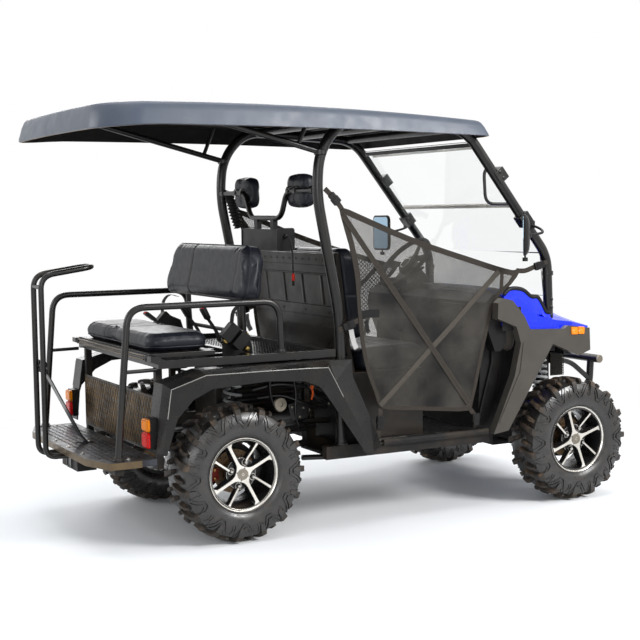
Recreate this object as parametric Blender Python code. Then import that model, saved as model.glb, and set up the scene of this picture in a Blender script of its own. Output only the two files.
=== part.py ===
"""Off-road golf cart with a rear-facing flip seat: metres, +X forward, +Y left, +Z up, ground at z = 0.

Stations in this file are measured from the rear axle and from the ground.
Everything hangs from one empty, which carries the shift to the model's own origin.
"""
import math

import bmesh
import bpy
from mathutils import Matrix, Vector

# Clearances
GAP = 0.0003
RUNNING_GAP = 0.0006
SWING_GAP = 0.006

# Wheels and tyres
WHEELBASE = 1.795
TYRE_R = 0.304
RIM_R = 0.1665
BEAD_R = 0.150
BARREL_WALL = 0.009
FLANGE_T = 0.008
REAR_TYRE_W = 0.245
FRONT_TYRE_W = 0.205
REAR_RIM_W = 0.205
FRONT_RIM_W = 0.170
REAR_WHEEL_Y = 0.500
FRONT_WHEEL_Y = 0.575
LUG_DEPTH = 0.019
LUG_COUNT = 15
HUB_R = 0.046
SPINDLE_R = 0.018
SPOKE_DEPTH = 0.020
SPOKE_FACE_INSET = 0.012

# Steering and suspension
KINGPIN_Y = 0.505
KNUCKLE_HALF_H = 0.080
KNUCKLE_HALF_W = 0.022
ARM_R = 0.012
ARM_EYE_R = 0.020
ARM_EYE_H = 0.024
SUBFRAME_HALF = 0.120
SHOCK_SEAT_Z = 0.424
FRONT_SHOCK_X = 1.785
FRONT_SHOCK_Y = 0.385
TRAIL_PIVOT_Z = 0.345
REAR_SHOCK_X = 0.075
REAR_SHOCK_Y = 0.325
SHOCK_R = 0.032
WHEEL_TILT = math.radians(43.0)
STEER_X = 1.375
STEER_Y = 0.280
STEER_Z = 1.170
STEER_R = 0.175
STEER_RIM_R = 0.014
COLUMN_R = 0.013

# Chassis frame
RAIL_Y = 0.265
RAIL_W = 0.050
RAIL_Z = 0.350
RAIL_H = 0.050
RAIL_FRONT_X = 1.960
REAR_RAIL_Z = 0.440
KICK_UP_X = 0.470
LEG_Y = 0.284
TOWER_FRONT_X = 1.892
SILL_Y = 0.545
SILL_W = 0.040
SILL_Z = 0.350
SILL_H = 0.060
SILL_REAR_X = 0.430
SILL_FRONT_X = 1.330
STEP_TUBE_R = 0.016
TOWER_Y = 0.270
TOWER_TOP_Z = 0.760
TOWER_W = 0.035

# Roll cage
CAGE_R = 0.024
CAGE_Y = 0.540
HOOP_X = 0.520
HOOP_KNEE_Z = 0.960
HOOP_BACK_X = 0.408
HOOP_BACK_Z = 1.540
HOOP_SHOULDER_X = 0.430
HOOP_SHOULDER_Z = 1.735
HOOP_TOP_X = 0.560
PILLAR_TOP_X = 1.210
PILLAR_KNEE_X = 1.695
PILLAR_KNEE_Z = 1.215
PILLAR_FOOT_X = 1.710
MIRROR_CLAMP_X = 1.572
MIRROR_X = 1.462
MIRROR_Y = 0.670
MIRROR_Z = 1.325
MIRROR_W = 0.170
MIRROR_H = 0.200
MIRROR_T = 0.040
MIRROR_TURN = math.radians(28.0)
BRACE_R = 0.014
HANDLE_R = 0.0078
BRACE_LOW_Z = 1.715
BRACE_END_X = -0.240

# Roof
ROOF_REAR_X = -0.630
ROOF_FRONT_X = 1.292
ROOF_HALF = 0.690
ROOF_WALL = 0.006
ROOF_SKIRT_REAR_Z = 1.815
ROOF_SKIRT_FRONT_Z = 1.790
ROOF_EDGE_REAR_Z = 1.906
ROOF_EDGE_FRONT_Z = 1.857
ROOF_DRAFT = 0.022
ROOF_CROWN = 0.022
ROOF_ARCH = 0.026
ROOF_SKIRT_ARCH = 0.010
ROOF_SKIRT_BOW = 0.045
ROOF_TAIL_DROP = 0.016
ROOF_MARGIN = 0.0003
ROOF_SIDE_STEPS = 6

# Windshield
GLASS_T = 0.005
GLASS_HALF = 0.522
GLASS_TOP_X = 1.262
GLASS_SPLIT_X = 1.502
GLASS_LOW_X = 1.690

# Front body
HOOD_HALF = 0.590
FENDER_HALF = 0.622
FENDER_SKIN = 0.046
BODY_BASE_Z = 0.845
SHELF_Z = 0.885
NOSE_X = 1.965
NOSE_LOW_Z = 0.640
LAMP_W = 0.200
LAMP_H = 0.085
DASH_REAR_X = 1.300
BULL_X = 2.200
BULL_R = 0.021
BULL_HALF = 0.340
BULL_TOP_Z = 0.650

# Cabin
FLOOR_Z = 0.400
FLOOR_T = 0.008
FLOOR_HALF = 0.520
FLOOR_REAR_X = 0.560
TOE_X = 1.290
SEAT_BASE_REAR_X = 0.600
SEAT_BASE_FRONT_X = 1.000
SEAT_BASE_TOP_Z = 0.700
SEAT_BASE_HALF = 0.485
CUSHION_T = 0.120
BACKREST_HALF = 0.470
SEAT_BACK_TOP_Z = 1.260
SEAT_BACK_LOW_Z = 0.900
HEADREST_BAR_R = 0.012
HEADREST_BAR_Z = 1.548
HEADREST_DIP_Z = 1.422
HEADREST_PAD_Y = 0.300
HEADREST_PAD_W = 0.196
HEADREST_PAD_H = 0.158
SOUND_BOX_HALF = 0.200

# Rear deck and seat
POST_X = -0.345
POST_Y = 0.480
POST_W = 0.030
BASE_Z = 0.790
BASE_RAIL_H = 0.034
BASE_HALF = 0.540
BASE_RAIL_W = 0.026
BASE_FRONT_X = 0.490
TRAY_REAR_X = 0.100
TRAY_T = 0.005
HINGE_X = -0.385
HINGE_R = 0.011
LID_HALF = 0.500
LID_FRONT_X = -0.078
LID_T = 0.020
REAR_CUSHION_HALF = 0.460
REAR_CUSHION_T = 0.084
REAR_BACK_LOW_X = 0.060
REAR_BACK_LOW_Z = 1.052
REAR_BACK_H = 0.262
REAR_BACK_T = 0.095
REAR_BACK_TILT = math.radians(12.0)
REAR_BACK_HALF_LOW = 0.512
REAR_BACK_HALF_TOP = 0.448
BACK_POST_Y = 0.320
BACK_POST_R = 0.013

# Foot platform, grab bar and handrails
PLATFORM_Z = 0.410
PLATFORM_T = 0.005
PLATFORM_LIP = 0.028
PLATFORM_REAR_X = -0.655
PLATFORM_HALF = 0.575
PLATFORM_CHAMFER_X = 0.055
PLATFORM_CHAMFER_Y = 0.165
PLATFORM_BEAM_X = -0.555
PLATFORM_BEAM_W = 0.040
PLATFORM_BEAM_TOP_Z = 0.385
HITCH_L = 0.090
HITCH_HALF = 0.115
HITCH_LOW_Z = 0.298
HITCH_HIGH_Z = 0.350
PLATFORM_FRONT_X = -0.392
KICK_TOP_Z = 0.664
KICK_HALF = 0.455
KICK_T = 0.004
GRAB_X = -0.726
GRAB_HALF = 0.060
GRAB_R = 0.0125
GRAB_TOP_Z = 1.190
GRAB_REACH = 0.255
RAIL_TUBE_R = 0.0125
HANDRAIL_Y = 0.540
HANDRAIL_TOP_Z = 1.056
HANDRAIL_FOOT_X = PLATFORM_BEAM_X
HANDRAIL_FRONT_X = 0.222

# Rear fenders
RF_OUT = 0.660
RF_EDGE = 0.600
RF_IN = 0.500
RF_WALL = 0.006

# Side nets
NET_T = 0.004
NET_TOP_Z = 1.470

# Power unit
ENGINE_SIZE = (0.360, 0.400, 0.300)
ENGINE_X = 0.285

REAR_REACH = -GRAB_X + GRAB_R
FRONT_REACH = BULL_X + BULL_R
ORIGIN_SHIFT = (REAR_REACH - FRONT_REACH) / 2

PLASTIC = ("plastic", (0.030, 0.030, 0.032), 0.55, 0.0)
BLACK_STEEL = ("black_steel", (0.012, 0.012, 0.013), 0.32, 0.2)
ROOF_PLASTIC = ("roof_plastic", (0.040, 0.048, 0.060), 0.38, 0.0)
BLUE = ("blue_paint", (0.010, 0.040, 0.760), 0.22, 0.0)
GREY_PLASTIC = ("grey_plastic", (0.085, 0.080, 0.075), 0.50, 0.0)
VINYL = ("vinyl", (0.022, 0.024, 0.028), 0.42, 0.0)
RUBBER = ("rubber", (0.035, 0.034, 0.033), 0.80, 0.0)
ALLOY = ("alloy", (0.600, 0.600, 0.610), 0.28, 0.9)
STEEL = ("steel", (0.420, 0.420, 0.420), 0.35, 0.8)
CLEAR = ("clear", (0.700, 0.740, 0.740), 0.08, 0.0)
LAMP_RED = ("lamp_red", (0.600, 0.020, 0.010), 0.20, 0.0)
LAMP_CLEAR = ("lamp_clear", (0.750, 0.760, 0.780), 0.12, 0.0)
MESH_CLOTH = ("mesh_cloth", (0.040, 0.038, 0.036), 0.85, 0.0)
SPRING = ("spring", (0.550, 0.550, 0.540), 0.45, 0.3)


# Scene set-up and shared builders

def clear_scene():
    for obj in list(bpy.data.objects):
        bpy.data.objects.remove(obj, do_unlink=True)


def material(spec):
    name, colour, roughness, metallic = spec
    found = bpy.data.materials.get(name)
    if found:
        return found
    made = bpy.data.materials.new(name)
    made.use_nodes = True
    shader = made.node_tree.nodes["Principled BSDF"]
    shader.inputs["Base Color"].default_value = (*colour, 1.0)
    shader.inputs["Roughness"].default_value = roughness
    shader.inputs["Metallic"].default_value = metallic
    return made


def split_twisted_quads(bm):
    """Split each quad that isn't flat along its shorter diagonal, so that both skins of a wall agree."""
    for face in [face for face in bm.faces if len(face.verts) == 4]:
        a, b, c, d = face.verts
        normal = (b.co - a.co).cross(c.co - a.co)
        if normal.length < 1e-12 or abs(normal.normalized().dot(d.co - a.co)) < 2e-6:
            continue
        pair = (a, c) if (a.co - c.co).length < (b.co - d.co).length else (b, d)
        bmesh.utils.face_split(face, *pair)


def mesh_object(name, bm):
    split_twisted_quads(bm)
    bmesh.ops.recalc_face_normals(bm, faces=bm.faces)
    if bm.calc_volume(signed=True) < 0:
        bmesh.ops.reverse_faces(bm, faces=bm.faces)
    mesh = bpy.data.meshes.new(name)
    bm.to_mesh(mesh)
    bm.free()
    obj = bpy.data.objects.new(name, mesh)
    bpy.context.scene.collection.objects.link(obj)
    return obj


def loft(sections, name="loft", closed=False):
    """Skin equal loops of points in order; a closed loft joins the last loop to the first."""
    bm = bmesh.new()
    loops = [[bm.verts.new(p) for p in section] for section in sections]
    count = len(loops[0])
    pairs = list(zip(loops, loops[1:]))
    if closed:
        pairs.append((loops[-1], loops[0]))
    for low, high in pairs:
        for i in range(count):
            j = (i + 1) % count
            bm.faces.new((low[i], low[j], high[j], high[i]))
    if not closed:
        bm.faces.new(loops[0][::-1])
        bm.faces.new(loops[-1])
    return mesh_object(name, bm)


def side_prism(outline, y0, y1, name="prism"):
    """Extrude an (x, z) outline along Y."""
    return loft([[(x, y, z) for x, z in outline] for y in (y0, y1)], name)


def plan_prism(outline, z0, z1, name="prism"):
    """Extrude an (x, y) outline along Z."""
    return loft([[(x, y, z) for x, y in outline] for z in (z0, z1)], name)


def block(x0, x1, y0, y1, z0, z1, name="block"):
    return plan_prism([(x0, y0), (x1, y0), (x1, y1), (x0, y1)], z0, z1, name)


def rounded(points, radius, steps=4):
    """Round the corners of an open path with arcs that start 'radius' along each leg."""
    path = [Vector(p) for p in points]
    radii = radius if isinstance(radius, (list, tuple)) else [radius] * len(path)
    out = [path[0]]
    for i in range(1, len(path) - 1):
        before = (path[i - 1] - path[i])
        after = (path[i + 1] - path[i])
        reach = min(radii[i], before.length * 0.49, after.length * 0.49)
        start = path[i] + before.normalized() * reach
        end = path[i] + after.normalized() * reach
        for s in range(steps + 1):
            t = s / steps
            out.append(start * (1 - t) ** 2 + path[i] * 2 * t * (1 - t) + end * t ** 2)
    out.append(path[-1])
    return out


def tube(points, radius, sides=8, name="tube", closed=False, ends=(None, None)):
    """Sweep a regular polygon along a path; an end may be trimmed square to world axis 0, 1 or 2."""
    path = [Vector(p) for p in points]
    count = len(path)
    tangents = []
    for i in range(count):
        if closed:
            tangent = path[(i + 1) % count] - path[i - 1]
        else:
            tangent = path[min(i + 1, count - 1)] - path[max(i - 1, 0)]
        tangents.append(tangent.normalized())
    helper = Vector((0, 0, 1))
    if abs(tangents[0].dot(helper)) > 0.9:
        helper = Vector((0, 1, 0))
    normal = tangents[0].cross(helper).normalized()
    sections = []
    for i in range(count):
        normal = (normal - tangents[i] * normal.dot(tangents[i])).normalized()
        side = tangents[i].cross(normal)
        stretch = 1.0
        if 0 < i < count - 1:
            half = (path[i] - path[i - 1]).angle(path[i + 1] - path[i]) / 2
            stretch = 1 / max(math.cos(half), 0.7)
        ring = []
        for k in range(sides):
            a = 2 * math.pi * (k + 0.5) / sides
            ring.append(path[i] + (normal * math.cos(a) + side * math.sin(a)) * radius)
        if stretch > 1.001 and count > 2:
            inward = (path[i + 1 if i + 1 < count else i] + path[i - 1] - 2 * path[i])
            if inward.length > 1e-6:
                inward.normalize()
                ring = [p + inward * (p - path[i]).dot(inward) * (stretch - 1) for p in ring]
        sections.append(ring)
    for index, axis in ((0, ends[0]), (-1, ends[1])):
        if axis is not None:
            run = tangents[index]
            sections[index] = [p + run * ((path[index][axis] - p[axis]) / run[axis]) for p in sections[index]]
    return loft(sections, name, closed)


def bar(start, end, radius, sides=8, name="bar"):
    return tube([start, end], radius, sides, name)


def turned(profile, centre, steps, name="turned", closed=False):
    """Revolve (y, r) points about an axle along Y; a closed profile makes a ring."""
    bm = bmesh.new()
    rings = []
    for y, r in profile:
        ring = []
        for i in range(steps):
            a = 2 * math.pi * (i + 0.5) / steps
            ring.append(bm.verts.new((centre[0] + r * math.cos(a), centre[1] + y, centre[2] + r * math.sin(a))))
        rings.append(ring)
    pairs = list(zip(rings, rings[1:]))
    if closed:
        pairs.append((rings[-1], rings[0]))
    for low, high in pairs:
        for i in range(steps):
            j = (i + 1) % steps
            bm.faces.new((low[i], low[j], high[j], high[i]))
    if not closed:
        bm.faces.new(rings[0][::-1])
        bm.faces.new(rings[-1])
    return mesh_object(name, bm)


def combine(target, others, operation):
    """Apply one exact boolean against several objects, which are then removed."""
    group = bpy.data.collections.new("operands")
    for other in others:
        group.objects.link(other)
    modifier = target.modifiers.new(operation.lower(), "BOOLEAN")
    modifier.operation = operation
    modifier.solver = "EXACT"
    modifier.operand_type = "COLLECTION"
    modifier.collection = group
    bpy.context.view_layer.update()
    evaluated = target.evaluated_get(bpy.context.evaluated_depsgraph_get())
    mesh = bpy.data.meshes.new_from_object(evaluated)
    target.modifiers.clear()
    old = target.data
    target.data = mesh
    bpy.data.meshes.remove(old)
    for other in others:
        bpy.data.objects.remove(other, do_unlink=True)
    bpy.data.collections.remove(group)
    return target


def union(parts):
    return combine(parts[0], parts[1:], "UNION")


def cut(target, cutters):
    return combine(target, cutters, "DIFFERENCE")


def weld(obj):
    """Join vertices that a cut left a hair apart, and flatten slivers."""
    bm = bmesh.new()
    bm.from_mesh(obj.data)
    bmesh.ops.remove_doubles(bm, verts=bm.verts, dist=2e-5)
    bmesh.ops.dissolve_degenerate(bm, edges=bm.edges, dist=1e-5)
    bm.to_mesh(obj.data)
    bm.free()
    return obj


def finish(obj, name, spec, pivot=(0, 0, 0), smooth=30.0):
    """Name the object, set its material and origin, and hang it from the cart's empty."""
    weld(obj)
    obj.name = name
    obj.data.name = name
    obj.data.materials.clear()
    obj.data.materials.append(material(spec))
    for polygon in obj.data.polygons:
        polygon.material_index = 0
    obj.data.transform(Matrix.Translation(-Vector(pivot)))
    obj.location = pivot
    obj.data.shade_smooth()
    obj.data.set_sharp_from_angle(angle=math.radians(smooth))
    obj.parent = bpy.data.objects["golf_cart"]
    return obj


def both_sides():
    return (("right", -1), ("left", 1))


# Roof surface, which the cage and its braces meet

def roof_arch(x):
    """Share of the roof's rise along its length, 1 in the middle and 0 at the ends."""
    reach = (ROOF_FRONT_X - ROOF_REAR_X) / 2
    middle = (ROOF_FRONT_X + ROOF_REAR_X) / 2
    return max(1 - ((x - middle) / reach) ** 2, 0.0)


def roof_edge_z(x):
    share = (x - ROOF_REAR_X) / (ROOF_FRONT_X - ROOF_REAR_X)
    return ROOF_EDGE_REAR_Z + (ROOF_EDGE_FRONT_Z - ROOF_EDGE_REAR_Z) * share + ROOF_ARCH * roof_arch(x)


def roof_under_z(x):
    """Underside of the deck over the cage's side rails."""
    return roof_edge_z(x) - ROOF_WALL - ROOF_MARGIN


def build_roof():
    roof = roof_shell(0.0, 0.0)
    hollow = roof_shell(ROOF_WALL, ROOF_WALL)
    for vertex in hollow.data.vertices:
        if vertex.co.z < ROOF_SKIRT_REAR_Z + ROOF_SKIRT_ARCH:
            vertex.co.z -= 0.05
    cut(roof, [hollow])
    finish(roof, "roof", ROOF_PLASTIC, smooth=40)


def roof_loop(x0, x1, half, z_rear, z_front, corner, bow, arch=ROOF_ARCH, tail_drop=0.0):
    """Rounded rectangle in plan with a bowed rear edge, sloping from rear to front and arched along its sides."""
    corners = ((x0, -half, 180), (x1, -half, 270), (x1, half, 0), (x0, half, 90))
    loop = []
    for x, y, start in corners:
        sx = 1 if x == x0 else -1
        sy = 1 if y < 0 else -1
        radius = corner if x == x0 else corner * 0.35
        centre = (x + sx * radius, y + sy * radius)
        for s in range(4):
            a = math.radians(start + 30 * s)
            px = centre[0] + radius * math.cos(a)
            py = centre[1] + radius * math.sin(a)
            loop.append([px, py])
        if x == x0 and y > 0:
            for step in (0.5, 0.0, -0.5):
                loop.append([x0 - bow * (1 - step * step), half * step])
        if (x == x0) == (y < 0):
            for step in range(1, ROOF_SIDE_STEPS):
                share = step / ROOF_SIDE_STEPS
                loop.append([x + (x1 + x0 - 2 * x) * share, y])
    points = []
    for px, py in loop:
        share = (px - ROOF_REAR_X) / (ROOF_FRONT_X - ROOF_REAR_X)
        rise = arch * roof_arch(px) - tail_drop * min(max((x0 + corner - px) / corner, 0.0), 1.0)
        points.append((px, py, z_rear + (z_front - z_rear) * share + rise))
    return points


def roof_shell(inset, drop):
    x0 = ROOF_REAR_X + inset
    x1 = ROOF_FRONT_X - inset
    half = ROOF_HALF - inset
    skirt = roof_loop(x0, x1, half, ROOF_SKIRT_REAR_Z, ROOF_SKIRT_FRONT_Z, 0.13, ROOF_SKIRT_BOW, ROOF_SKIRT_ARCH,
                      ROOF_TAIL_DROP)
    shoulder = roof_loop(x0 + 0.028, x1 - 0.036, half - ROOF_DRAFT, ROOF_EDGE_REAR_Z - drop - 0.012,
                         ROOF_EDGE_FRONT_Z - drop - 0.012, 0.12, ROOF_SKIRT_BOW * 0.8)
    edge = roof_loop(x0 + 0.045, x1 - 0.052, half - ROOF_DRAFT - 0.014, ROOF_EDGE_REAR_Z - drop,
                     ROOF_EDGE_FRONT_Z - drop, 0.11, ROOF_SKIRT_BOW * 0.7)
    flat = roof_loop(x0 + 0.20, x1 - 0.22, CAGE_Y - 0.05, ROOF_EDGE_REAR_Z - drop + 0.0005,
                     ROOF_EDGE_FRONT_Z - drop + 0.0005, 0.08, 0.0)
    crown = roof_loop(x0 + 0.34, x1 - 0.36, CAGE_Y - 0.26, ROOF_EDGE_REAR_Z - drop + ROOF_CROWN,
                      ROOF_EDGE_FRONT_Z - drop + ROOF_CROWN, 0.06, 0.0)
    return loft([skirt, shoulder, edge, flat, crown], "roof_shell")


# Roll cage

def cage_side_path(side):
    y = CAGE_Y * side
    rail_rear = roof_under_z(HOOP_TOP_X) - GAP - CAGE_R
    rail_front = roof_under_z(PILLAR_TOP_X) - GAP - CAGE_R
    points = [(HOOP_X, y, SILL_Z + SILL_H / 2 + GAP), (HOOP_X, y, HOOP_KNEE_Z), (HOOP_BACK_X, y, HOOP_BACK_Z),
              (HOOP_SHOULDER_X, y, HOOP_SHOULDER_Z), (HOOP_TOP_X, y, rail_rear), (PILLAR_TOP_X, y, rail_front),
              (PILLAR_KNEE_X, y, PILLAR_KNEE_Z), (PILLAR_FOOT_X, y, TOWER_TOP_Z + TOWER_W / 2 + GAP)]
    return rounded(points, [0, 0.12, 0.10, 0.09, 0.09, 0.10, 0.07, 0], 3)


def cage_cutter(side, gap=GAP):
    """Tube that clears one side of the cage, for pieces that clamp to it."""
    return tube(cage_side_path(side), CAGE_R + gap, 10, ends=(2, 2))


def cage_height(x):
    share = (x - HOOP_TOP_X) / (PILLAR_TOP_X - HOOP_TOP_X)
    rear = roof_under_z(HOOP_TOP_X) - GAP - CAGE_R
    front = roof_under_z(PILLAR_TOP_X) - GAP - CAGE_R
    return rear + (front - rear) * share


def build_cage():
    parts = []
    for _, side in both_sides():
        parts.append(tube(cage_side_path(side), CAGE_R, 10, ends=(2, 2)))
        y = CAGE_Y * side
        brace_y = y
        brace_end_z = roof_under_z(BRACE_END_X) - GAP - BRACE_R
        brace_x = HOOP_SHOULDER_X + 0.004
        parts.append(bar((brace_x, brace_y, BRACE_LOW_Z), (BRACE_END_X, brace_y, brace_end_z), BRACE_R))
        strut_x = 0.32
        share = (brace_x - strut_x) / (brace_x - BRACE_END_X)
        strut_z = BRACE_LOW_Z + (brace_end_z - BRACE_LOW_Z) * share
        strut_top = roof_under_z(strut_x + 0.06) - GAP - BRACE_R * 0.8
        parts.append(bar((strut_x, y, strut_z), (strut_x + 0.06, y, strut_top), BRACE_R * 0.7, 6))
    for x in (HOOP_TOP_X + 0.06, (HOOP_TOP_X + PILLAR_TOP_X) / 2, PILLAR_TOP_X - 0.04):
        z = cage_height(x)
        parts.append(bar((x, -CAGE_Y, z), (x, CAGE_Y, z), CAGE_R * 0.8, 8))
    handle_y = -(CAGE_Y - 0.0053)
    handle = rounded([(1.3813, handle_y, 1.6549), (1.322, handle_y, 1.652), (1.332, handle_y, 1.476),
                      (1.5047, handle_y, 1.4735)], 0.05, 4)
    parts.append(tube(handle, HANDLE_R, 8))
    brace_z = roof_under_z(BRACE_END_X + 0.05) - GAP - BRACE_R - 0.014
    parts.append(bar((BRACE_END_X + 0.05, -CAGE_Y, brace_z), (BRACE_END_X + 0.05, CAGE_Y, brace_z), BRACE_R * 0.8, 6))
    finish(union(parts), "roll_cage", BLACK_STEEL)


# Chassis frame

def build_frame():
    low = RAIL_Z - RAIL_H / 2
    high = RAIL_Z + RAIL_H / 2
    kick_low = REAR_RAIL_Z - RAIL_H / 2
    kick_high = REAR_RAIL_Z + RAIL_H / 2
    half = POST_W / 2
    parts = []
    for _, side in both_sides():
        y = RAIL_Y * side
        y0 = y - RAIL_W / 2
        y1 = y + RAIL_W / 2
        parts.append(block(KICK_UP_X, RAIL_FRONT_X, y0, y1, low, high))
        parts.append(block(POST_X - half, KICK_UP_X + 0.05, y0, y1, kick_low, kick_high))
        parts.append(block(KICK_UP_X, KICK_UP_X + 0.05, y0 + 0.001, y1 - 0.001, low + 0.01, kick_high - 0.01))
    for x in (0.62, 1.25):
        parts.append(block(x - 0.021, x + 0.021, -SILL_Y, SILL_Y, low + 0.004, high - 0.004))
    for x in (1.52, RAIL_FRONT_X - 0.03):
        parts.append(block(x - 0.02, x + 0.02, -RAIL_Y, RAIL_Y, low + 0.005, high - 0.005))
    parts.append(block(POST_X - half + 0.001, POST_X + 0.018, -POST_Y, POST_Y, kick_low + 0.005, kick_high - 0.005))
    parts.append(block(POST_X - half + 0.001, POST_X + 0.017, -POST_Y, POST_Y, 0.350, 0.380))
    for _, side in both_sides():
        y = SILL_Y * side
        parts.append(block(SILL_REAR_X, SILL_FRONT_X, y - SILL_W / 2, y + SILL_W / 2,
                           SILL_Z - SILL_H / 2, SILL_Z + SILL_H / 2))
        parts.append(block(SILL_REAR_X + 0.02, 0.64, min(y, RAIL_Y * side), max(y, RAIL_Y * side),
                           low + 0.006, low + 0.020))
        tube_y = (SILL_Y + SILL_W / 2 + STEP_TUBE_R * 0.8) * side
        parts.append(bar((0.72, tube_y, SILL_Z + 0.026), (SILL_FRONT_X - 0.02, tube_y, SILL_Z + 0.026), STEP_TUBE_R))
        post_y = POST_Y * side
        parts.append(block(POST_X - half, POST_X + half, post_y - half, post_y + half, 0.345, BASE_Z - GAP))
        parts.append(block(PLATFORM_REAR_X + 0.05, POST_X, side * RAIL_Y - 0.018, side * RAIL_Y + 0.018,
                           0.355, PLATFORM_Z - PLATFORM_T - GAP))
        tower_y = TOWER_Y * side
        parts.append(block(PILLAR_FOOT_X - 0.016, PILLAR_FOOT_X + 0.016, tower_y - 0.016, tower_y + 0.016,
                           RAIL_Z, TOWER_TOP_Z))
        parts.append(block(TOWER_FRONT_X - 0.015, TOWER_FRONT_X + 0.015, tower_y - 0.014, tower_y + 0.014,
                           RAIL_Z, TOWER_TOP_Z))
        parts.append(block(PILLAR_FOOT_X, TOWER_FRONT_X, tower_y - 0.0125, tower_y + 0.0125,
                           TOWER_TOP_Z - TOWER_W / 2 + 0.003, TOWER_TOP_Z + TOWER_W / 2 - 0.003))
        for x in (0.02, BASE_FRONT_X - 0.02):
            parts.append(block(x - 0.014, x + 0.014, LEG_Y * side - 0.014, LEG_Y * side + 0.014,
                               kick_low + 0.01, BASE_Z - GAP))
        parts.append(block(0.018, REAR_SHOCK_X + 0.01, LEG_Y * side - 0.011, LEG_Y * side + 0.011, 0.738, 0.762))
    parts.append(block(PLATFORM_BEAM_X - HITCH_L / 2, PLATFORM_BEAM_X + HITCH_L / 2, -HITCH_HALF, HITCH_HALF,
                       HITCH_LOW_Z, HITCH_HIGH_Z))
    parts.append(block(PLATFORM_BEAM_X - 0.018, PLATFORM_BEAM_X + 0.018, -HITCH_HALF + 0.015, HITCH_HALF - 0.015,
                       HITCH_HIGH_Z - 0.004, PLATFORM_BEAM_TOP_Z - 0.020))
    parts.append(block(PLATFORM_BEAM_X - PLATFORM_BEAM_W / 2, PLATFORM_BEAM_X + PLATFORM_BEAM_W / 2,
                       -HANDRAIL_Y - 0.020, HANDRAIL_Y + 0.020, PLATFORM_BEAM_TOP_Z - 0.033, PLATFORM_BEAM_TOP_Z))
    parts.append(block(PILLAR_FOOT_X - TOWER_W / 2, PILLAR_FOOT_X + TOWER_W / 2, -CAGE_Y - 0.025, CAGE_Y + 0.025,
                       TOWER_TOP_Z - TOWER_W / 2, TOWER_TOP_Z + TOWER_W / 2))
    parts.append(block(FRONT_SHOCK_X - 0.02, FRONT_SHOCK_X + 0.02, -FRONT_SHOCK_Y + 0.02, FRONT_SHOCK_Y - 0.02,
                       TOWER_TOP_Z - 0.012, TOWER_TOP_Z + 0.012))
    parts.append(block(REAR_SHOCK_X - 0.014, REAR_SHOCK_X + 0.014, -REAR_SHOCK_Y - 0.03, REAR_SHOCK_Y + 0.03,
                       0.735, 0.765))
    frame = union(parts)
    finish(frame, "frame", BLACK_STEEL)


# Running gear

def lug_ring(bm, centre, y, radius, groove, skew):
    """One row of the tyre's surface, dipping to the groove between lugs."""
    fractions = (-0.25, 0.25, 0.34, 0.66)
    ring = []
    for lug in range(LUG_COUNT):
        for k, fraction in enumerate(fractions):
            a = -math.pi / 2 + 2 * math.pi * (lug + fraction + skew) / LUG_COUNT
            r = radius if k < 2 else radius - groove
            ring.append(bm.verts.new((centre[0] + r * math.cos(a), centre[1] + y, centre[2] + r * math.sin(a))))
    return ring


def build_tyre(name, centre, width, rim_width):
    half = width / 2
    bead = rim_width / 2 - FLANGE_T - GAP
    crown = TYRE_R / math.cos(2 * math.pi * 0.25 / LUG_COUNT)
    seat = (BEAD_R + GAP) / math.cos(2 * math.pi * 0.25 / LUG_COUNT)
    rows = [(-bead, seat, 0, 0), (-bead, RIM_R + 0.004, 0, 0), (-half, 0.228, 0, 0.30),
            (-half + 0.003, 0.272, 0.008, 0.36), (-half + 0.026, crown - 0.006, LUG_DEPTH, 0.30),
            (0.0, crown, LUG_DEPTH, 0.0)]
    rows += [(-y, r, groove, skew) for y, r, groove, skew in reversed(rows[:-1])]
    bm = bmesh.new()
    rings = [lug_ring(bm, centre, *row) for row in rows]
    steps = len(rings[0])
    for low, high in list(zip(rings, rings[1:])) + [(rings[-1], rings[0])]:
        for i in range(steps):
            j = (i + 1) % steps
            bm.faces.new((low[i], low[j], high[j], high[i]))
    tyre = mesh_object(name, bm)
    finish(tyre, name, RUBBER, centre)


def spoke(centre, face_y, side, angle, inner_w, outer_w, depth, sweep):
    """Tapered spoke from the hub to the barrel, swept a little along the turning direction."""
    r0 = HUB_R * 0.6
    r1 = BEAD_R - BARREL_WALL * 0.5
    back = face_y - side * depth
    sections = []
    for r, w, turn in ((r0, inner_w, 0.0), ((r0 + r1) / 2, (inner_w + outer_w) / 2, sweep * 0.35), (r1, outer_w, sweep)):
        a = angle + turn
        along = Vector((math.cos(a), 0, math.sin(a)))
        across = Vector((-math.sin(a), 0, math.cos(a)))
        ring = []
        for dy, dw in ((face_y, -0.5), (face_y, 0.5), (back, 0.36), (back, -0.36)):
            point = along * r + across * w * dw
            ring.append((centre[0] + point.x, centre[1] + dy, centre[2] + point.z))
        sections.append(ring)
    return loft(sections, "spoke")


def build_rim(name, centre, width, side):
    half = width / 2
    inner = BEAD_R - BARREL_WALL
    profile = [(-half, inner), (-half, RIM_R), (-half + FLANGE_T, RIM_R), (-half + FLANGE_T, BEAD_R),
               (half - FLANGE_T, BEAD_R), (half - FLANGE_T, RIM_R), (half, RIM_R), (half, inner)]
    rim = turned(profile, centre, 32, closed=True)
    face_y = side * (half - SPOKE_FACE_INSET)
    hub_back = face_y - side * 0.045
    parts = [rim, turned([(hub_back, HUB_R), (face_y, HUB_R * 0.9)], centre, 16)]
    for k in range(8):
        wide = k % 2 == 0
        width_out = 0.036 if wide else 0.018
        width_in = 0.030 if wide else 0.016
        parts.append(spoke(centre, face_y, side, math.radians(45 * k + 12), width_in, width_out,
                           SPOKE_DEPTH, math.radians(14)))
    rim = union(parts)
    bore = turned([(hub_back - side * 0.01, SPINDLE_R + RUNNING_GAP), (face_y - side * 0.012, SPINDLE_R + RUNNING_GAP)],
                  centre, 16)
    cut(rim, [bore])
    finish(rim, name, ALLOY, centre)


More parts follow.
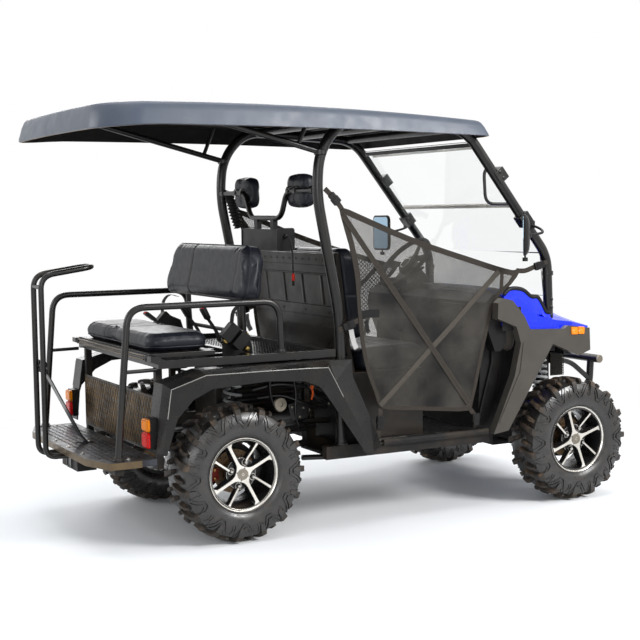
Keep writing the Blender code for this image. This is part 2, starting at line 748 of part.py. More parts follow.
def spindle_end(wheel_y, rim_width, side):
    """Where the spindle stops inside the hub."""
    return side * (wheel_y + rim_width / 2 - SPOKE_FACE_INSET - 0.012 - 0.004)


def build_wheels():
    for label, side in both_sides():
        for end, x, y, tyre_w, rim_w in (("front", WHEELBASE, FRONT_WHEEL_Y, FRONT_TYRE_W, FRONT_RIM_W),
                                         ("rear", 0.0, REAR_WHEEL_Y, REAR_TYRE_W, REAR_RIM_W)):
            centre = (x, y * side, TYRE_R)
            build_tyre(f"tyre_{end}_{label}", centre, tyre_w, rim_w)
            build_rim(f"rim_{end}_{label}", centre, rim_w, side)


def axle_bar(x, y0, y1, radius, steps=16):
    """Round bar along Y whose facets line up with a hub's bore."""
    low = min(y0, y1)
    high = max(y0, y1)
    return turned([(low, radius), (high, radius)], (x, 0, TYRE_R), steps)


def build_knuckles():
    for label, side in both_sides():
        y = KINGPIN_Y * side
        body = block(WHEELBASE - KNUCKLE_HALF_W, WHEELBASE + KNUCKLE_HALF_W,
                     y - 0.020, y + 0.020, TYRE_R - KNUCKLE_HALF_H, TYRE_R + KNUCKLE_HALF_H)
        spindle = axle_bar(WHEELBASE, y, spindle_end(FRONT_WHEEL_Y, FRONT_RIM_W, side), SPINDLE_R)
        steer_arm = block(WHEELBASE - 0.090, WHEELBASE, y - 0.010, y + 0.010, TYRE_R - 0.055, TYRE_R - 0.035)
        knuckle = union([body, spindle, steer_arm])
        finish(knuckle, f"knuckle_{label}", STEEL, (WHEELBASE, y, TYRE_R))


def build_front_suspension():
    """Differential housing with an upper and a lower wishbone on each side."""
    x0 = WHEELBASE - 0.130
    x1 = WHEELBASE + 0.130
    parts = [block(x0, x1, -SUBFRAME_HALF, SUBFRAME_HALF, 0.205, RAIL_Z - RAIL_H / 2 - GAP)]
    for _, side in both_sides():
        parts.append(block(x0 + 0.02, x1 - 0.02, side * SUBFRAME_HALF - 0.03, side * SUBFRAME_HALF + 0.03,
                           RAIL_Z - RAIL_H / 2 - 0.03, 0.450))
        for z in (TYRE_R - KNUCKLE_HALF_H - RUNNING_GAP - ARM_EYE_H / 2, TYRE_R + KNUCKLE_HALF_H + RUNNING_GAP + ARM_EYE_H / 2):
            eye = (WHEELBASE, side * KINGPIN_Y, z)
            inner_z = 0.235 if z < TYRE_R else 0.425
            for x in (x0 + 0.04, x1 - 0.04):
                parts.append(bar((x, side * (SUBFRAME_HALF - 0.01), inner_z), eye, ARM_R * 0.9))
            parts.append(tube([(eye[0], eye[1], z - ARM_EYE_H / 2), (eye[0], eye[1], z + ARM_EYE_H / 2)], ARM_EYE_R, 12))
        parts.append(block(FRONT_SHOCK_X - 0.026, FRONT_SHOCK_X + 0.042, side * FRONT_SHOCK_Y - 0.014,
                           side * FRONT_SHOCK_Y + 0.014, SHOCK_SEAT_Z - 0.024, SHOCK_SEAT_Z))
    suspension = union(parts)
    finish(suspension, "front_suspension", BLACK_STEEL)


def build_rear_axle():
    """Beam axle with its final drive, hub flanges and two trailing arms."""
    end = spindle_end(REAR_WHEEL_Y, REAR_RIM_W, 1)
    flange = REAR_WHEEL_Y - REAR_RIM_W / 2 - 0.012
    parts = [axle_bar(0, -end, end, SPINDLE_R), axle_bar(0, -flange, flange, 0.034, 12)]
    parts.append(turned([(-0.075, 0.045), (-0.050, 0.092), (0.050, 0.092), (0.075, 0.045)], (0, 0, TYRE_R), 16))
    for _, side in both_sides():
        parts.append(bar((0.0, side * 0.20, TYRE_R - 0.005), (0.552, side * 0.20, TRAIL_PIVOT_Z), 0.016))
        parts.append(bar((0.54, side * 0.19, TRAIL_PIVOT_Z), (0.54, side * (RAIL_Y - RAIL_W / 2 - GAP), TRAIL_PIVOT_Z), 0.012))
        parts.append(block(0.02, REAR_SHOCK_X + 0.018, side * REAR_SHOCK_Y - 0.018, side * REAR_SHOCK_Y + 0.018,
                           TYRE_R - 0.016, TYRE_R + 0.012))
    axle = union(parts)
    finish(axle, "rear_axle", BLACK_STEEL)


def build_shocks():
    """Coil spring over damper, with an eye at each end."""
    for label, side in both_sides():
        low = Vector((FRONT_SHOCK_X, side * FRONT_SHOCK_Y, SHOCK_SEAT_Z + GAP))
        high = Vector((FRONT_SHOCK_X, side * (FRONT_SHOCK_Y - 0.038), TOWER_TOP_Z - 0.012 - GAP))
        shock(f"shock_front_{label}", low, high)
        low = Vector((REAR_SHOCK_X, side * REAR_SHOCK_Y, TYRE_R + 0.012 + GAP))
        high = Vector((REAR_SHOCK_X, side * REAR_SHOCK_Y, 0.735 - GAP))
        shock(f"shock_rear_{label}", low, high)


def shock(name, low, high):
    axis = high - low
    span = axis.length
    stations = ((0.0, 0.012), (0.09, 0.012), (0.10, SHOCK_R), (0.125, SHOCK_R))
    coils = 5
    profile = list(stations)
    start = 0.14
    pitch = (0.86 - start) / coils
    for k in range(coils):
        base = start + pitch * k
        profile += [(base, SHOCK_R - 0.009), (base + pitch * 0.25, SHOCK_R), (base + pitch * 0.65, SHOCK_R),
                    (base + pitch * 0.90, SHOCK_R - 0.009)]
    profile += [(0.875, SHOCK_R), (0.90, SHOCK_R), (0.91, 0.012), (1.0, 0.012)]
    across = axis.cross(Vector((1, 0, 0))).normalized()
    along = across.cross(axis).normalized()
    sections = []
    for share, radius in profile:
        centre = low + axis * share
        ring = []
        for k in range(8):
            a = 2 * math.pi * k / 8
            offset = (along * math.cos(a) + across * math.sin(a)) * radius
            if share in (0.0, 1.0):
                offset.z = 0
                ring.append(Vector((centre.x + offset.x, centre.y + offset.y, centre.z)))
            else:
                ring.append(centre + offset)
        sections.append(ring)
    body = loft(sections, name)
    finish(body, name, SPRING, tuple(low))


def build_steering():
    axis = Vector((-math.cos(WHEEL_TILT), 0, math.sin(WHEEL_TILT)))
    hub = Vector((STEER_X, STEER_Y, STEER_Z))
    up = Vector((math.sin(WHEEL_TILT), 0, math.cos(WHEEL_TILT)))
    left = Vector((0, 1, 0))
    ring = []
    for k in range(24):
        a = 2 * math.pi * k / 24
        ring.append(hub + (up * math.cos(a) + left * math.sin(a)) * STEER_R)
    rim = tube(ring, STEER_RIM_R, 6, closed=True)
    parts = [rim, bar(hub - axis * 0.032, hub - axis * 0.004, 0.034, 12)]
    for degrees in (90, 210, 330):
        a = math.radians(degrees)
        direction = up * math.sin(a) + left * math.cos(a)
        end = hub + direction * (STEER_R - 0.002)
        parts.append(bar(hub - axis * 0.018, end, 0.010, 6))
    shaft_end = hub - axis * 0.105
    parts.append(bar(hub - axis * 0.030, shaft_end, COLUMN_R, 12))
    wheel = union(parts)
    finish(wheel, "steering_wheel", PLASTIC, tuple(hub))


# Front body

def hood_height(x, y):
    """Top of the hood: a crowned centre that falls to the fender line and to the nose."""
    spine = ((1.400, 1.030), (1.460, 1.062), (1.540, 1.055), (1.620, 1.020), (1.720, 0.972), (1.820, 0.938),
             (1.900, 0.900), (1.965, 0.868))
    edge = ((1.400, 1.000), (1.460, 0.995), (1.540, 0.965), (1.620, 0.930), (1.720, 0.908), (1.820, 0.893),
            (1.900, 0.872), (1.965, 0.858))
    top = interpolate(spine, x)
    low = interpolate(edge, x)
    share = min(max((abs(y) - 0.36) / (HOOD_HALF - 0.36), 0), 1)
    return top + (low - top) * share - 0.010 * (abs(y) / HOOD_HALF) ** 2


def hood_base(x):
    """Line on which the hood sits: the fenders in front, the dashboard's shelf behind."""
    return interpolate(((1.460, SHELF_Z), (1.540, BODY_BASE_Z)), x)


def interpolate(points, x):
    if x <= points[0][0]:
        return points[0][1]
    for (xa, za), (xb, zb) in zip(points, points[1:]):
        if x <= xb:
            return za + (zb - za) * (x - xa) / (xb - xa)
    return points[-1][1]


def build_hood():
    stations = (1.405, 1.460, 1.540, 1.620, 1.720, 1.820, 1.900, NOSE_X - 0.004)
    sections = []
    for x in stations:
        taper = 1.0 if x < 1.80 else 1.0 - 0.10 * (x - 1.80) / (NOSE_X - 1.80)
        half = HOOD_HALF * taper
        base = hood_base(x) + GAP
        ring = [(x, -half, base)]
        for share in (-1.0, -0.82, -0.62, -0.3, 0.0, 0.3, 0.62, 0.82, 1.0):
            y = half * share
            ring.append((x, y, hood_height(x, y)))
        ring.append((x, half, base))
        sections.append(ring)
    hood = loft(sections, "hood")
    cutters = []
    for _, side in both_sides():
        cutters.append(cage_cutter(side))
    cut(hood, cutters)
    finish(hood, "hood", BLUE, smooth=35)


def build_nose():
    """Front fascia with its grille slots, wrapped round to the fenders."""
    half = FENDER_HALF - FENDER_SKIN - GAP
    outline = [(1.775, -half), (1.905, -half), (NOSE_X, -0.46), (NOSE_X + 0.012, 0), (NOSE_X, 0.46), (1.905, half),
               (1.775, half)]
    nose = plan_prism(outline, 0.720, BODY_BASE_Z, "nose")
    chin = block(TOWER_FRONT_X + 0.020, NOSE_X - 0.010, -0.30, 0.30, NOSE_LOW_Z, 0.730)
    nose = union([nose, chin])
    cutters = [block(1.770, 1.925, -0.44, 0.44, 0.700, BODY_BASE_Z - 0.012)]
    for _, side in both_sides():
        y = side * 0.36
        cutters.append(block(1.93, NOSE_X + 0.05, y - LAMP_W / 2, y + LAMP_W / 2, 0.745, 0.745 + LAMP_H))
    for k in range(3):
        z = 0.752 + 0.026 * k
        cutters.append(block(1.90, NOSE_X + 0.05, -0.21, 0.21, z, z + 0.013))
    cut(nose, cutters)
    finish(nose, "nose_panel", GREY_PLASTIC)


def build_headlamps():
    for label, side in both_sides():
        y = side * 0.36
        y0 = y - LAMP_W / 2 + GAP
        y1 = y + LAMP_W / 2 - GAP
        z0 = 0.745 + GAP
        z1 = 0.745 + LAMP_H - GAP
        lamp = loft([[(1.932, a, b) for a, b in ((y0, z0), (y1, z0), (y1, z1), (y0, z1))],
                     [(NOSE_X - 0.006, a, b) for a, b in ((y0, z0), (y1, z0), (y1, z1), (y0, z1))]], "lamp")
        finish(lamp, f"headlamp_{label}", LAMP_CLEAR)


def build_front_fenders():
    """Side panel with the slanted mud guard behind the wheel and the overhanging corner."""
    for label, side in both_sides():
        outer = FENDER_HALF * side
        inner = (FENDER_HALF - FENDER_SKIN) * side
        panel = side_prism([(1.345, 1.000), (1.375, 1.022), (1.430, 1.010), (1.500, 0.930), (1.535, BODY_BASE_Z + 0.018),
                            (1.740, BODY_BASE_Z + 0.010), (1.765, BODY_BASE_Z + 0.026), (1.900, BODY_BASE_Z + 0.008),
                            (1.905, 0.742), (1.835, 0.718), (1.672, 0.785), (1.404, 0.378), (1.316, 0.366),
                            (1.440, 0.640), (1.478, 0.800), (1.452, 0.880), (1.340, 0.925)],
                           inner, outer, "front_fender")
        strip = side_prism([(1.345, 0.420), (1.372, 0.420), (1.512, 0.700), (1.512, 0.800), (1.490, 0.800), (1.470, 0.660)],
                           outer - side * 0.004, outer + side * 0.004, "strip")
        panel = union([panel, strip])
        hood_side = hood_side_cutter(side)
        cut(panel, [hood_side])
        finish(panel, f"front_fender_{label}", GREY_PLASTIC)


def hood_side_cutter(side):
    y0 = side * (FENDER_HALF - FENDER_SKIN - 0.01)
    y1 = side * (HOOD_HALF + GAP)
    outline = [(1.402, SHELF_Z), (1.460, SHELF_Z), (1.540, BODY_BASE_Z), (1.99, BODY_BASE_Z), (1.99, 1.10), (1.402, 1.10)]
    return side_prism(outline, y0, y1, "hood_side")


def build_dash():
    """Dashboard and firewall top, with the pedestal and jacket of the steering column."""
    half = CAGE_Y + CAGE_R - GAP
    back = 1.405 - GAP
    outline = [(1.400, 0.760), (1.430, 0.800), (1.430, SHELF_Z), (back, SHELF_Z), (back, 1.026), (1.360, 1.040),
               (1.310, 1.000), (DASH_REAR_X, 0.930), (1.330, 0.850), (1.365, 0.760)]
    dash = side_prism(outline, -half, half, "dash")
    axis = Vector((-math.cos(WHEEL_TILT), 0, math.sin(WHEEL_TILT)))
    hub = Vector((STEER_X, STEER_Y, STEER_Z))
    pedestal = side_prism([(1.330, 0.990), (1.330, 1.045), (back, 1.125), (back, 0.990)], STEER_Y - 0.09, STEER_Y + 0.09)
    jacket = bar(hub - axis * 0.050, hub - axis * 0.118, 0.028, 12)
    dash = union([dash, pedestal, jacket])
    cut(dash, [bar(hub - axis * 0.020, hub - axis * 0.109, COLUMN_R + RUNNING_GAP, 12)])
    finish(dash, "dash", PLASTIC)


def build_floor():
    """Floor pan with the toe board, cheeks beside the footwell and a rear riser."""
    z0 = RAIL_Z + RAIL_H / 2 + GAP
    z1 = z0 + FLOOR_T
    t = 0.010
    outline = [(FLOOR_REAR_X, z0), (TOE_X, z0), (1.385, 0.700), (1.385, 0.758), (1.375, 0.758), (1.375, 0.703),
               (TOE_X - 0.008, z1), (SEAT_BASE_REAR_X + t, z1), (SEAT_BASE_REAR_X + t, 0.560), (FLOOR_REAR_X, 0.560)]
    floor = side_prism(outline, -FLOOR_HALF, FLOOR_HALF, "floor")
    cutters = []
    for _, side in both_sides():
        cutters.append(block(HOOP_X - 0.06, HOOP_X + 0.045, side * 0.495, side * 0.60, 0.30, 0.70))
    cut(floor, cutters)
    finish(floor, "floor_pan", PLASTIC)


def build_windshield():
    """Two clear panels between the front pillars, one above the other."""
    low = (GLASS_LOW_X, PILLAR_KNEE_Z - 0.195)
    split_z = 1.470
    top_z = 1.775
    upper = [(GLASS_TOP_X, top_z), (GLASS_TOP_X + 0.045, top_z - 0.028), (GLASS_SPLIT_X, split_z + 0.004)]
    lower = [(GLASS_SPLIT_X + 0.003, split_z - 0.004), (1.668, 1.235), low]
    for name, path in (("windshield_upper", upper), ("windshield_lower", lower)):
        front = path
        back = [(x - GLASS_T * 0.82, z - GLASS_T * 0.57) for x, z in path]
        pane = side_prism(front + back[::-1], -GLASS_HALF, GLASS_HALF, name)
        cut(pane, [cage_cutter(side) for _, side in both_sides()])
        finish(pane, name, CLEAR)


def build_bull_bar():
    cross_y = BULL_HALF
    path = rounded([(RAIL_FRONT_X + GAP, -RAIL_Y, RAIL_Z), (BULL_X - 0.06, -RAIL_Y, RAIL_Z + 0.02),
                    (BULL_X - 0.01, -RAIL_Y, 0.50), (BULL_X, -RAIL_Y, BULL_TOP_Z)], 0.06)
    parts = [tube(path, BULL_R * 0.9, 8, ends=(0, None)),
             tube([(p.x, -p.y, p.z) for p in path], BULL_R * 0.9, 8, ends=(0, None))]
    parts.append(bar((BULL_X, -cross_y, BULL_TOP_Z), (BULL_X, cross_y, BULL_TOP_Z), BULL_R, 10))
    parts.append(bar((BULL_X - 0.012, -RAIL_Y, 0.47), (BULL_X - 0.012, RAIL_Y, 0.47), BULL_R * 0.8, 8))
    for _, side in both_sides():
        stay = rounded([(BULL_X - 0.01, side * RAIL_Y, 0.560), (BULL_X - 0.06, side * RAIL_Y, 0.640),
                        (NOSE_X - 0.010 + GAP + 0.001, side * RAIL_Y, 0.655)], 0.05)
        parts.append(tube(stay, BULL_R * 0.75, 8))
    bull = union(parts)
    finish(bull, "bull_bar", BLACK_STEEL)


def build_mirrors():
    """Mirrors on ball-jointed arms, each turned in towards the driver."""
    for label, side in both_sides():
        centre = Vector((MIRROR_X, side * MIRROR_Y, MIRROR_Z))
        look = Vector((-math.cos(MIRROR_TURN), -side * math.sin(MIRROR_TURN), 0))
        across = Vector((-look.y, look.x, 0))
        rings = []
        for depth, trim in ((0.0, 0.004), (0.010, 0.0), (0.026, 0.006), (MIRROR_T, 0.030)):
            half = MIRROR_W / 2 - trim
            rise = MIRROR_H / 2 - trim
            cut_corner = 0.022
            outline = [(-half + cut_corner, -rise), (half - cut_corner, -rise), (half, -rise + cut_corner),
                       (half, rise - cut_corner), (half - cut_corner, rise), (-half + cut_corner, rise),
                       (-half, rise - cut_corner), (-half, -rise + cut_corner)]
            rings.append([centre - look * depth + across * u + Vector((0, 0, v)) for u, v in outline])
        back = centre - look * (MIRROR_T - 0.006)
        arm = rounded([(MIRROR_CLAMP_X, side * 0.568, 1.372), (1.560, side * 0.620, 1.380),
                       (back.x + 0.012, back.y, 1.366), (back.x - 0.004, back.y, 1.350)], 0.015)
        clamp = block(MIRROR_CLAMP_X - 0.026, MIRROR_CLAMP_X + 0.026, min(side * 0.548, side * 0.574),
                      max(side * 0.548, side * 0.574), 1.352, 1.392)
        mirror = cut(union([loft(rings, "mirror"), tube(arm, 0.007, 6), clamp]), [cage_cutter(side)])
        finish(mirror, f"mirror_{label}", PLASTIC)


# Cabin

def build_front_seats():
    z0 = RAIL_Z + RAIL_H / 2 + GAP + FLOOR_T + GAP
    base = block(SEAT_BASE_REAR_X + 0.0105, SEAT_BASE_FRONT_X, -SEAT_BASE_HALF, SEAT_BASE_HALF, z0, SEAT_BASE_TOP_Z)
    panel = side_prism([(0.615, SEAT_BASE_TOP_Z - 0.01), (0.640, SEAT_BASE_TOP_Z - 0.01), (0.600, SEAT_BACK_LOW_Z),
                        (0.560, SEAT_BACK_TOP_Z), (0.540, SEAT_BACK_TOP_Z), (0.578, SEAT_BACK_LOW_Z)],
                       -BACKREST_HALF, BACKREST_HALF)
    frame = union([base, panel])
    finish(frame, "front_seat_frame", PLASTIC)
    cushion = block(0.665, SEAT_BASE_FRONT_X + 0.03, -SEAT_BASE_HALF + 0.005, SEAT_BASE_HALF - 0.005,
                    SEAT_BASE_TOP_Z + GAP, SEAT_BASE_TOP_Z + CUSHION_T)
    finish(cushion, "front_cushion", VINYL)
    top = SEAT_BASE_TOP_Z + CUSHION_T + 0.006
    low_x = back_face_x(top)
    high_x = back_face_x(SEAT_BACK_TOP_Z)
    backrest = side_prism([(low_x + GAP, top), (low_x + 0.120, top), (high_x + 0.090, SEAT_BACK_TOP_Z + 0.030),
                           (high_x + 0.030, SEAT_BACK_TOP_Z + 0.030), (high_x + GAP, SEAT_BACK_TOP_Z)],
                          -BACKREST_HALF + 0.005, BACKREST_HALF - 0.005)
    finish(backrest, "front_backrest", VINYL)


def back_face_x(z):
    """Front face of the seat's rear panel at a height."""
    if z > SEAT_BACK_LOW_Z:
        return interpolate(((SEAT_BACK_LOW_Z, 0.600), (SEAT_BACK_TOP_Z, 0.560)), z)
    return interpolate(((SEAT_BASE_TOP_Z - 0.01, 0.640), (SEAT_BACK_LOW_Z, 0.600)), z)


def build_headrests():
    """Bent bar between the rear hoops with two padded headrests."""
    inner = CAGE_Y - 0.005
    x = HOOP_BACK_X + 0.004
    path = rounded([(x, -inner, HEADREST_BAR_Z), (x, -0.235, HEADREST_BAR_Z), (x, -0.170, HEADREST_DIP_Z),
                    (x, 0.170, HEADREST_DIP_Z), (x, 0.235, HEADREST_BAR_Z), (x, inner, HEADREST_BAR_Z)], 0.035, 3)
    parts = [tube(path, HEADREST_BAR_R, 8)]
    for _, side in both_sides():
        y = side * HEADREST_PAD_Y
        half = HEADREST_PAD_W / 2
        z = HEADREST_BAR_Z
        front = [(x + 0.080, a, b) for a, b in pad_outline(y, z, half - 0.012, HEADREST_PAD_H / 2 - 0.012)]
        middle = [(x + 0.055, a, b) for a, b in pad_outline(y, z, half, HEADREST_PAD_H / 2)]
        back = [(x + 0.004, a, b) for a, b in pad_outline(y, z, half - 0.010, HEADREST_PAD_H / 2 - 0.010)]
        parts.append(loft([front, middle, back]))
    headrests = cut(union(parts), [cage_cutter(side) for _, side in both_sides()])
    finish(headrests, "headrest_bar", BLACK_STEEL)
    z_top = HEADREST_DIP_Z - HEADREST_BAR_R - GAP
    box = block(x - 0.035, x + 0.050, -SOUND_BOX_HALF, SOUND_BOX_HALF, 1.270, z_top - 0.040)
    stubs = [block(x - 0.012, x + 0.012, y - 0.018, y + 0.018, z_top - 0.05, HEADREST_DIP_Z) for y in (-0.09, 0.09)]
    seat = bar((x, -0.13, HEADREST_DIP_Z), (x, 0.13, HEADREST_DIP_Z), HEADREST_BAR_R + GAP)
    finish(cut(union([box] + stubs), [seat]), "sound_box", PLASTIC)


def pad_outline(y, z, half_w, half_h):
    c = 0.020
    return [(y - half_w + c, z - half_h), (y + half_w - c, z - half_h), (y + half_w, z - half_h + c),
            (y + half_w, z + half_h - c), (y + half_w - c, z + half_h), (y - half_w + c, z + half_h),
            (y - half_w, z + half_h - c), (y - half_w, z - half_h + c)]


def build_engine():
    length, width, height = ENGINE_SIZE
    z0 = REAR_RAIL_Z + RAIL_H / 2 + GAP
    engine = block(ENGINE_X - length / 2, ENGINE_X + length / 2, -width / 2, width / 2, z0, z0 + height)
    foot = block(ENGINE_X - 0.15, ENGINE_X + 0.15, -RAIL_Y, RAIL_Y, z0 + 0.0001, z0 + 0.020)
    finish(union([engine, foot]), "engine", STEEL)


# Rear deck, seat and platform

def build_rear_base():
    z0 = BASE_Z
    z1 = BASE_Z + BASE_RAIL_H
    half = BASE_RAIL_W / 2
    rear_x = HINGE_X + HINGE_R + SWING_GAP
    parts = []
    for _, side in both_sides():
        y = BASE_HALF * side
        parts.append(block(rear_x, BASE_FRONT_X, y - half, y + half, z0, z1))
        lug_y0 = LID_HALF + RUNNING_GAP
        lug = side_prism([(HINGE_X - 0.016, z1 - 0.002), (HINGE_X + 0.05, z0 + 0.006), (HINGE_X + 0.05, z1 - 0.002),
                          (HINGE_X + 0.016, z1 + 0.020), (HINGE_X - 0.016, z1 + 0.020)],
                         side * lug_y0, side * (BASE_HALF + half - 0.002))
        parts.append(lug)
    for x in (rear_x + 0.015, TRAY_REAR_X, BASE_FRONT_X - 0.015):
        parts.append(block(x - 0.015, x + 0.015, -BASE_HALF, BASE_HALF, z0 + 0.003, z1 - 0.004))
    parts.append(block(TRAY_REAR_X, BASE_FRONT_X - 0.002, -BASE_HALF, BASE_HALF, z0 + 0.004, z0 + 0.004 + TRAY_T))
    post_x = TRAY_REAR_X + 0.040
    parts.append(bar((post_x, -BACK_POST_Y, 0.90), (post_x, BACK_POST_Y, 0.90), 0.010, 8))
    base = union(parts + back_posts())
    cutters = []
    for _, side in both_sides():
        cutters.append(bar((HOOP_X, side * CAGE_Y, 0.70), (HOOP_X, side * CAGE_Y, 0.90), CAGE_R + GAP, 10))
    cut(base, cutters)
    finish(base, "rear_seat_base", BLACK_STEEL)


def hinge_z():
    return BASE_Z + BASE_RAIL_H + 0.0055


def build_lid():
    z = hinge_z()
    bottom = z
    top = z + LID_T
    hinge = bar((HINGE_X, -LID_HALF, z + 0.001), (HINGE_X, LID_HALF, z + 0.001), HINGE_R, 12)
    parts = [hinge]
    for _, side in both_sides():
        y = side * (LID_HALF - 0.018)
        parts.append(block(HINGE_X, LID_FRONT_X, y - 0.010, y + 0.010, bottom, top))
    parts.append(block(LID_FRONT_X - 0.020, LID_FRONT_X - 0.001, -LID_HALF + 0.008, LID_HALF - 0.008, bottom + 0.001, top - 0.001))
    parts.append(block(HINGE_X + 0.004, HINGE_X + 0.024, -LID_HALF + 0.008, LID_HALF - 0.008, bottom + 0.001, top - 0.001))
    parts.append(block(HINGE_X + 0.010, LID_FRONT_X - 0.008, -LID_HALF + 0.015, LID_HALF - 0.015, top - 0.004, top))
    lid = union(parts)
    finish(lid, "rear_seat_lid", BLACK_STEEL, (HINGE_X, 0, z))
    cushion = rear_cushion(top + GAP)
    finish(cushion, "rear_cushion", VINYL, (HINGE_X, 0, z))


def rear_cushion(z0):
    """Seat pad of two crowned halves with a dip at the middle."""
    x0 = HINGE_X + 0.008
    x1 = LID_FRONT_X
    sections = []
    for share in (-1.0, -0.94, -0.55, -0.14, 0.0, 0.14, 0.55, 0.94, 1.0):
        y = REAR_CUSHION_HALF * share
        dip = 0.012 if abs(share) < 0.1 else 0.0
        drop = 0.018 if abs(share) > 0.98 else 0.0
        inset = 0.012 if abs(share) > 0.98 else 0.0
        top = z0 + REAR_CUSHION_T - dip - drop
        sections.append([(x0 + inset, y, z0), (x1 - inset, y, z0), (x1 - inset, y, top - 0.020),
                         (x1 - 0.020 - inset, y, top), (x0 + 0.022 + inset, y, top), (x0 + inset, y, top - 0.022)])
    return loft(sections, "cushion")


def back_frame(share_up, depth):
    """Point on the reclined rear backrest: along its height and its thickness."""
    up = Vector((math.sin(REAR_BACK_TILT), 0, math.cos(REAR_BACK_TILT)))
    ahead = Vector((math.cos(REAR_BACK_TILT), 0, -math.sin(REAR_BACK_TILT)))
    return Vector((REAR_BACK_LOW_X, 0, REAR_BACK_LOW_Z)) + up * REAR_BACK_H * share_up + ahead * depth


def build_rear_backrest():
    sections = []
    for share, inset in ((0.0, 0.016), (0.07, 0.0), (0.93, 0.0), (1.0, 0.016)):
        half = REAR_BACK_HALF_LOW + (REAR_BACK_HALF_TOP - REAR_BACK_HALF_LOW) * share - inset
        near = back_frame(share, inset)
        far = back_frame(share, REAR_BACK_T - inset)
        c = 0.018
        ring = [(near.x, -half + c, near.z), (near.x, half - c, near.z)]
        soft = back_frame(share, inset + c)
        hard = back_frame(share, REAR_BACK_T - inset - c)
        ring += [(soft.x, half, soft.z), (hard.x, half, hard.z), (far.x, half - c, far.z), (far.x, -half + c, far.z),
                 (hard.x, -half, hard.z), (soft.x, -half, soft.z)]
        sections.append(ring)
    backrest = loft(sections, "rear_backrest")
    cut(backrest, back_posts(GAP))
    finish(backrest, "rear_backrest", VINYL)


def back_posts(gap=0.0):
    """The two bent posts that stand on the tray and run up inside the backrest."""
    middle = back_frame(0.5, REAR_BACK_T * 0.5)
    posts = []
    for _, side in both_sides():
        y = side * BACK_POST_Y
        path = rounded([(TRAY_REAR_X + 0.045, y, BASE_Z + 0.006), (TRAY_REAR_X + 0.030, y, 0.98),
                        (middle.x, y, middle.z)], 0.06, 2)
        posts.append(tube(path, BACK_POST_R + gap, 8, ends=(2, None)))
    return posts


def platform_outline(inset=0.0, front=0.0):
    half = PLATFORM_HALF - inset
    rear = PLATFORM_REAR_X + inset
    shoulder = PLATFORM_REAR_X + PLATFORM_CHAMFER_X
    rear_half = PLATFORM_HALF - PLATFORM_CHAMFER_Y
    return [(PLATFORM_FRONT_X + front, -half), (shoulder, -half), (rear, -rear_half), (rear, rear_half),
            (shoulder, half), (PLATFORM_FRONT_X + front, half)]


def build_platform():
    """Tread plate with a folded lip, pierced by the feet of the hand rails and of the grab bar's brace."""
    platform = plan_prism(platform_outline(), PLATFORM_Z - PLATFORM_LIP, PLATFORM_Z)
    cutters = [plan_prism(platform_outline(PLATFORM_T, 0.05), PLATFORM_Z - 0.10, PLATFORM_Z - PLATFORM_T)]
    for _, side in both_sides():
        cutters.append(tube(handrail_path(side), RAIL_TUBE_R + GAP, 8, ends=(2, 2)))
    cutters.append(brace_foot(GAP))
    cut(platform, cutters)
    finish(platform, "foot_platform", BLACK_STEEL)
    panel_x = POST_X - POST_W / 2 - GAP
    kick = block(panel_x - KICK_T, panel_x, -KICK_HALF - 0.03, KICK_HALF + 0.03, PLATFORM_Z + 0.004, KICK_TOP_Z)
    finish(kick, "kick_panel", BLACK_STEEL)


def brace_foot(gap=0.0):
    """Pad of the grab bar's brace, which stands on the beam under the platform."""
    half = PLATFORM_BEAM_W / 2 + gap
    return block(PLATFORM_BEAM_X - half, PLATFORM_BEAM_X + half, -0.014 - gap, 0.014 + gap,
                 PLATFORM_BEAM_TOP_Z + GAP, PLATFORM_Z + 0.004)


def build_grab_bar():
    """Two legs joined by a loop on top; they turn in under the platform and end against its beam."""
    top_front = GRAB_X + GRAB_REACH
    foot_x = PLATFORM_BEAM_X - PLATFORM_BEAM_W / 2 - GAP
    foot_z = PLATFORM_Z - PLATFORM_LIP - GRAB_R - 0.003
    legs = []
    parts = []
    for _, side in both_sides():
        y = GRAB_HALF * side
        points = [(foot_x, y, foot_z), (GRAB_X, y, foot_z), (GRAB_X, y, GRAB_TOP_Z - 0.010),
                  (top_front - GRAB_HALF, y, GRAB_TOP_Z + 0.018)]
        legs.append(rounded(points, [0, 0.05, 0.07, 0], 4))
    loop = []
    centre = (top_front - GRAB_HALF, 0, GRAB_TOP_Z + 0.018)
    for k in range(1, 8):
        a = -math.pi / 2 + math.pi * k / 8
        loop.append(Vector((centre[0] + GRAB_HALF * math.cos(a), GRAB_HALF * math.sin(a), centre[2])))
    path = legs[0] + loop + legs[1][::-1]
    parts.append(tube(path, GRAB_R, 8, ends=(0, 0)))
    parts.append(bar((GRAB_X, -GRAB_HALF, 1.133), (GRAB_X, GRAB_HALF, 1.133), GRAB_R * 0.7, 6))
    parts.append(block(GRAB_X - 0.004, GRAB_X, -GRAB_HALF - 0.004, GRAB_HALF + 0.004, 0.745, 0.798))
    parts.append(bar((GRAB_X, 0, 0.750), (PLATFORM_BEAM_X, 0, PLATFORM_Z), 0.009, 6))
    parts.append(brace_foot())
    grab = union(parts)
    finish(grab, "grab_bar", BLACK_STEEL)


def handrail_path(side):
    """From the beam under the platform, up and over to the seat base."""
    y = HANDRAIL_Y * side
    return rounded([(HANDRAIL_FOOT_X, y, PLATFORM_BEAM_TOP_Z + GAP), (HANDRAIL_FOOT_X + 0.060, y, HANDRAIL_TOP_Z),
                    (HANDRAIL_FRONT_X - 0.010, y, HANDRAIL_TOP_Z),
                    (HANDRAIL_FRONT_X, y, BASE_Z + BASE_RAIL_H + GAP)], 0.080, 4)


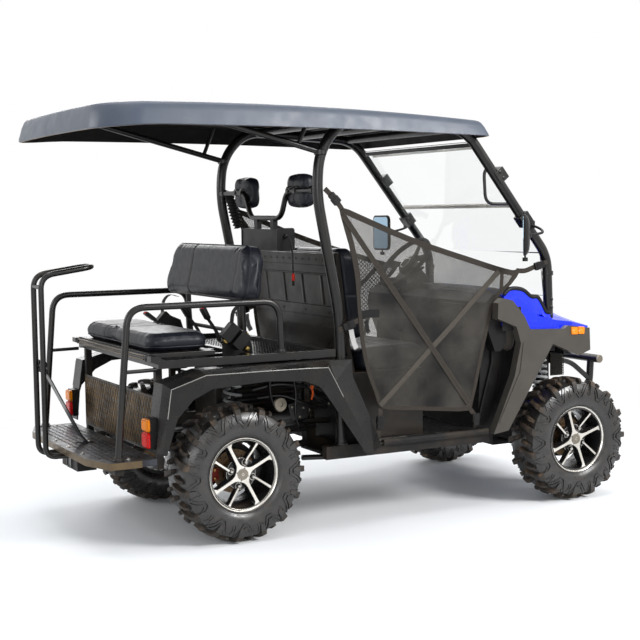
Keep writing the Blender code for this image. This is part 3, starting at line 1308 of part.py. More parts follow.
def build_handrails():
    for label, side in both_sides():
        y = HANDRAIL_Y * side
        rail = tube(handrail_path(side), RAIL_TUBE_R, 8, ends=(2, 2))
        z = BASE_Z + 0.014
        stay_x = HANDRAIL_FOOT_X + 0.060 * (z - PLATFORM_BEAM_TOP_Z) / (HANDRAIL_TOP_Z - PLATFORM_BEAM_TOP_Z)
        stay = bar((stay_x, y, z), (HINGE_X - 0.018, y, z), 0.008, 8)
        finish(union([rail, stay]), f"handrail_{label}", BLACK_STEEL)


def build_rear_fenders():
    outer_top = [(-0.392, 0.435), (-0.372, 0.586), (-0.353, 0.713), (-0.193, 0.763), (0.100, 0.762), (0.300, 0.760),
                 (0.395, 0.757), (0.430, 0.694), (0.470, 0.620), (0.550, 0.480), (0.624, 0.350)]
    arch = [(-0.378, 0.435), (-0.327, 0.586), (-0.253, 0.662), (-0.165, 0.702), (0.100, 0.716), (0.278, 0.703),
            (0.341, 0.679), (0.360, 0.665), (0.420, 0.585), (0.505, 0.462), (0.582, 0.354)]
    bevel = [(-0.405, 0.435), (-0.390, 0.590), (-0.369, 0.731), (-0.197, 0.777), (0.100, 0.780), (0.300, 0.781),
             (0.431, 0.781), (0.547, 0.778), (0.553, 0.700), (0.640, 0.510), (0.700, 0.370)]
    hub = Vector((0.08, 0.36))
    for label, side in both_sides():
        sections = []
        for q, r, p in zip(outer_top, arch, bevel):
            inward = (hub - Vector(p)).normalized() * RF_WALL
            skin = RF_OUT - RF_WALL
            q_in = Vector(q) + (hub - Vector(q)).normalized() * RF_WALL * 0.8
            inner = RF_IN
            sections.append([(p[0], side * inner, p[1]), (p[0], side * RF_EDGE, p[1]), (q[0], side * RF_OUT, q[1]),
                             (r[0], side * RF_OUT, r[1]), (r[0], side * skin, r[1]), (q_in.x, side * skin, q_in.y),
                             (p[0] + inward.x, side * (RF_EDGE - 0.002), p[1] + inward.y),
                             (p[0] + inward.x, side * inner, p[1] + inward.y)])
        fender = loft(sections, "rear_fender")
        hoop = bar((HOOP_X, side * CAGE_Y, 0.30), (HOOP_X, side * CAGE_Y, 0.90), CAGE_R + 0.0006, 10)
        sill = block(SILL_REAR_X - 0.02, SILL_FRONT_X, min(side * 0.48, side * (SILL_Y + SILL_W / 2 + GAP)),
                     max(side * 0.48, side * (SILL_Y + SILL_W / 2 + GAP)), 0.30, SILL_Z + SILL_H / 2 + GAP)
        floor_cut = block(FLOOR_REAR_X - 0.002, 0.80, min(side * 0.45, side * (FLOOR_HALF + GAP)),
                          max(side * 0.45, side * (FLOOR_HALF + GAP)), 0.30, 0.562)
        step_cut = bar((0.70, side * (SILL_Y + SILL_W / 2 + STEP_TUBE_R * 0.8), SILL_Z + 0.026),
                       (0.80, side * (SILL_Y + SILL_W / 2 + STEP_TUBE_R * 0.8), SILL_Z + 0.026), STEP_TUBE_R + 0.001)
        cut(fender, [hoop, sill, floor_cut, step_cut])
        finish(fender, f"rear_fender_{label}", PLASTIC)


def build_tail_lamps():
    for label, side in both_sides():
        y0 = side * 0.520
        y1 = side * 0.585
        face = -0.4065
        lamp = loft([[(face - 0.001, a, b) for a, b in ((y0, 0.452), (y1, 0.452), (y1, 0.585), (y0, 0.585))],
                     [(face - 0.032, a, b) for a, b in ((y0 + side * 0.004, 0.456), (y1 - side * 0.004, 0.456),
                                                       (y1 - side * 0.004, 0.578), (y0 + side * 0.004, 0.578))]], "tail")
        bracket = block(-0.4115, -0.386, min(side * 0.505, side * 0.58), max(side * 0.505, side * 0.58), 0.470, 0.560)
        fender_face = fender_rear_cutter(side)
        lamp = union([lamp, bracket])
        cut(lamp, [fender_face])
        finish(lamp, f"tail_lamp_{label}", LAMP_RED)


def fender_rear_cutter(side):
    """The rear fender's flat rear face, with the seating gap."""
    y0 = side * (RF_IN - 0.02)
    y1 = side * (RF_EDGE + 0.01)
    lean = (-0.390 + 0.405) / (0.590 - 0.435)
    g = GAP
    return side_prism([(-0.405 - g, 0.435), (-0.405 - g + lean * 0.155, 0.590), (-0.30, 0.590), (-0.30, 0.435)], y0, y1)


def build_nets():
    outline = [(0.470, NET_TOP_Z), (0.720, 1.330), (1.060, 1.190), (1.440, 1.130), (1.660, 1.215), (1.655, 1.175),
               (1.480, 1.070), (1.365, 1.020), (1.290, 0.850), (1.215, 0.560), (1.200, 0.400), (1.170, 0.400),
               (1.165, 0.500), (0.730, 0.520), (0.640, 0.800), (0.560, 1.060), (0.452, 1.440)]
    for label, side in both_sides():
        y0 = side * (CAGE_Y + CAGE_R + GAP)
        y1 = side * (CAGE_Y + CAGE_R + GAP + NET_T)
        net = side_prism(outline, y0, y1, "net")
        finish(net, f"side_net_{label}", MESH_CLOTH)


def main():
    clear_scene()
    root = bpy.data.objects.new("golf_cart", None)
    root.location = (ORIGIN_SHIFT, 0, 0)
    bpy.context.scene.collection.objects.link(root)
    build_frame()
    build_cage()
    build_roof()
    build_wheels()
    build_knuckles()
    build_front_suspension()
    build_rear_axle()
    build_shocks()
    build_steering()
    build_hood()
    build_nose()
    build_headlamps()
    build_front_fenders()
    build_dash()
    build_floor()
    build_windshield()
    build_bull_bar()
    build_mirrors()
    build_front_seats()
    build_headrests()
    build_engine()
    build_rear_base()
    build_lid()
    build_rear_backrest()
    build_platform()
    build_grab_bar()
    build_handrails()
    build_rear_fenders()
    build_tail_lamps()
    build_nets()
    bpy.context.view_layer.update()


main()
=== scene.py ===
"""Finish of the off-road golf cart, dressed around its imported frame: metres, +X forward, +Y left, +Z up.

Lengths along the cart are stations, measured forward from the rear axle, as the cart is set out.
"""

import math

import bmesh
import bpy
from mathutils import Matrix, Vector


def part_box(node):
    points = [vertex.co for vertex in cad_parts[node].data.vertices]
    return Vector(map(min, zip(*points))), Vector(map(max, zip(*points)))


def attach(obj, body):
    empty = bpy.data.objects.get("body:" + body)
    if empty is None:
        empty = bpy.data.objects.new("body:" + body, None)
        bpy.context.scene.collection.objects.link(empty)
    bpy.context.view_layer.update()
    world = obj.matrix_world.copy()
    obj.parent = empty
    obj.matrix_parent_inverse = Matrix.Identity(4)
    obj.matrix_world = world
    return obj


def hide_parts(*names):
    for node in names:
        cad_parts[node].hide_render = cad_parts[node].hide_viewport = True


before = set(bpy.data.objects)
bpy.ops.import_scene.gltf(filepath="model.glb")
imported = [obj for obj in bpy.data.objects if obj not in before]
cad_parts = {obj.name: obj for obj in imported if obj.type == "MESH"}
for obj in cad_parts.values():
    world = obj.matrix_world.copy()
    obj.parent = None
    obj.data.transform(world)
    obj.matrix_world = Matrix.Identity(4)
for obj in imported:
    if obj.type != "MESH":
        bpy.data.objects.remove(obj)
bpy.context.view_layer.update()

# Wheels: places and radii are read from the frame
REAR_LOW, REAR_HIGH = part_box("tyre_rear_right")
FRONT_LOW, FRONT_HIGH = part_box("tyre_front_right")
ORIGIN_X = (REAR_LOW.x + REAR_HIGH.x) / 2
WHEELBASE = (FRONT_LOW.x + FRONT_HIGH.x) / 2 - ORIGIN_X
TYRE_R = REAR_HIGH.z / 2
RIM_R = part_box("rim_rear_right")[1].z - TYRE_R
LUGS = 15

# Cage, roof and windshield
CAGE_R = 0.024
CAGE_Y = 0.540
ROOF_REAR_X = -0.630
ROOF_FRONT_X = 1.292
ROOF_SKIRT_Z = (1.815, 1.790)
ROOF_EDGE_Z = (1.906, 1.857)

# Steering wheel
WHEEL_TILT = math.radians(43.0)
STEER_HUB = Vector((1.375, 0.280, 1.170))
STEER_R = 0.175

# Rear deck
PLATFORM_Z = 0.410
HANDRAIL_Y = 0.540

# Camera, solved from the wheels and the roof of the cart
CAMERA_AT = (-2.3552, -5.7997, 1.4502)
CAMERA_YAW = math.radians(27.804)
CAMERA_DOWN = math.radians(4.711)
CAMERA_ROLL = math.radians(0.764)
CAMERA_LENS = 74.1

# Cloth that the pads are blown up as
CLOTH_TENSION = 12
CLOTH_BENDING = 0.6
CLOTH_FRAMES = 16

# Radius that stands for nought, so that a turned shape's end keeps its points apart
SMALLEST_R = 1e-5

# Sides of the cart, corners of a section, and directions
SIDES = (("right", -1), ("left", 1))
CORNERS = ((-1, -1), (1, -1), (1, 1), (-1, 1))
X_AXIS, Y_AXIS, Z_AXIS = Vector((1, 0, 0)), Vector((0, 1, 0)), Vector((0, 0, 1))


def tone(red, green, blue):
    """Scene colour of a display colour given in 0 to 255."""
    out = []
    for value in (red, green, blue):
        share = value / 255
        out.append(share / 12.92 if share <= 0.04045 else ((share + 0.055) / 1.055) ** 2.4)
    return tuple(out)


# Materials

class Paint:
    """A material whose colour, roughness and relief come from noise in the piece's own space."""

    def __init__(self, name, roughness=0.5, metallic=0.0, **sockets):
        self.material = bpy.data.materials.new(name)
        self.material.use_nodes = True
        self.tree = self.material.node_tree
        self.shader = self.tree.nodes["Principled BSDF"]
        self.shader.inputs["Roughness"].default_value = roughness
        self.shader.inputs["Metallic"].default_value = metallic
        for socket, value in sockets.items():
            self.shader.inputs[socket.replace("_", " ")].default_value = value
        self.space = self.node("ShaderNodeTexCoord").outputs["Object"]

    def node(self, kind, **inputs):
        made = self.tree.nodes.new(kind)
        for name, value in inputs.items():
            self.feed(made.inputs[name.replace("_", " ")], value)
        return made

    def feed(self, socket, value):
        if isinstance(value, bpy.types.NodeSocket):
            self.tree.links.new(value, socket)
        elif socket.type == "RGBA":
            socket.default_value = (*value[:3], 1.0)
        else:
            socket.default_value = value

    def stretched(self, scale):
        return self.node("ShaderNodeMapping", Vector=self.space, Scale=scale).outputs["Vector"]

    def noise(self, scale, detail=3.0, stretch=None):
        space = self.stretched(stretch) if stretch else self.space
        return self.node("ShaderNodeTexNoise", Vector=space, Scale=scale, Detail=detail).outputs["Fac"]

    def cells(self, scale, stretch=None):
        space = self.stretched(stretch) if stretch else self.space
        return self.node("ShaderNodeTexVoronoi", Vector=space, Scale=scale).outputs["Distance"]

    def remap(self, value, low, high, to_low=0.0, to_high=1.0):
        made = self.node("ShaderNodeMapRange", Value=value, From_Min=low, From_Max=high, To_Min=to_low,
                         To_Max=to_high)
        return made.outputs["Result"]

    def math(self, operation, a, b=0.0):
        made = self.tree.nodes.new("ShaderNodeMath")
        made.operation = operation
        self.feed(made.inputs[0], a)
        self.feed(made.inputs[1], b)
        return made.outputs[0]

    def mix(self, share, a, b):
        made = self.tree.nodes.new("ShaderNodeMix")
        made.data_type = "RGBA"
        self.feed(made.inputs["Factor"], share)
        for socket, value in zip([s for s in made.inputs if s.type == "RGBA"], (a, b)):
            self.feed(socket, value)
        return [s for s in made.outputs if s.type == "RGBA"][0]

    def colour(self, value):
        self.feed(self.shader.inputs["Base Color"], value)
        return self

    def rough(self, value):
        self.feed(self.shader.inputs["Roughness"], value)
        return self

    def alpha(self, value):
        self.feed(self.shader.inputs["Alpha"], value)
        return self

    def relief(self, height, strength, distance=0.001):
        bump = self.node("ShaderNodeBump", Height=height, Strength=strength, Distance=distance)
        self.feed(self.shader.inputs["Normal"], bump.outputs["Normal"])
        return self

    def axis(self, name):
        """One of the piece's own X, Y or Z coordinates."""
        return self.node("ShaderNodeSeparateXYZ", Vector=self.space).outputs[name]

    def facing(self, name):
        """One part of the surface's own direction."""
        geometry = self.node("ShaderNodeNewGeometry")
        return self.node("ShaderNodeSeparateXYZ", Vector=geometry.outputs["Normal"]).outputs[name]

    def dusted(self, colour, dust, amount, scale=9.0):
        """Colour with road dust that gathers in patches and on what faces up."""
        patches = self.remap(self.noise(scale, 6.0), 0.48, 0.72)
        upward = self.remap(self.facing("Z"), -0.2, 1.0, 0.25, 1.0)
        share = self.math("MULTIPLY", self.math("MULTIPLY", patches, upward), amount)
        return self.mix(share, colour, dust)


DUST = tone(150, 128, 100)


def black_paint():
    paint = Paint("black_steel_paint", Specular_IOR_Level=0.38, Coat_Weight=0.08, Coat_Roughness=0.15)
    base = paint.mix(paint.noise(5.0), tone(8, 8, 8), tone(17, 16, 15))
    paint.colour(paint.dusted(base, DUST, 0.05))
    paint.rough(paint.remap(paint.noise(26.0), 0.3, 0.7, 0.26, 0.38))
    return paint.relief(paint.noise(180.0), 0.05, 0.0004).material


def worn_paint():
    """Chassis paint with road film and light rust at the edges of the patches."""
    paint = Paint("chassis_paint", Specular_IOR_Level=0.25)
    base = paint.mix(paint.remap(paint.noise(7.0, 8.0), 0.42, 0.68), tone(12, 11, 11), tone(34, 28, 22))
    paint.colour(paint.dusted(base, DUST, 0.16, 6.0))
    paint.rough(paint.remap(paint.noise(18.0), 0.3, 0.7, 0.42, 0.68))
    return paint.relief(paint.noise(300.0, 5.0), 0.25, 0.0008).material


def moulded(name, low, high, roughness, dust=0.08, shine=0.20, edge=None):
    """Fine-grained moulded plastic, whose rounded upper edges may carry a painted highlight in the edge
    colour.
    """
    paint = Paint(name, Specular_IOR_Level=shine)
    base = paint.mix(paint.noise(3.5, 5.0), low, high)
    if edge:
        # Painted highlight: faces that tilt up like a rounded upper edge are made lighter, in patches.
        upward = paint.facing("Z")
        painted_highlight_mask = paint.math("MULTIPLY", paint.remap(upward, 0.62, 0.72), paint.remap(upward, 0.92, 0.84))
        base = paint.mix(paint.math("MULTIPLY", painted_highlight_mask,
                                    paint.remap(paint.noise(7.0), 0.30, 0.55, 0.45, 1.0)), base, edge)
    paint.colour(paint.dusted(base, DUST, dust))
    paint.rough(paint.remap(paint.noise(14.0, 5.0), 0.3, 0.7, roughness - 0.07, roughness + 0.08))
    return paint.relief(paint.cells(900.0), 0.18, 0.0005).material


def gloss_blue():
    paint = Paint("blue_body_plastic", Specular_IOR_Level=0.30, Coat_Weight=0.35, Coat_Roughness=0.08)
    paint.colour(paint.mix(paint.noise(2.5), tone(1, 30, 214), tone(3, 44, 236)))
    paint.rough(paint.remap(paint.noise(22.0), 0.3, 0.7, 0.20, 0.30))
    return paint.relief(paint.noise(160.0), 0.05, 0.0005).material


def nose_paint():
    """Blue on the faces that look ahead, black on the sides and the underside."""
    paint = Paint("nose_plastic", Specular_IOR_Level=0.35)
    blue = paint.mix(paint.noise(2.5), tone(1, 30, 214), tone(3, 44, 236))
    ahead = paint.remap(paint.facing("X"), 0.25, 0.35)
    paint.colour(paint.mix(ahead, tone(18, 18, 19), blue))
    paint.rough(paint.remap(paint.noise(22.0), 0.3, 0.7, 0.24, 0.34))
    return paint.relief(paint.noise(160.0), 0.05, 0.0005).material


def vinyl(name, low, high):
    """Padded vinyl with a pebble grain and soft creases."""
    paint = Paint(name, Specular_IOR_Level=0.22)
    paint.colour(paint.mix(paint.noise(5.0, 5.0), low, high))
    paint.rough(paint.remap(paint.noise(30.0), 0.3, 0.7, 0.34, 0.46))
    creases = paint.math("MULTIPLY", paint.noise(9.0, 3.0, (0.5, 1.0, 1.0)), 0.9)
    grain = paint.math("ADD", paint.math("MULTIPLY", paint.cells(620.0), 0.30), creases)
    return paint.relief(grain, 0.20, 0.0010).material


def rubber(name, low, high, dust, roughness=0.66, shine=0.30):
    paint = Paint(name, Specular_IOR_Level=shine)
    base = paint.mix(paint.noise(12.0, 6.0), low, high)
    paint.colour(paint.dusted(base, tone(128, 102, 78), dust, 26.0))
    paint.rough(paint.remap(paint.noise(30.0), 0.3, 0.7, roughness - 0.10, roughness + 0.12))
    return paint.relief(paint.noise(260.0, 5.0), 0.25, 0.0006).material


def bare_metal(name, low, high, roughness, metallic=1.0, lines=None):
    """Bare metal with tool marks along the given stretch."""
    paint = Paint(name, metallic=metallic)
    paint.colour(paint.mix(paint.noise(20.0, 5.0), low, high))
    paint.rough(paint.remap(paint.noise(45.0), 0.3, 0.7, roughness - 0.07, roughness + 0.09))
    return paint.relief(paint.noise(90.0, 3.0, lines), 0.10, 0.0004).material


def tread_plate(name, low, high, film):
    """Dark rolled plate, worn bright in places, with a film of dust."""
    paint = Paint(name, metallic=0.55, Specular_IOR_Level=0.3)
    base = paint.mix(paint.remap(paint.noise(11.0, 8.0), 0.40, 0.70), low, high)
    paint.colour(paint.dusted(base, tone(128, 102, 72), film, 14.0))
    paint.rough(paint.remap(paint.noise(35.0, 5.0), 0.3, 0.7, 0.28, 0.50))
    return paint.relief(paint.noise(200.0, 4.0), 0.15, 0.0005).material


def clear_sheet():
    paint = Paint("clear_polycarbonate", roughness=0.03, Transmission_Weight=1.0, IOR=1.18)
    paint.colour(paint.mix(paint.noise(3.0), (0.93, 0.95, 0.95), (0.98, 0.99, 0.99)))
    paint.rough(paint.remap(paint.noise(9.0, 6.0), 0.45, 0.75, 0.02, 0.09))
    return paint.material


def lens(name, low, high, ribs, along):
    """Ribbed lamp lens: the relief follows one of the piece's axes."""
    paint = Paint(name, Specular_IOR_Level=0.22, Coat_Weight=0.05, Coat_Roughness=0.05)
    paint.colour(paint.mix(paint.noise(40.0), low, high))
    paint.rough(paint.remap(paint.noise(60.0), 0.3, 0.7, 0.14, 0.26))
    waves = paint.math("SINE", paint.math("MULTIPLY", paint.axis(along), ribs))
    return paint.relief(waves, 0.5, 0.0015).material


def net_weave():
    """Open weave: round holes between crossed threads."""
    paint = Paint("net_weave", Specular_IOR_Level=0.10)
    thread = 2 * math.pi / NET_PITCH
    across = paint.math("SINE", paint.math("MULTIPLY", paint.axis("X"), thread))
    upward = paint.math("SINE", paint.math("MULTIPLY", paint.axis("Z"), thread))
    holes = paint.math("MULTIPLY", across, upward)
    solid = paint.math("LESS_THAN", holes, NET_HOLE_LEVEL)
    paint.alpha(solid)
    worn = paint.mix(paint.remap(paint.noise(5.0, 9.0), 0.34, 0.66), tone(46, 45, 44), tone(92, 88, 82))
    threads = paint.remap(across, -1.0, 1.0, 0.0, 0.55)
    paint.colour(paint.mix(threads, worn, tone(34, 33, 32)))
    paint.rough(paint.remap(paint.noise(50.0), 0.3, 0.7, 0.70, 0.88))
    return paint.relief(holes, 0.6, 0.0008).material


def webbing(name, low, high):
    """Woven strap with cross ribs."""
    paint = Paint(name, Specular_IOR_Level=0.12)
    ribs = paint.math("SINE",
                      paint.math("MULTIPLY", paint.math("ADD", paint.axis("X"), paint.axis("Z")),
                                 2 * math.pi / 0.0032))
    weft = paint.math("SINE",
                      paint.math("MULTIPLY", paint.math("SUBTRACT", paint.axis("X"), paint.axis("Z")),
                                 2 * math.pi / 0.0024))
    weave = paint.math("MULTIPLY", ribs, weft)
    paint.colour(paint.mix(paint.remap(weave, -1.0, 1.0), low, high))
    paint.rough(paint.remap(paint.noise(40.0), 0.3, 0.7, 0.62, 0.80))
    return paint.relief(weave, 0.5, 0.0008).material


def frosted():
    """Pale translucent strip."""
    paint = Paint("frosted_strip", roughness=0.35)
    paint.colour(paint.mix(paint.noise(8.0), tone(196, 190, 178), tone(214, 210, 200)))
    paint.alpha(paint.remap(paint.noise(14.0), 0.3, 0.7, 0.50, 0.68))
    return paint.relief(paint.noise(120.0), 0.1, 0.0004).material


def mirror_glass():
    paint = Paint("mirror_glass", roughness=0.03, metallic=1.0)
    paint.colour(paint.mix(paint.noise(2.0), tone(150, 182, 206), tone(182, 202, 216)))
    paint.rough(paint.remap(paint.noise(20.0), 0.4, 0.8, 0.02, 0.06))
    return paint.material


NET_PITCH = 0.0042
NET_HOLE_LEVEL = 0.02

BLACK = black_paint()
CHASSIS = worn_paint()
# The roof's blue-grey is partly the plastic's own dark blue-grey and partly a painted reflection of the sky,
# which makes it lighter and bluer.
ROOF_SKIN = moulded("roof_skin", tone(62, 69, 80), tone(76, 83, 95), 0.36, 0.05, 0.28)
ROOF_UNDER = moulded("roof_underside", tone(12, 11, 10), tone(20, 18, 16), 0.62, 0.0)
ROOF_LIP = moulded("roof_lip", tone(128, 108, 84), tone(150, 130, 104), 0.5, 0.0)
FENDER = moulded("fender_plastic", tone(19, 19, 19), tone(31, 30, 29), 0.28, 0.04, 0.24)
# Its last colour is a painted highlight on the rounded upper edges of the front fenders.
COWL = moulded("cowl_plastic", tone(58, 55, 51), tone(70, 66, 61), 0.36, 0.08, 0.24, tone(126, 122, 114))
DARK = moulded("dark_plastic", tone(14, 14, 15), tone(24, 23, 23), 0.40, 0.04)
SEAT_STEEL = moulded("seat_back_steel", tone(17, 15, 13), tone(34, 28, 22), 0.34, 0.08, 0.28)
BLUE = gloss_blue()
NOSE = nose_paint()
VINYL = vinyl("black_vinyl", tone(19, 21, 27), tone(27, 29, 36))
SIDEWALL = rubber("tyre_sidewall", tone(22, 21, 21), tone(36, 34, 32), 0.12, 0.32, 0.62)
TREAD = rubber("tyre_tread", tone(34, 32, 30), tone(56, 50, 44), 0.60, 0.62)
GRIP = rubber("grip_rubber", tone(20, 20, 20), tone(32, 31, 30), 0.05)
ALLOY = bare_metal("machined_alloy", tone(206, 202, 194), tone(230, 226, 218), 0.22)
WHEEL_BLACK = moulded("wheel_black", tone(14, 14, 15), tone(26, 26, 27), 0.26, 0.04, 0.32)
CAP_GREY = bare_metal("cap_grey", tone(112, 106, 96), tone(146, 138, 126), 0.36)
CHROME = bare_metal("bright_bolt", tone(170, 168, 164), tone(204, 202, 198), 0.20)
ROTOR = bare_metal("brake_disc", tone(84, 66, 48), tone(118, 98, 76), 0.42, 0.9)
SPRING_WHITE = moulded("spring_white", tone(214, 214, 212), tone(234, 233, 230), 0.30, 0.06, 0.5)
SPRING_GREY = moulded("spring_grey", tone(138, 138, 138), tone(172, 172, 170), 0.36, 0.15, 0.3)
PLATE = tread_plate("tread_plate", tone(20, 23, 30), tone(60, 62, 68), 0.16)
KICK = tread_plate("kick_plate", tone(30, 26, 23), tone(62, 52, 42), 0.35)
LATTICE = tread_plate("kick_lattice", tone(92, 76, 54), tone(150, 126, 92), 0.20)
SILL = bare_metal("sill_strip", tone(150, 150, 150), tone(190, 188, 184), 0.26)
CLEAR = clear_sheet()
AMBER = lens("amber_lens", tone(222, 112, 0), tone(236, 140, 0), 900.0, "Z")
RED = lens("red_lens", tone(190, 8, 6), tone(216, 22, 14), 900.0, "Z")
WHITE_LENS = lens("white_lens", tone(206, 210, 214), tone(226, 228, 230), 500.0, "Y")
NET = net_weave()
STRAP = webbing("net_strap", tone(38, 35, 32), tone(64, 58, 52))
STRAP_PALE = webbing("strap_pale", tone(50, 47, 43), tone(88, 82, 74))
TAG = webbing("woven_tag", tone(150, 150, 148), tone(186, 184, 180))
# Light grey for the strips along the rear fenders' edges: a painted highlight.
PAINTED_HIGHLIGHT_STRIP = moulded("painted_highlight_strip", tone(96, 94, 90), tone(150, 148, 142), 0.30, 0.0, 0.40)
BELT = webbing("belt_webbing", tone(22, 22, 22), tone(48, 46, 44))
MIRROR = mirror_glass()
RED_PART = moulded("red_part", tone(186, 26, 18), tone(206, 44, 30), 0.34, 0.05)
CALIPER = moulded("caliper_paint", tone(112, 30, 22), tone(150, 50, 38), 0.40, 0.10)
FROST = frosted()
# Tan steel stands for steel in sunlight: its colour is a painted highlight.
PAINTED_LIT_STEEL = bare_metal("lit_steel", tone(72, 60, 44), tone(106, 90, 66), 0.36, 0.7)
BRASS = bare_metal("zinc_plate", tone(160, 130, 66), tone(200, 176, 110), 0.30)
ORANGE_PART = moulded("orange_part", tone(196, 74, 20), tone(216, 96, 36), 0.40, 0.10)


# Making pieces

def at(point):
    """World point of a point given in stations."""
    return Vector((point[0] + ORIGIN_X, point[1], point[2]))


def bent(points, reaches, steps=7):
    """Path through the points whose corners are rounded, each starting its bend a reach away."""
    points = [Vector(p) for p in points]
    path = [points[0]]
    for index in range(1, len(points) - 1):
        corner = points[index]
        reach = reaches[index - 1] if isinstance(reaches, (list, tuple)) else reaches
        start = corner + (points[index - 1] - corner).normalized() * reach
        stop = corner + (points[index + 1] - corner).normalized() * reach
        for step in range(steps + 1):
            t = step / steps
            path.append(start * (1 - t) ** 2 + corner * 2 * t * (1 - t) + stop * t ** 2)
    path.append(points[-1])
    return path


def smooth_path(points, steps=6, closed=False):
    """Curve that runs through every point."""
    points = [Vector(p) for p in points]
    count = len(points)
    out = []
    for index in range(count if closed else count - 1):
        if closed:
            a, b, c, d = (points[(index + k) % count] for k in (-1, 0, 1, 2))
        else:
            a, b, c, d = (points[min(max(index + k, 0), count - 1)] for k in (-1, 0, 1, 2))
        for step in range(steps):
            t = step / steps
            out.append(0.5 * (2 * b + (c - a) * t + (2 * a - 5 * b + 4 * c - d) * t * t
                              + (3 * b - a - 3 * c + d) * t ** 3))
    if not closed:
        out.append(points[-1])
    return out


def ring_of(centre, u, v, outline):
    """Loop of points around a centre, in the plane of two directions."""
    return [centre + u * a + v * b for a, b in outline]


def bar_ring(centre, u, v, half_u, half_v):
    """Four corners of a bar's section."""
    return [centre + u * a * half_u + v * b * half_v for a, b in CORNERS]


def around(x, radius, turn, y=0.0):
    """Point on a circle about a wheel's axle, the wheel standing at station x."""
    return Vector((x + radius * math.cos(turn), y, TYRE_R + radius * math.sin(turn)))


class Form:
    """Gathers closed shapes, given in stations, into one piece. Side -1 makes the right-hand one."""

    def __init__(self, side=1):
        self.bm = bmesh.new()
        self.side = side
        self.index = 0

    def paint(self, index):
        self.index = index
        return self

    def vert(self, point):
        return self.bm.verts.new(at((point[0], point[1] * self.side, point[2])))

    def face(self, verts):
        made = self.bm.faces.new(verts)
        made.material_index = self.index
        return made

    def bridge(self, a, b):
        """Band of faces between two closed loops of vertices."""
        for k in range(len(a)):
            after = (k + 1) % len(a)
            self.face((a[k], a[after], b[after], b[k]))

    def skin(self, rings, loop=False):
        """Skin over rings that all hold the same number of points, with end caps unless it is a loop."""
        rings = [[self.vert(p) for p in ring] for ring in rings]
        pairs = list(zip(rings, rings[1:])) + ([(rings[-1], rings[0])] if loop else [])
        for a, b in pairs:
            self.bridge(a, b)
        if not loop:
            self.face(rings[0][::-1])
            self.face(rings[-1])
        return self

    def tube(self, path, radius, sides=18, loop=False, flat=1.0):
        """Round bar along a path; flat below 1 makes a strip."""
        path = [Vector(p) for p in path]
        count = len(path)
        rings = []
        normal = None
        for k, point in enumerate(path):
            ahead = path[(k + 1) % count] if loop or k < count - 1 else point
            behind = path[k - 1] if loop or k > 0 else point
            along = (ahead - behind).normalized()
            if normal is None:
                guide = Vector((0, 1, 0)) if abs(along.y) < 0.9 else Vector((0, 0, 1))
                normal = guide.cross(along).normalized()
            normal = (normal - along * normal.dot(along)).normalized()
            other = along.cross(normal)
            size = radius[k] if isinstance(radius, (list, tuple)) else radius
            ring = []
            for s in range(sides):
                turn = 2 * math.pi * s / sides
                ring.append(point + normal * math.cos(turn) * size * flat + other * math.sin(turn) * size)
            rings.append(ring)
        return self.skin(rings, loop)

    def ribbon(self, path, width, thick, across):
        """Flat strap along a path, its width lying along the given direction."""
        path = [Vector(p) for p in path]
        across = Vector(across).normalized()
        rings = []
        for k, point in enumerate(path):
            along = (path[min(k + 1, len(path) - 1)] - path[max(k - 1, 0)]).normalized()
            wide = (across - along * across.dot(along)).normalized()
            up = along.cross(wide)
            rings.append(bar_ring(point, wide, up, width / 2, thick / 2))
        return self.skin(rings)

    def box(self, low, high):
        xs, ys, zs = zip(low, high)
        rings = [[(xs[0], ys[0], z), (xs[1], ys[0], z), (xs[1], ys[1], z), (xs[0], ys[1], z)] for z in zs]
        return self.skin(rings)

    def slab(self, outline, low, high):
        """Plate of an outline in X and Z, between two Y values."""
        return self.skin([[(x, y, z) for x, z in outline] for y in (low, high)])

    def sheet_x(self, outline, low, high):
        """Plate of an outline in Y and Z, between two X values."""
        return self.skin([[(x, y, z) for y, z in outline] for x in (low, high)])

    def deck(self, outline, low, high):
        """Plate of an outline in X and Y, between two heights."""
        return self.skin([[(x, y, z) for x, y in outline] for z in (low, high)])

    def turned(self, profile, centre, axis=(0, 1, 0), sides=40, loop=False):
        """Turned shape: profile points are (along the axis, radius)."""
        axis = Vector(axis).normalized()
        guide = Vector((1, 0, 0)) if abs(axis.x) < 0.9 else Vector((0, 0, 1))
        u = axis.cross(guide).normalized()
        v = axis.cross(u)
        centre = Vector(centre)
        rings = []
        for along, radius in profile:
            ring = []
            for s in range(sides):
                turn = 2 * math.pi * s / sides
                out = u * math.cos(turn) + v * math.sin(turn)
                ring.append(centre + axis * along + out * max(radius, SMALLEST_R))
            rings.append(ring)
        return self.skin(rings, loop)

    def bolt(self, point, axis, size=0.007):
        """Flanged hexagon head standing on the point."""
        self.turned([(-0.001, size * 1.35), (size * 0.22, size * 1.35), (size * 0.3, size * 1.2)], point,
                    axis, 20)
        self.turned([(0.0, size), (size * 0.75, size), (size * 0.9, size * 0.86)], point, axis, 6)
        return self

    def done(self, name, materials, body="chassis", angle=35.0, bevel=0.0, segments=2, slot=None,
             replaces=()):
        """The finished piece, shaded smooth but for its sharp edges."""
        bmesh.ops.recalc_face_normals(self.bm, faces=self.bm.faces)
        if bevel:
            edges = [e for e in self.bm.edges if e.is_manifold and e.calc_face_angle(0.0) > math.radians(28)]
            bmesh.ops.bevel(self.bm, geom=edges, offset=bevel, segments=segments, affect="EDGES",
                            clamp_overlap=True)
        for edge in self.bm.edges:
            edge.smooth = edge.is_manifold and edge.calc_face_angle(0.0) < math.radians(angle)
        for face in self.bm.faces:
            face.smooth = True
        mesh = bpy.data.meshes.new(name)
        self.bm.to_mesh(mesh)
        self.bm.free()
        for material in materials if isinstance(materials, (list, tuple)) else [materials]:
            mesh.materials.append(material)
        piece = bpy.data.objects.new(name, mesh)
        bpy.context.scene.collection.objects.link(piece)
        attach(piece, body)
        for node in replaces:
            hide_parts(node)
        return piece


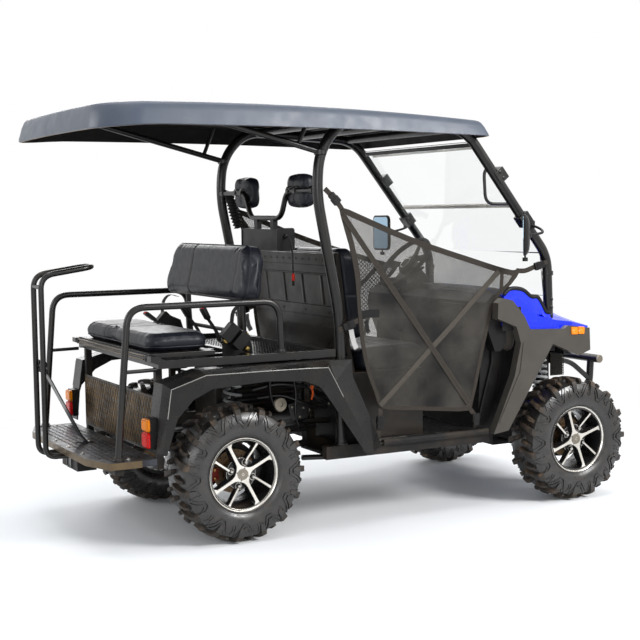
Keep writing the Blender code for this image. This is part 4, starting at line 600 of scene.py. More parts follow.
def dress(node, material, bevel=0.0015, segments=2):
    """Finer material and softened edges for a node that keeps its shape."""
    piece = bpy.data.objects[node]
    for index in range(len(piece.material_slots)):
        piece.material_slots[index].material = material
    weld = piece.modifiers.new("weld", "WELD")
    weld.merge_threshold = 0.00002
    if bevel:
        edge = piece.modifiers.new("edge", "BEVEL")
        edge.width = bevel
        edge.segments = segments
        edge.limit_method = "ANGLE"
        edge.angle_limit = math.radians(32)
        edge.use_clamp_overlap = True
        edge.harden_normals = False
    return piece


def blow_up(piece, pressure, travel):
    """Cloth under pressure, with no vertex going further than its travel."""
    rest = [v.co.copy() for v in piece.data.vertices]
    cloth = piece.modifiers.new("cloth", "CLOTH")
    cloth.settings.use_pressure = True
    cloth.settings.uniform_pressure_force = pressure
    cloth.settings.tension_stiffness = CLOTH_TENSION
    cloth.settings.bending_stiffness = CLOTH_BENDING
    cloth.settings.effector_weights.gravity = 0
    for number in range(1, CLOTH_FRAMES + 1):
        bpy.context.scene.frame_set(number)
    bake(piece)
    bpy.context.scene.frame_set(1)
    for vertex, start in zip(piece.data.vertices, rest):
        step = vertex.co - start
        if step.length > travel:
            vertex.co = start + step.normalized() * travel


def stuffed(form, name, travel, grooves=(), body="chassis", replaces=(), pressure=4.0, voxel=0.007):
    """Vinyl cushion: the plain form is blown up as cloth, then its seams are drawn in."""
    piece = form.done(name, VINYL, body, slot="vinyl", replaces=replaces)
    bpy.context.view_layer.objects.active = piece
    remesh = piece.modifiers.new("remesh", "REMESH")
    remesh.mode = "VOXEL"
    remesh.voxel_size = voxel
    remesh.use_smooth_shade = True
    bake(piece)
    blow_up(piece, pressure, travel)
    for groove in grooves:
        draw_in(piece, *groove)
    smooth = piece.modifiers.new("soft", "SUBSURF")
    smooth.levels = smooth.render_levels = 1
    return piece


def bake(piece):
    """Turns the piece's modifiers into its mesh."""
    graph = bpy.context.evaluated_depsgraph_get()
    made = bpy.data.meshes.new_from_object(piece.evaluated_get(graph))
    piece.modifiers.clear()
    piece.data = made
    for face in made.polygons:
        face.use_smooth = True


def hug(piece, points, lift):
    """Moves station points on to a pad's skin, a small lift above it."""
    placed = []
    for point in points:
        _, spot, normal, _ = piece.closest_point_on_mesh(at(point))
        placed.append(spot + normal * lift - Vector((ORIGIN_X, 0, 0)))
    return placed


def draw_in(piece, axis, position, depth, width):
    """Pulls the skin in along a seam that lies square to an axis, given in stations."""
    place = position + (ORIGIN_X if axis == 0 else 0.0)
    mesh = piece.data
    for vertex in mesh.vertices:
        share = math.exp(-((vertex.co[axis] - place) / width) ** 2)
        if share > 0.02:
            normal = vertex.normal.copy()
            normal[axis] = 0
            vertex.co -= normal * depth * share


# Stage, camera and light

LAMPS = (
    ("key", (3.5, -6.0, 4.6), (2.6, 2.2), 560),
    ("top", (0.0, 0.0, 6.0), (5.0, 5.0), 230),
    ("fill", (-4.0, -6.0, 2.2), (3.0, 2.5), 90),
    ("rear", (-6.0, 2.5, 3.4), (3.0, 3.0), 150),
    ("far", (1.5, 6.0, 3.5), (4.0, 3.0), 150),
)
LAMPS_AIM_AT = Vector((0, 0, 0.8))
FLOOR_HALF = 30
FLOOR_Z = -0.0005


def floor_plane():
    floor = bmesh.new()
    for a, b in CORNERS:
        floor.verts.new((a * FLOOR_HALF, b * FLOOR_HALF, FLOOR_Z))
    floor.faces.new(floor.verts)
    mesh = bpy.data.meshes.new("floor")
    floor.to_mesh(mesh)
    plane = bpy.data.objects.new("floor", mesh)
    bpy.context.scene.collection.objects.link(plane)
    mesh.materials.append(floor_finish())


def lamps():
    """Soft rectangular lamps: name, place, size and power."""
    for name, place, size, power in LAMPS:
        data = bpy.data.lights.new(name, "AREA")
        data.shape = "RECTANGLE"
        data.size, data.size_y = size
        data.energy = power
        lamp = bpy.data.objects.new(name, data)
        lamp.location = place
        lamp.rotation_euler = (LAMPS_AIM_AT - Vector(place)).to_track_quat("-Z", "Y").to_euler()
        bpy.context.scene.collection.objects.link(lamp)


def floor_finish():
    """Pale studio floor that runs out into the white of the backdrop away from the cart."""
    paint = Paint("studio_floor", roughness=0.7)
    paint.colour(paint.mix(paint.noise(1.5), tone(240, 240, 240), tone(246, 246, 246)))
    rays = paint.node("ShaderNodeLightPath")
    seen = paint.math("MAXIMUM", rays.outputs["Is Camera Ray"], rays.outputs["Is Glossy Ray"])
    seen = paint.math("MAXIMUM", seen, rays.outputs["Is Transmission Ray"])
    reach = paint.node("ShaderNodeVectorMath", Vector=paint.space)
    reach.operation = "LENGTH"
    away = paint.remap(reach.outputs["Value"], 1.6, 3.2)
    glow = paint.node("ShaderNodeEmission", Color=(1.0, 1.0, 1.0), Strength=1.0)
    mixed = paint.node("ShaderNodeMixShader", Fac=paint.math("MULTIPLY", seen, away))
    paint.tree.links.new(paint.shader.outputs[0], mixed.inputs[1])
    paint.tree.links.new(glow.outputs[0], mixed.inputs[2])
    output = paint.tree.nodes["Material Output"]
    paint.tree.links.new(mixed.outputs[0], output.inputs["Surface"])
    return paint.material


def white_world():
    """Soft daylight for the cart, plain white behind it."""
    world = bpy.data.worlds.new("studio")
    world.use_nodes = True
    bpy.context.scene.world = world
    tree = world.node_tree
    tree.nodes.clear()
    out = tree.nodes.new("ShaderNodeOutputWorld")
    choose = tree.nodes.new("ShaderNodeMixShader")
    soft = tree.nodes.new("ShaderNodeBackground")
    plain = tree.nodes.new("ShaderNodeBackground")
    soft.inputs["Color"].default_value = (0.82, 0.90, 1.0, 1.0)
    soft.inputs["Strength"].default_value = 0.55
    plain.inputs["Color"].default_value = (1.0, 1.0, 1.0, 1.0)
    plain.inputs["Strength"].default_value = 1.0
    rays = tree.nodes.new("ShaderNodeLightPath")
    seen = rays.outputs["Is Camera Ray"]
    for kind in ("Is Glossy Ray", "Is Transmission Ray"):
        either = tree.nodes.new("ShaderNodeMath")
        either.operation = "MAXIMUM"
        tree.links.new(seen, either.inputs[0])
        tree.links.new(rays.outputs[kind], either.inputs[1])
        seen = either.outputs[0]
    tree.links.new(seen, choose.inputs[0])
    tree.links.new(soft.outputs[0], choose.inputs[1])
    tree.links.new(plain.outputs[0], choose.inputs[2])
    tree.links.new(choose.outputs[0], out.inputs["Surface"])


def camera():
    """The photograph's view."""
    ahead = Vector((math.sin(CAMERA_YAW) * math.cos(CAMERA_DOWN),
                    math.cos(CAMERA_YAW) * math.cos(CAMERA_DOWN),
                    -math.sin(CAMERA_DOWN)))
    right = Vector((math.cos(CAMERA_YAW), -math.sin(CAMERA_YAW), 0))
    down = ahead.cross(right)
    across = right * math.cos(CAMERA_ROLL) + down * math.sin(CAMERA_ROLL)
    below = down * math.cos(CAMERA_ROLL) - right * math.sin(CAMERA_ROLL)
    data = bpy.data.cameras.new("camera")
    data.sensor_width = 36
    data.lens = CAMERA_LENS
    made = bpy.data.objects.new("camera", data)
    turn = Matrix((across, -below, -ahead)).transposed()
    made.matrix_world = Matrix.Translation(at(CAMERA_AT)) @ turn.to_4x4()
    bpy.context.scene.collection.objects.link(made)
    bpy.context.scene.camera = made
    bpy.context.scene.view_settings.view_transform = "Standard"


# Roof

def roof_rise(x):
    """Share of the roof's arch at a station."""
    middle, reach = (ROOF_REAR_X + ROOF_FRONT_X) / 2, (ROOF_FRONT_X - ROOF_REAR_X) / 2
    return max(1 - ((x - middle) / reach) ** 2, 0.0)


def roof_z(x, ends, arch):
    share = (x - ROOF_REAR_X) / (ROOF_FRONT_X - ROOF_REAR_X)
    return ends[0] + (ends[1] - ends[0]) * share + arch * roof_rise(x)


def roof_loop(x0, x1, half, corner, bow, ends, arch, drop=0.0):
    """Plan outline of the roof at one height, with rounded corners and a bowed rear edge."""
    outline = []
    front = corner * 0.35
    for step in range(13):
        turn = math.radians(90 * step / 12)
        outline.append((x1 - front + front * math.cos(turn), half - corner + corner * math.sin(turn)))
    for step in range(1, 20):
        outline.append((x1 - front + (x0 + corner - x1 + front) * step / 20, half))
    for step in range(17):
        turn = math.radians(90 + 90 * step / 16)
        outline.append((x0 + corner + corner * math.cos(turn), half - corner + corner * math.sin(turn)))
    for step in range(1, 9):
        outline.append((x0, (half - corner) * (1 - step / 8)))
    mirrored = [(x, -y) for x, y in outline[-2::-1]]
    points = []
    for x, y in outline + mirrored[:-1]:
        tail = min(max((x0 + corner * 1.3 - x) / (corner * 1.3), 0.0), 1.0)
        back = bow * tail * max(1 - (y / half) ** 2, 0.0)
        points.append((x - back, y, roof_z(x, ends, arch) - drop * tail))
    return points


# Sections of the roof's skin: rear and front stations, half width, corner, bow of the rear edge,
# share of the way up from skirt to edge, arch and drop of the tail
ROOF_OUTER = (
    (-0.625, 1.287, 0.685, 0.165, 0.036, 0.0, 0.010, 0.014),
    (-0.630, 1.291, 0.690, 0.170, 0.036, 0.03, 0.010, 0.013),
    (-0.629, 1.289, 0.688, 0.170, 0.036, 0.14, 0.012, 0.010),
    (-0.618, 1.273, 0.678, 0.175, 0.034, 0.62, 0.020, 0.004),
    (-0.609, 1.262, 0.671, 0.180, 0.032, 0.86, 0.024, 0.001),
    (-0.603, 1.254, 0.665, 0.180, 0.030, 0.95, 0.026, 0.000),
    (-0.592, 1.243, 0.655, 0.176, 0.028, 0.995, 0.026, 0.000),
    (-0.560, 1.215, 0.630, 0.160, 0.022, 1.03, 0.026, 0.000),
    (-0.430, 1.072, 0.490, 0.120, 0.012, 1.12, 0.026, 0.000),
    (-0.290, 0.932, 0.280, 0.090, 0.005, 1.19, 0.026, 0.000),
    (-0.120, 0.700, 0.120, 0.060, 0.002, 1.215, 0.026, 0.000),
    (-0.060, 0.640, 0.012, 0.008, 0.000, 1.222, 0.026, 0.000),
)
ROOF_INNER = (
    (-0.618, 1.280, 0.678, 0.162, 0.036, 0.0, 0.010, 0.014),
    (-0.612, 1.268, 0.672, 0.168, 0.034, 0.45, 0.016, 0.006),
    (-0.596, 1.246, 0.658, 0.172, 0.030, 0.88, 0.024, 0.000),
    (-0.560, 1.215, 0.630, 0.160, 0.022, 0.93, 0.026, 0.000),
    (-0.120, 0.700, 0.120, 0.060, 0.002, 0.95, 0.026, 0.000),
)


def roof_rings(form, sections):
    rings = []
    for rear, front, half, corner, bow, share, arch, drop in sections:
        ends = [low + (high - low) * share for low, high in zip(ROOF_SKIRT_Z, ROOF_EDGE_Z)]
        loop = roof_loop(rear, front, half, corner, bow, ends, arch, drop)
        rings.append([form.vert(p) for p in loop])
    return rings


def roof():
    """Shell of the roof: skin above, lining below and the lip that joins them."""
    form = Form()
    outer = roof_rings(form, ROOF_OUTER)
    inner = roof_rings(form, ROOF_INNER)
    for paint, rings in ((0, outer), (1, inner), (2, [outer[0], inner[0]])):
        form.paint(paint)
        for a, b in zip(rings, rings[1:]):
            form.bridge(a, b)
    form.paint(0).face(outer[-1])
    form.paint(1).face(inner[-1])
    form.done("roof_shell", [ROOF_SKIN, ROOF_UNDER, ROOF_LIP], angle=40, slot="roof_plastic",
              replaces=["roof"])


# Wheels

def wheel_places():
    """Side, end, centre in stations, tyre width and rim width of each wheel."""
    for side_name, side in SIDES:
        yield side_name, side, "rear", (0.0, 0.500), 0.245, 0.205
        yield side_name, side, "front", (WHEELBASE, 0.575), 0.205, 0.170


class Tyre:
    """Sections of one tyre: offset across the wheel and radius, from bead to bead."""

    def __init__(self, x, y, width):
        self.x = x
        self.y = y
        half = width / 2
        self.section = [(half * 0.78, 0.160), (half * 0.88, 0.168), (half * 0.96, 0.186), (half, 0.212),
                        (half * 0.985, 0.238), (half * 0.93, 0.260), (half * 0.84, 0.276),
                        (half * 0.60, 0.2838), (half * 0.30, 0.2850), (0.0, 0.2852)]

    def surface(self, share):
        """Offset, radius and outward direction at a share of the way from bead to crown."""
        spot = share * (len(self.section) - 1)
        k = min(int(spot), len(self.section) - 2)
        t = spot - k
        a, b = self.section[k], self.section[k + 1]
        offset, radius = a[0] + (b[0] - a[0]) * t, a[1] + (b[1] - a[1]) * t
        low, high = self.section[max(k - 1, 0)], self.section[min(k + 2, len(self.section) - 1)]
        run = Vector((high[0] - low[0], high[1] - low[1])).normalized()
        return offset, radius, (run.y, -run.x)

    def point(self, share, turn, lift, flip=1):
        offset, radius, normal = self.surface(share)
        if share > 0.98:
            normal = (0.0, 1.0)
        offset += normal[0] * lift
        radius += normal[1] * lift
        return (self.x + radius * math.cos(turn), self.y + offset * flip, TYRE_R + radius * math.sin(turn))


def raised(form, tyre, stations, flip):
    """Block that follows the carcass: each station gives share, turn, half width in metres and lift."""
    rings = []
    for share, turn, half, lift in stations:
        radius = tyre.surface(share)[1]
        low, high = half / radius, half * 0.80 / radius
        rings.append([tyre.point(share, turn - low, -0.002, flip),
                      tyre.point(share, turn + low, -0.002, flip),
                      tyre.point(share, turn + high, lift, flip), tyre.point(share, turn - high, lift, flip)])
    form.skin(rings)


def rib(form, tyre, path, half, lift, flip):
    """Raised line on the carcass through (share, turn) points."""
    spots = [Vector(tyre.point(share, turn, 0.0, flip)) for share, turn in path]
    tops = [Vector(tyre.point(share, turn, lift, flip)) for share, turn in path]
    rings = []
    for k, spot in enumerate(spots):
        up = (tops[k] - spot).normalized()
        along = (spots[min(k + 1, len(spots) - 1)] - spots[max(k - 1, 0)]).normalized()
        wide = along.cross(up).normalized()
        rings.append([spot - wide * half - up * 0.0015, spot + wide * half - up * 0.0015,
                      tops[k] + wide * half * 0.6, tops[k] - wide * half * 0.6])
    form.skin(rings)


TYRE_STEPS = 96
RIBS = 12
RIB_ARCHES = (
    ((0.66, -0.225), (0.50, -0.140), (0.34, -0.062), (0.34, 0.035), (0.48, 0.110), (0.64, 0.180)),
    ((0.66, -0.160), (0.54, -0.095), (0.42, -0.040), (0.42, 0.020), (0.52, 0.065), (0.64, 0.118)),
)
RIB_TICKS = (
    ((0.60, -0.045), (0.48, -0.010), (0.40, -0.030)),
    ((0.61, 0.050), (0.50, 0.020), (0.43, 0.038), (0.38, 0.020)),
)


def lug(form, tyre, turn, pitch, wide, flip):
    """Shoulder block, its root on the side wall, and the short block half a pitch on."""
    form.paint(1)
    raised(form, tyre, [(0.99, turn - 0.10, 0.011, 0.0175), (0.86, turn - 0.055, 0.0125, 0.0180),
                        (0.76, turn - 0.020, 0.0145, 0.0182), (0.67, turn, wide, 0.0178),
                        (0.585, turn + 0.004, wide, 0.0130)], flip)
    form.paint(0)
    raised(form, tyre, [(0.60, turn + 0.004, wide * 0.98, 0.0120), (0.50, turn + 0.008, wide * 0.9, 0.0075),
                        (0.43, turn + 0.010, wide * 0.6, 0.0030)], flip)
    form.paint(1)
    between = turn + pitch * 0.5
    raised(form, tyre, [(0.91, between - 0.035, 0.0085, 0.0172), (0.80, between + 0.010, 0.0095, 0.0176),
                        (0.72, between + 0.025, 0.0080, 0.0120)], flip)
    form.paint(0)


def side_ribs(form, tyre):
    """Nested arches on the side walls, with two short ticks between each pair."""
    for flip in (1, -1):
        for k in range(RIBS):
            turn = 2 * math.pi * (k + (0.5 if flip < 0 else 0.0)) / RIBS
            for arch in RIB_ARCHES:
                rib(form, tyre, [(share, turn + angle) for share, angle in arch], 0.0042, 0.0056, flip)
            centre = turn + math.pi / RIBS
            for tick in RIB_TICKS:
                rib(form, tyre, [(share, centre + angle) for share, angle in tick], 0.0032, 0.0036, flip)


def bead_lines(form, tyre):
    """Two raised rings beside the rim."""
    for share, lift in ((0.10, 0.0020), (0.145, 0.0012)):
        for flip in (1, -1):
            rings = []
            for k in range(TYRE_STEPS):
                turn = 2 * math.pi * k / TYRE_STEPS
                rings.append([tyre.point(place, turn, height, flip) for place, height in (
                    (share, -0.001), (share, lift), (share + 0.02, lift), (share + 0.02, -0.001))])
            form.skin(rings, loop=True)


def tyre_piece(name, side, x, y, width, body):
    tyre = Tyre(x, y, width)
    form = Form(side)
    profile = tyre.section + [(-a, b) for a, b in tyre.section[-2::-1]]
    inner = [(-profile[0][0], 0.150), (profile[0][0], 0.150)]
    form.turned(profile + inner, (x, y, TYRE_R), sides=TYRE_STEPS, loop=True)
    pitch = 2 * math.pi / LUGS
    for flip in (1, -1):
        for k in range(LUGS):
            lug(form, tyre, pitch * (k + (0.5 if flip < 0 else 0.0)), pitch, 0.0165 if k % 2 else 0.0150,
                flip)
    side_ribs(form, tyre)
    bead_lines(form, tyre)
    return form.done(f"tread_{name}", [SIDEWALL, TREAD], body, angle=30, slot="tyre_rubber",
                     replaces=[f"tyre_{name}"])


def spoke(form, x, y_face, start, stop, widths, depth, flank):
    """Spoke between two points given as (radius, turn).

    The widths are (share of the way, half width on each side, setback of the face).
    """
    ends = [around(x, radius, turn) for radius, turn in (start, stop)]
    along = (ends[1] - ends[0]).normalized()
    across = Vector((-along.z, 0, along.x))
    rings = []
    for share, ahead, behind, back in widths:
        centre = ends[0] + (ends[1] - ends[0]) * share
        more = flank * (1 - share) + 0.002
        ring = []
        for reach, low in ((-behind, 0), (ahead, 0), (ahead + more, 1), (-behind - more, 1)):
            point = centre + across * reach
            point.y = y_face - back - (depth if low else 0.0)
            ring.append(point)
        rings.append(ring)
    form.skin(rings)


# Share of the way out, half width ahead and behind, and setback of the face
WIDE_SPOKE = ((0.0, 0.0235, 0.0235, 0.006), (0.165, 0.0225, 0.0225, 0.006), (0.225, 0.0145, 0.0145, 0.0055),
              (0.30, 0.0088, 0.0088, 0.0050), (0.40, 0.0068, 0.0068, 0.0040), (0.80, 0.0066, 0.0066, 0.0010),
              (0.87, 0.0070, 0.0080, 0.0005), (0.93, 0.0080, 0.0160, 0.0005), (1.0, 0.0100, 0.0340, 0.0010))
THIN_SPOKE = ((0.0, 0.0038, 0.0038, 0.012), (0.30, 0.0042, 0.0042, 0.008), (0.80, 0.0048, 0.0048, 0.002),
              (0.92, 0.0060, 0.0060, 0.001), (1.0, 0.0100, 0.0100, 0.001))
SPOKE_R = 0.1575
NUT_R = 0.0545
FACE_INSET = 0.007
QUARTER = math.pi / 2


def rim_barrel(form, x, inner, outer):
    """Black barrel and the machined lip around the face."""
    axle = (x, 0, TYRE_R)
    form.paint(1)
    form.turned([(inner, RIM_R), (inner + 0.004, RIM_R), (inner + 0.012, 0.152), (inner + 0.060, 0.143),
                 (outer - 0.075, 0.139), (outer - 0.030, 0.148), (outer - 0.006, 0.1575),
                 (outer - 0.006, 0.1535),
                 (outer - 0.034, 0.143), (outer - 0.078, 0.134), (inner + 0.056, 0.138),
                 (inner + 0.004, 0.148)],
                axle, sides=72, loop=True)
    form.paint(0)
    form.turned([(outer - 0.008, 0.1560), (outer - 0.005, 0.1590), (outer - 0.003, RIM_R - 0.003),
                 (outer - 0.0035, RIM_R), (outer, RIM_R), (outer + 0.0008, RIM_R - 0.0035),
                 (outer - 0.0010, 0.1595), (outer - 0.0045, 0.1565)], axle, sides=96, loop=True)


def spokes(form, x, face, phase):
    """Four wide spokes, each with a thin one leaning towards it."""
    for k in range(4):
        turn = phase + QUARTER * k
        spoke(form, x, face, (0.0, turn), (SPOKE_R, turn), WIDE_SPOKE, 0.036, 0.016)
        spoke(form, x, face, (0.064, turn + QUARTER * 0.5), (SPOKE_R, turn + math.radians(35)), THIN_SPOKE,
              0.030, 0.004)


def wheel_hub(form, x, face, phase):
    """Hub drum, four nuts in their cups and the middle cap."""
    axle = (x, 0, TYRE_R)
    form.paint(1)
    form.turned([(face - 0.060, 0.070), (face - 0.034, 0.074), (face - 0.028, 0.070), (face - 0.026, 0.062),
                 (face - 0.026, 0.020), (face - 0.060, 0.020)], axle, sides=64, loop=True)
    for k in range(4):
        place = around(x, NUT_R, phase + QUARTER * (k + 0.5))
        form.paint(1)
        form.turned([(face - 0.0270, 0.0165), (face - 0.0180, 0.0160), (face - 0.0180, 0.0125),
                     (face - 0.0270, 0.0120)], place, sides=28, loop=True)
        form.paint(2)
        form.turned([(face - 0.026, 0.0088), (face - 0.013, 0.0088), (face - 0.009, 0.0078),
                     (face - 0.006, 0.0052), (face - 0.005, 0.0)], place, sides=24)
    form.paint(3)
    form.turned([(face - 0.020, 0.0260), (face - 0.0040, 0.0260), (face - 0.0022, 0.0244),
                 (face - 0.0020, 0.0060), (face - 0.0045, 0.0050), (face - 0.0045, 0.0)], axle, sides=48)


def rim_piece(name, side, x, y, rim_w, body):
    """Wheel rim: only the faces that look outwards keep the machined finish."""
    outer = y + rim_w / 2
    form = Form(side)
    face = outer - FACE_INSET
    phase = math.radians(27 if "rear" in name else 18.6)
    rim_barrel(form, x, y - rim_w / 2, outer)
    spokes(form, x, face, phase)
    wheel_hub(form, x, face, phase)
    piece = form.done(f"wheel_{name}", [ALLOY, WHEEL_BLACK, CHROME, CAP_GREY], body, angle=28, bevel=0.0009,
                      slot="alloy", replaces=[f"rim_{name}"])
    for made in piece.data.polygons:
        flank = made.normal.y * side < 0.80 and made.center.y * side < outer - 0.0075
        if made.material_index == 0 and flank:
            made.material_index = 1
    return piece


def brake_piece(name, side, x, y, body):
    """Drilled disc that turns with the wheel."""
    form = Form(side)
    form.turned([(y - 0.012, 0.098), (y - 0.004, 0.098), (y - 0.004, 0.060), (y + 0.014, 0.058),
                 (y + 0.014, 0.040),
                 (y - 0.012, 0.040)], (x, 0, TYRE_R), sides=64, loop=True)
    form.paint(1)
    for k in range(24):
        turn = math.pi / 12 * k
        reach = 0.090 if k % 2 else 0.076
        form.turned([(y - 0.005, 0.0036), (y - 0.0035, 0.0034)], around(x, reach, turn), sides=12)
    form.done(f"brake_disc_{name}", [ROTOR, WHEEL_BLACK], body, slot="iron")


# Radius, and offset across the wheel from the disc
CALIPER_SECTION = ((0.080, 0.008), (0.114, 0.008), (0.118, -0.030), (0.080, -0.034))
SHIELD_SECTION = ((0.050, -0.036), (0.126, -0.036), (0.126, -0.039), (0.050, -0.039))


def caliper_piece(name, side, x, y, body, paint):
    """Brake caliper astride the disc, with its two slide bolts."""
    form = Form(side)
    rings = []
    for step in range(7):
        turn = math.radians(166 + 34 * step / 6)
        rings.append([around(x, radius, turn, y + offset) for radius, offset in CALIPER_SECTION])
    form.skin(rings)
    form.paint(2)
    shield = []
    for step in range(17):
        turn = math.radians(-35 + 250 * step / 16)
        shield.append([around(x, radius, turn, y + offset) for radius, offset in SHIELD_SECTION])
    form.skin(shield)
    form.paint(1)
    for turn in (math.radians(172), math.radians(194)):
        form.turned([(y + 0.006, 0.009), (y + 0.013, 0.008), (y + 0.015, 0.005)],
                    around(x, 0.099, turn), sides=24)
    form.done(f"brake_caliper_{name}", [paint, BRASS, CHASSIS], body, bevel=0.0012, slot="iron")


def wheels():
    for side_name, side, end, (x, y), width, rim_w in wheel_places():
        name = f"{end}_{side_name}"
        body = f"wheel_{name}"
        tyre_piece(name, side, x, y, width, body)
        rim_piece(name, side, x, y, rim_w, body)
        brake_piece(name, side, x, y - 0.004, body)
        if end == "rear":
            caliper_piece(name, side, x, y - 0.004, "chassis", CALIPER)
        else:
            caliper_piece(name, side, x, y - 0.004, f"knuckle_{side_name}", CHASSIS)


# Cage

def under_roof(x):
    return roof_z(x, ROOF_EDGE_Z, 0.026) - 0.0065


CAGE_FRONT_X = 1.210
CAGE_REAR_X = 0.560
CAGE_TOP_DROP = 0.0245
STRUT_AT = (0.434, 1.715)
STRUT_END_X = -0.240


def cage_top(x):
    """Height of the cage's top tube between its two bends."""
    rear, front = under_roof(CAGE_REAR_X) - CAGE_TOP_DROP, under_roof(CAGE_FRONT_X) - CAGE_TOP_DROP
    return rear + (front - rear) * (x - CAGE_REAR_X) / (CAGE_FRONT_X - CAGE_REAR_X)


def roof_brace(form, y):
    """Brace from the rear hoop to the roof's tail, with its short post and its collar."""
    x0, z0 = STRUT_AT
    z1 = under_roof(STRUT_END_X) - 0.0145
    form.tube([(x0, y, z0), (STRUT_END_X, y, z1)], 0.014, 18)
    post_z = z0 + (z1 - z0) * (x0 - 0.320) / (x0 - STRUT_END_X)
    form.tube([(0.320, y, post_z), (0.380, y, under_roof(0.380) - 0.0115)], 0.0098, 16)
    form.turned([(-0.013, 0.0245), (-0.010, 0.0285), (0.010, 0.0285), (0.013, 0.0245)], (0.4305, y, z0),
                (0.02, 0, 1), 28)


def cage_side(form, side):
    y = CAGE_Y * side
    line = [(0.520, 0.3803), (0.520, 0.960), (0.408, 1.540), (0.430, 1.735),
            (CAGE_REAR_X, cage_top(CAGE_REAR_X)),
            (CAGE_FRONT_X, cage_top(CAGE_FRONT_X)), (1.695, 1.215), (1.710, 0.7778)]
    form.tube(bent([(x, y, z) for x, z in line], [0.12, 0.10, 0.09, 0.09, 0.10, 0.07], 10), CAGE_R, 28)
    roof_brace(form, y)
    for x, z in ((1.406, 1.613), (1.554, 1.398)):
        clamp(form, Vector((x, y, z)), Vector((-0.62, 0, 0.785)), side)
    form.turned([(0.0, 0.034), (0.006, 0.034), (0.006, 0.027), (0.030, 0.0265)], (0.520, y, 0.383), Z_AXIS,
                32)
    form.turned([(-0.012, 0.0245), (-0.010, 0.0275), (0.010, 0.0275), (0.012, 0.0245)], (1.7008, y, 1.130),
                Z_AXIS, 28)
    for k in range(4):
        form.bolt((1.7073, y + CAGE_R * side, 0.880 + 0.040 * k), (0, side, 0), 0.0065)


def cage():
    """Cage tubes with bolted joints, feet, roof braces and cross bars."""
    form = Form()
    for side in (-1, 1):
        cage_side(form, side)
    for x in (0.620, 0.885, 1.170):
        form.tube([(x, -CAGE_Y, cage_top(x)), (x, CAGE_Y, cage_top(x))], 0.0192, 24)
    tail_z = under_roof(-0.190) - 0.013
    form.tube([(-0.190, -0.50, tail_z), (-0.190, 0.50, tail_z)], 0.011, 18)
    y = -0.5347
    handle = [(1.3813, y, 1.6549), (1.322, y, 1.652), (1.332, y, 1.476), (1.5047, y, 1.4735)]
    form.tube(bent(handle, 0.05, 8), 0.0078, 18)
    form.done("cage_tubes", BLACK, angle=40, slot="black_steel", replaces=["roll_cage"])


def clamp(form, centre, along, side):
    """Boxy two-bolt clamp around a pillar."""
    along = along.normalized()
    out = Vector((along.z, 0, -along.x))
    rings = []
    for step in (-0.032, -0.030, 0.030, 0.032):
        size = 0.0285 if abs(step) < 0.031 else 0.0265
        rings.append(bar_ring(centre + along * step, out, Y_AXIS, size, size))
    form.skin(rings)
    for step in (-0.017, 0.017):
        form.bolt(centre + along * step + Vector((0, side * 0.0285, 0)), (0, side, 0), 0.0062)
        form.bolt(centre + along * step + out * 0.0285, out, 0.0058)


# Nets

NET_EDGE = [(0.523, 1.466), (0.618, 1.432), (0.792, 1.362), (0.936, 1.309), (1.083, 1.262), (1.224, 1.220),
            (1.369, 1.176), (1.467, 1.152), (1.512, 1.150), (1.457, 1.084), (1.385, 1.030), (1.344, 0.952),
            (1.319, 0.864), (1.290, 0.762), (1.260, 0.642), (1.231, 0.530), (1.205, 0.487), (1.078, 0.494),
            (0.911, 0.512), (0.760, 0.527), (0.706, 0.550), (0.686, 0.606), (0.647, 0.701), (0.622, 0.803),
            (0.606, 0.918), (0.595, 1.063), (0.586, 1.169), (0.559, 1.298), (0.519, 1.428)]
NET_Y = 0.5663


def sag(x, z):
    """How far the stretched net bellies outwards, with soft folds that run down from its top edge."""
    belly = 0.008 * math.exp(-((x - 0.93) / 0.30) ** 2 - ((z - 0.85) / 0.30) ** 2)
    folds = 0.0030 * math.sin(14.0 * x + 5.0 * z) * math.exp(-((z - 0.78) / 0.28) ** 2)
    hem = 0.0022 * math.sin(90.0 * x) * math.exp(-((z - 0.51) / 0.04) ** 2)
    return belly + folds + hem


def buckle(form, centre, along, width, length):
    """Side-release buckle: body, prongs and two side windows."""
    along = Vector(along).normalized()
    across = Vector((along.z, 0, -along.x))
    for start, stop, half, thick in ((-0.50, 0.12, 0.50, 0.0075), (0.12, 0.50, 0.42, 0.0060),
                                     (-0.30, 0.02, 0.36, 0.0095)):
        rings = []
        for t, grow in ((start, 0.86), (start + 0.06, 1.0), (stop - 0.06, 1.0), (stop, 0.86)):
            rings.append(bar_ring(Vector(centre) + along * t * length, across, Y_AXIS, half * width * grow,
                                  thick))
        form.skin(rings)
    return form


NET_MIDDLE = (0.95, 0.86)
NET_RINGS = 16
NET_HALF_THICK = 0.0006


def net_face(form, outline, lift):
    """One face of the net, in rings about its middle; gives back its outermost ring."""
    x0, z0 = NET_MIDDLE
    loops = []
    for k in range(1, NET_RINGS + 1):
        share = k / NET_RINGS
        loop = []
        for x, z in outline:
            px, pz = x0 + (x - x0) * share, z0 + (z - z0) * share
            loop.append(form.vert((px, NET_Y + sag(px, pz) + lift, pz)))
        loops.append(loop)
    hub = form.vert((x0, NET_Y + sag(x0, z0) + lift, z0))
    count = len(outline)
    for k in range(count):
        form.face((hub, loops[0][k], loops[0][(k + 1) % count]))
    for a, b in zip(loops, loops[1:]):
        for k in range(count):
            form.face((a[k], b[k], b[(k + 1) % count], a[(k + 1) % count]))
    return loops[-1]


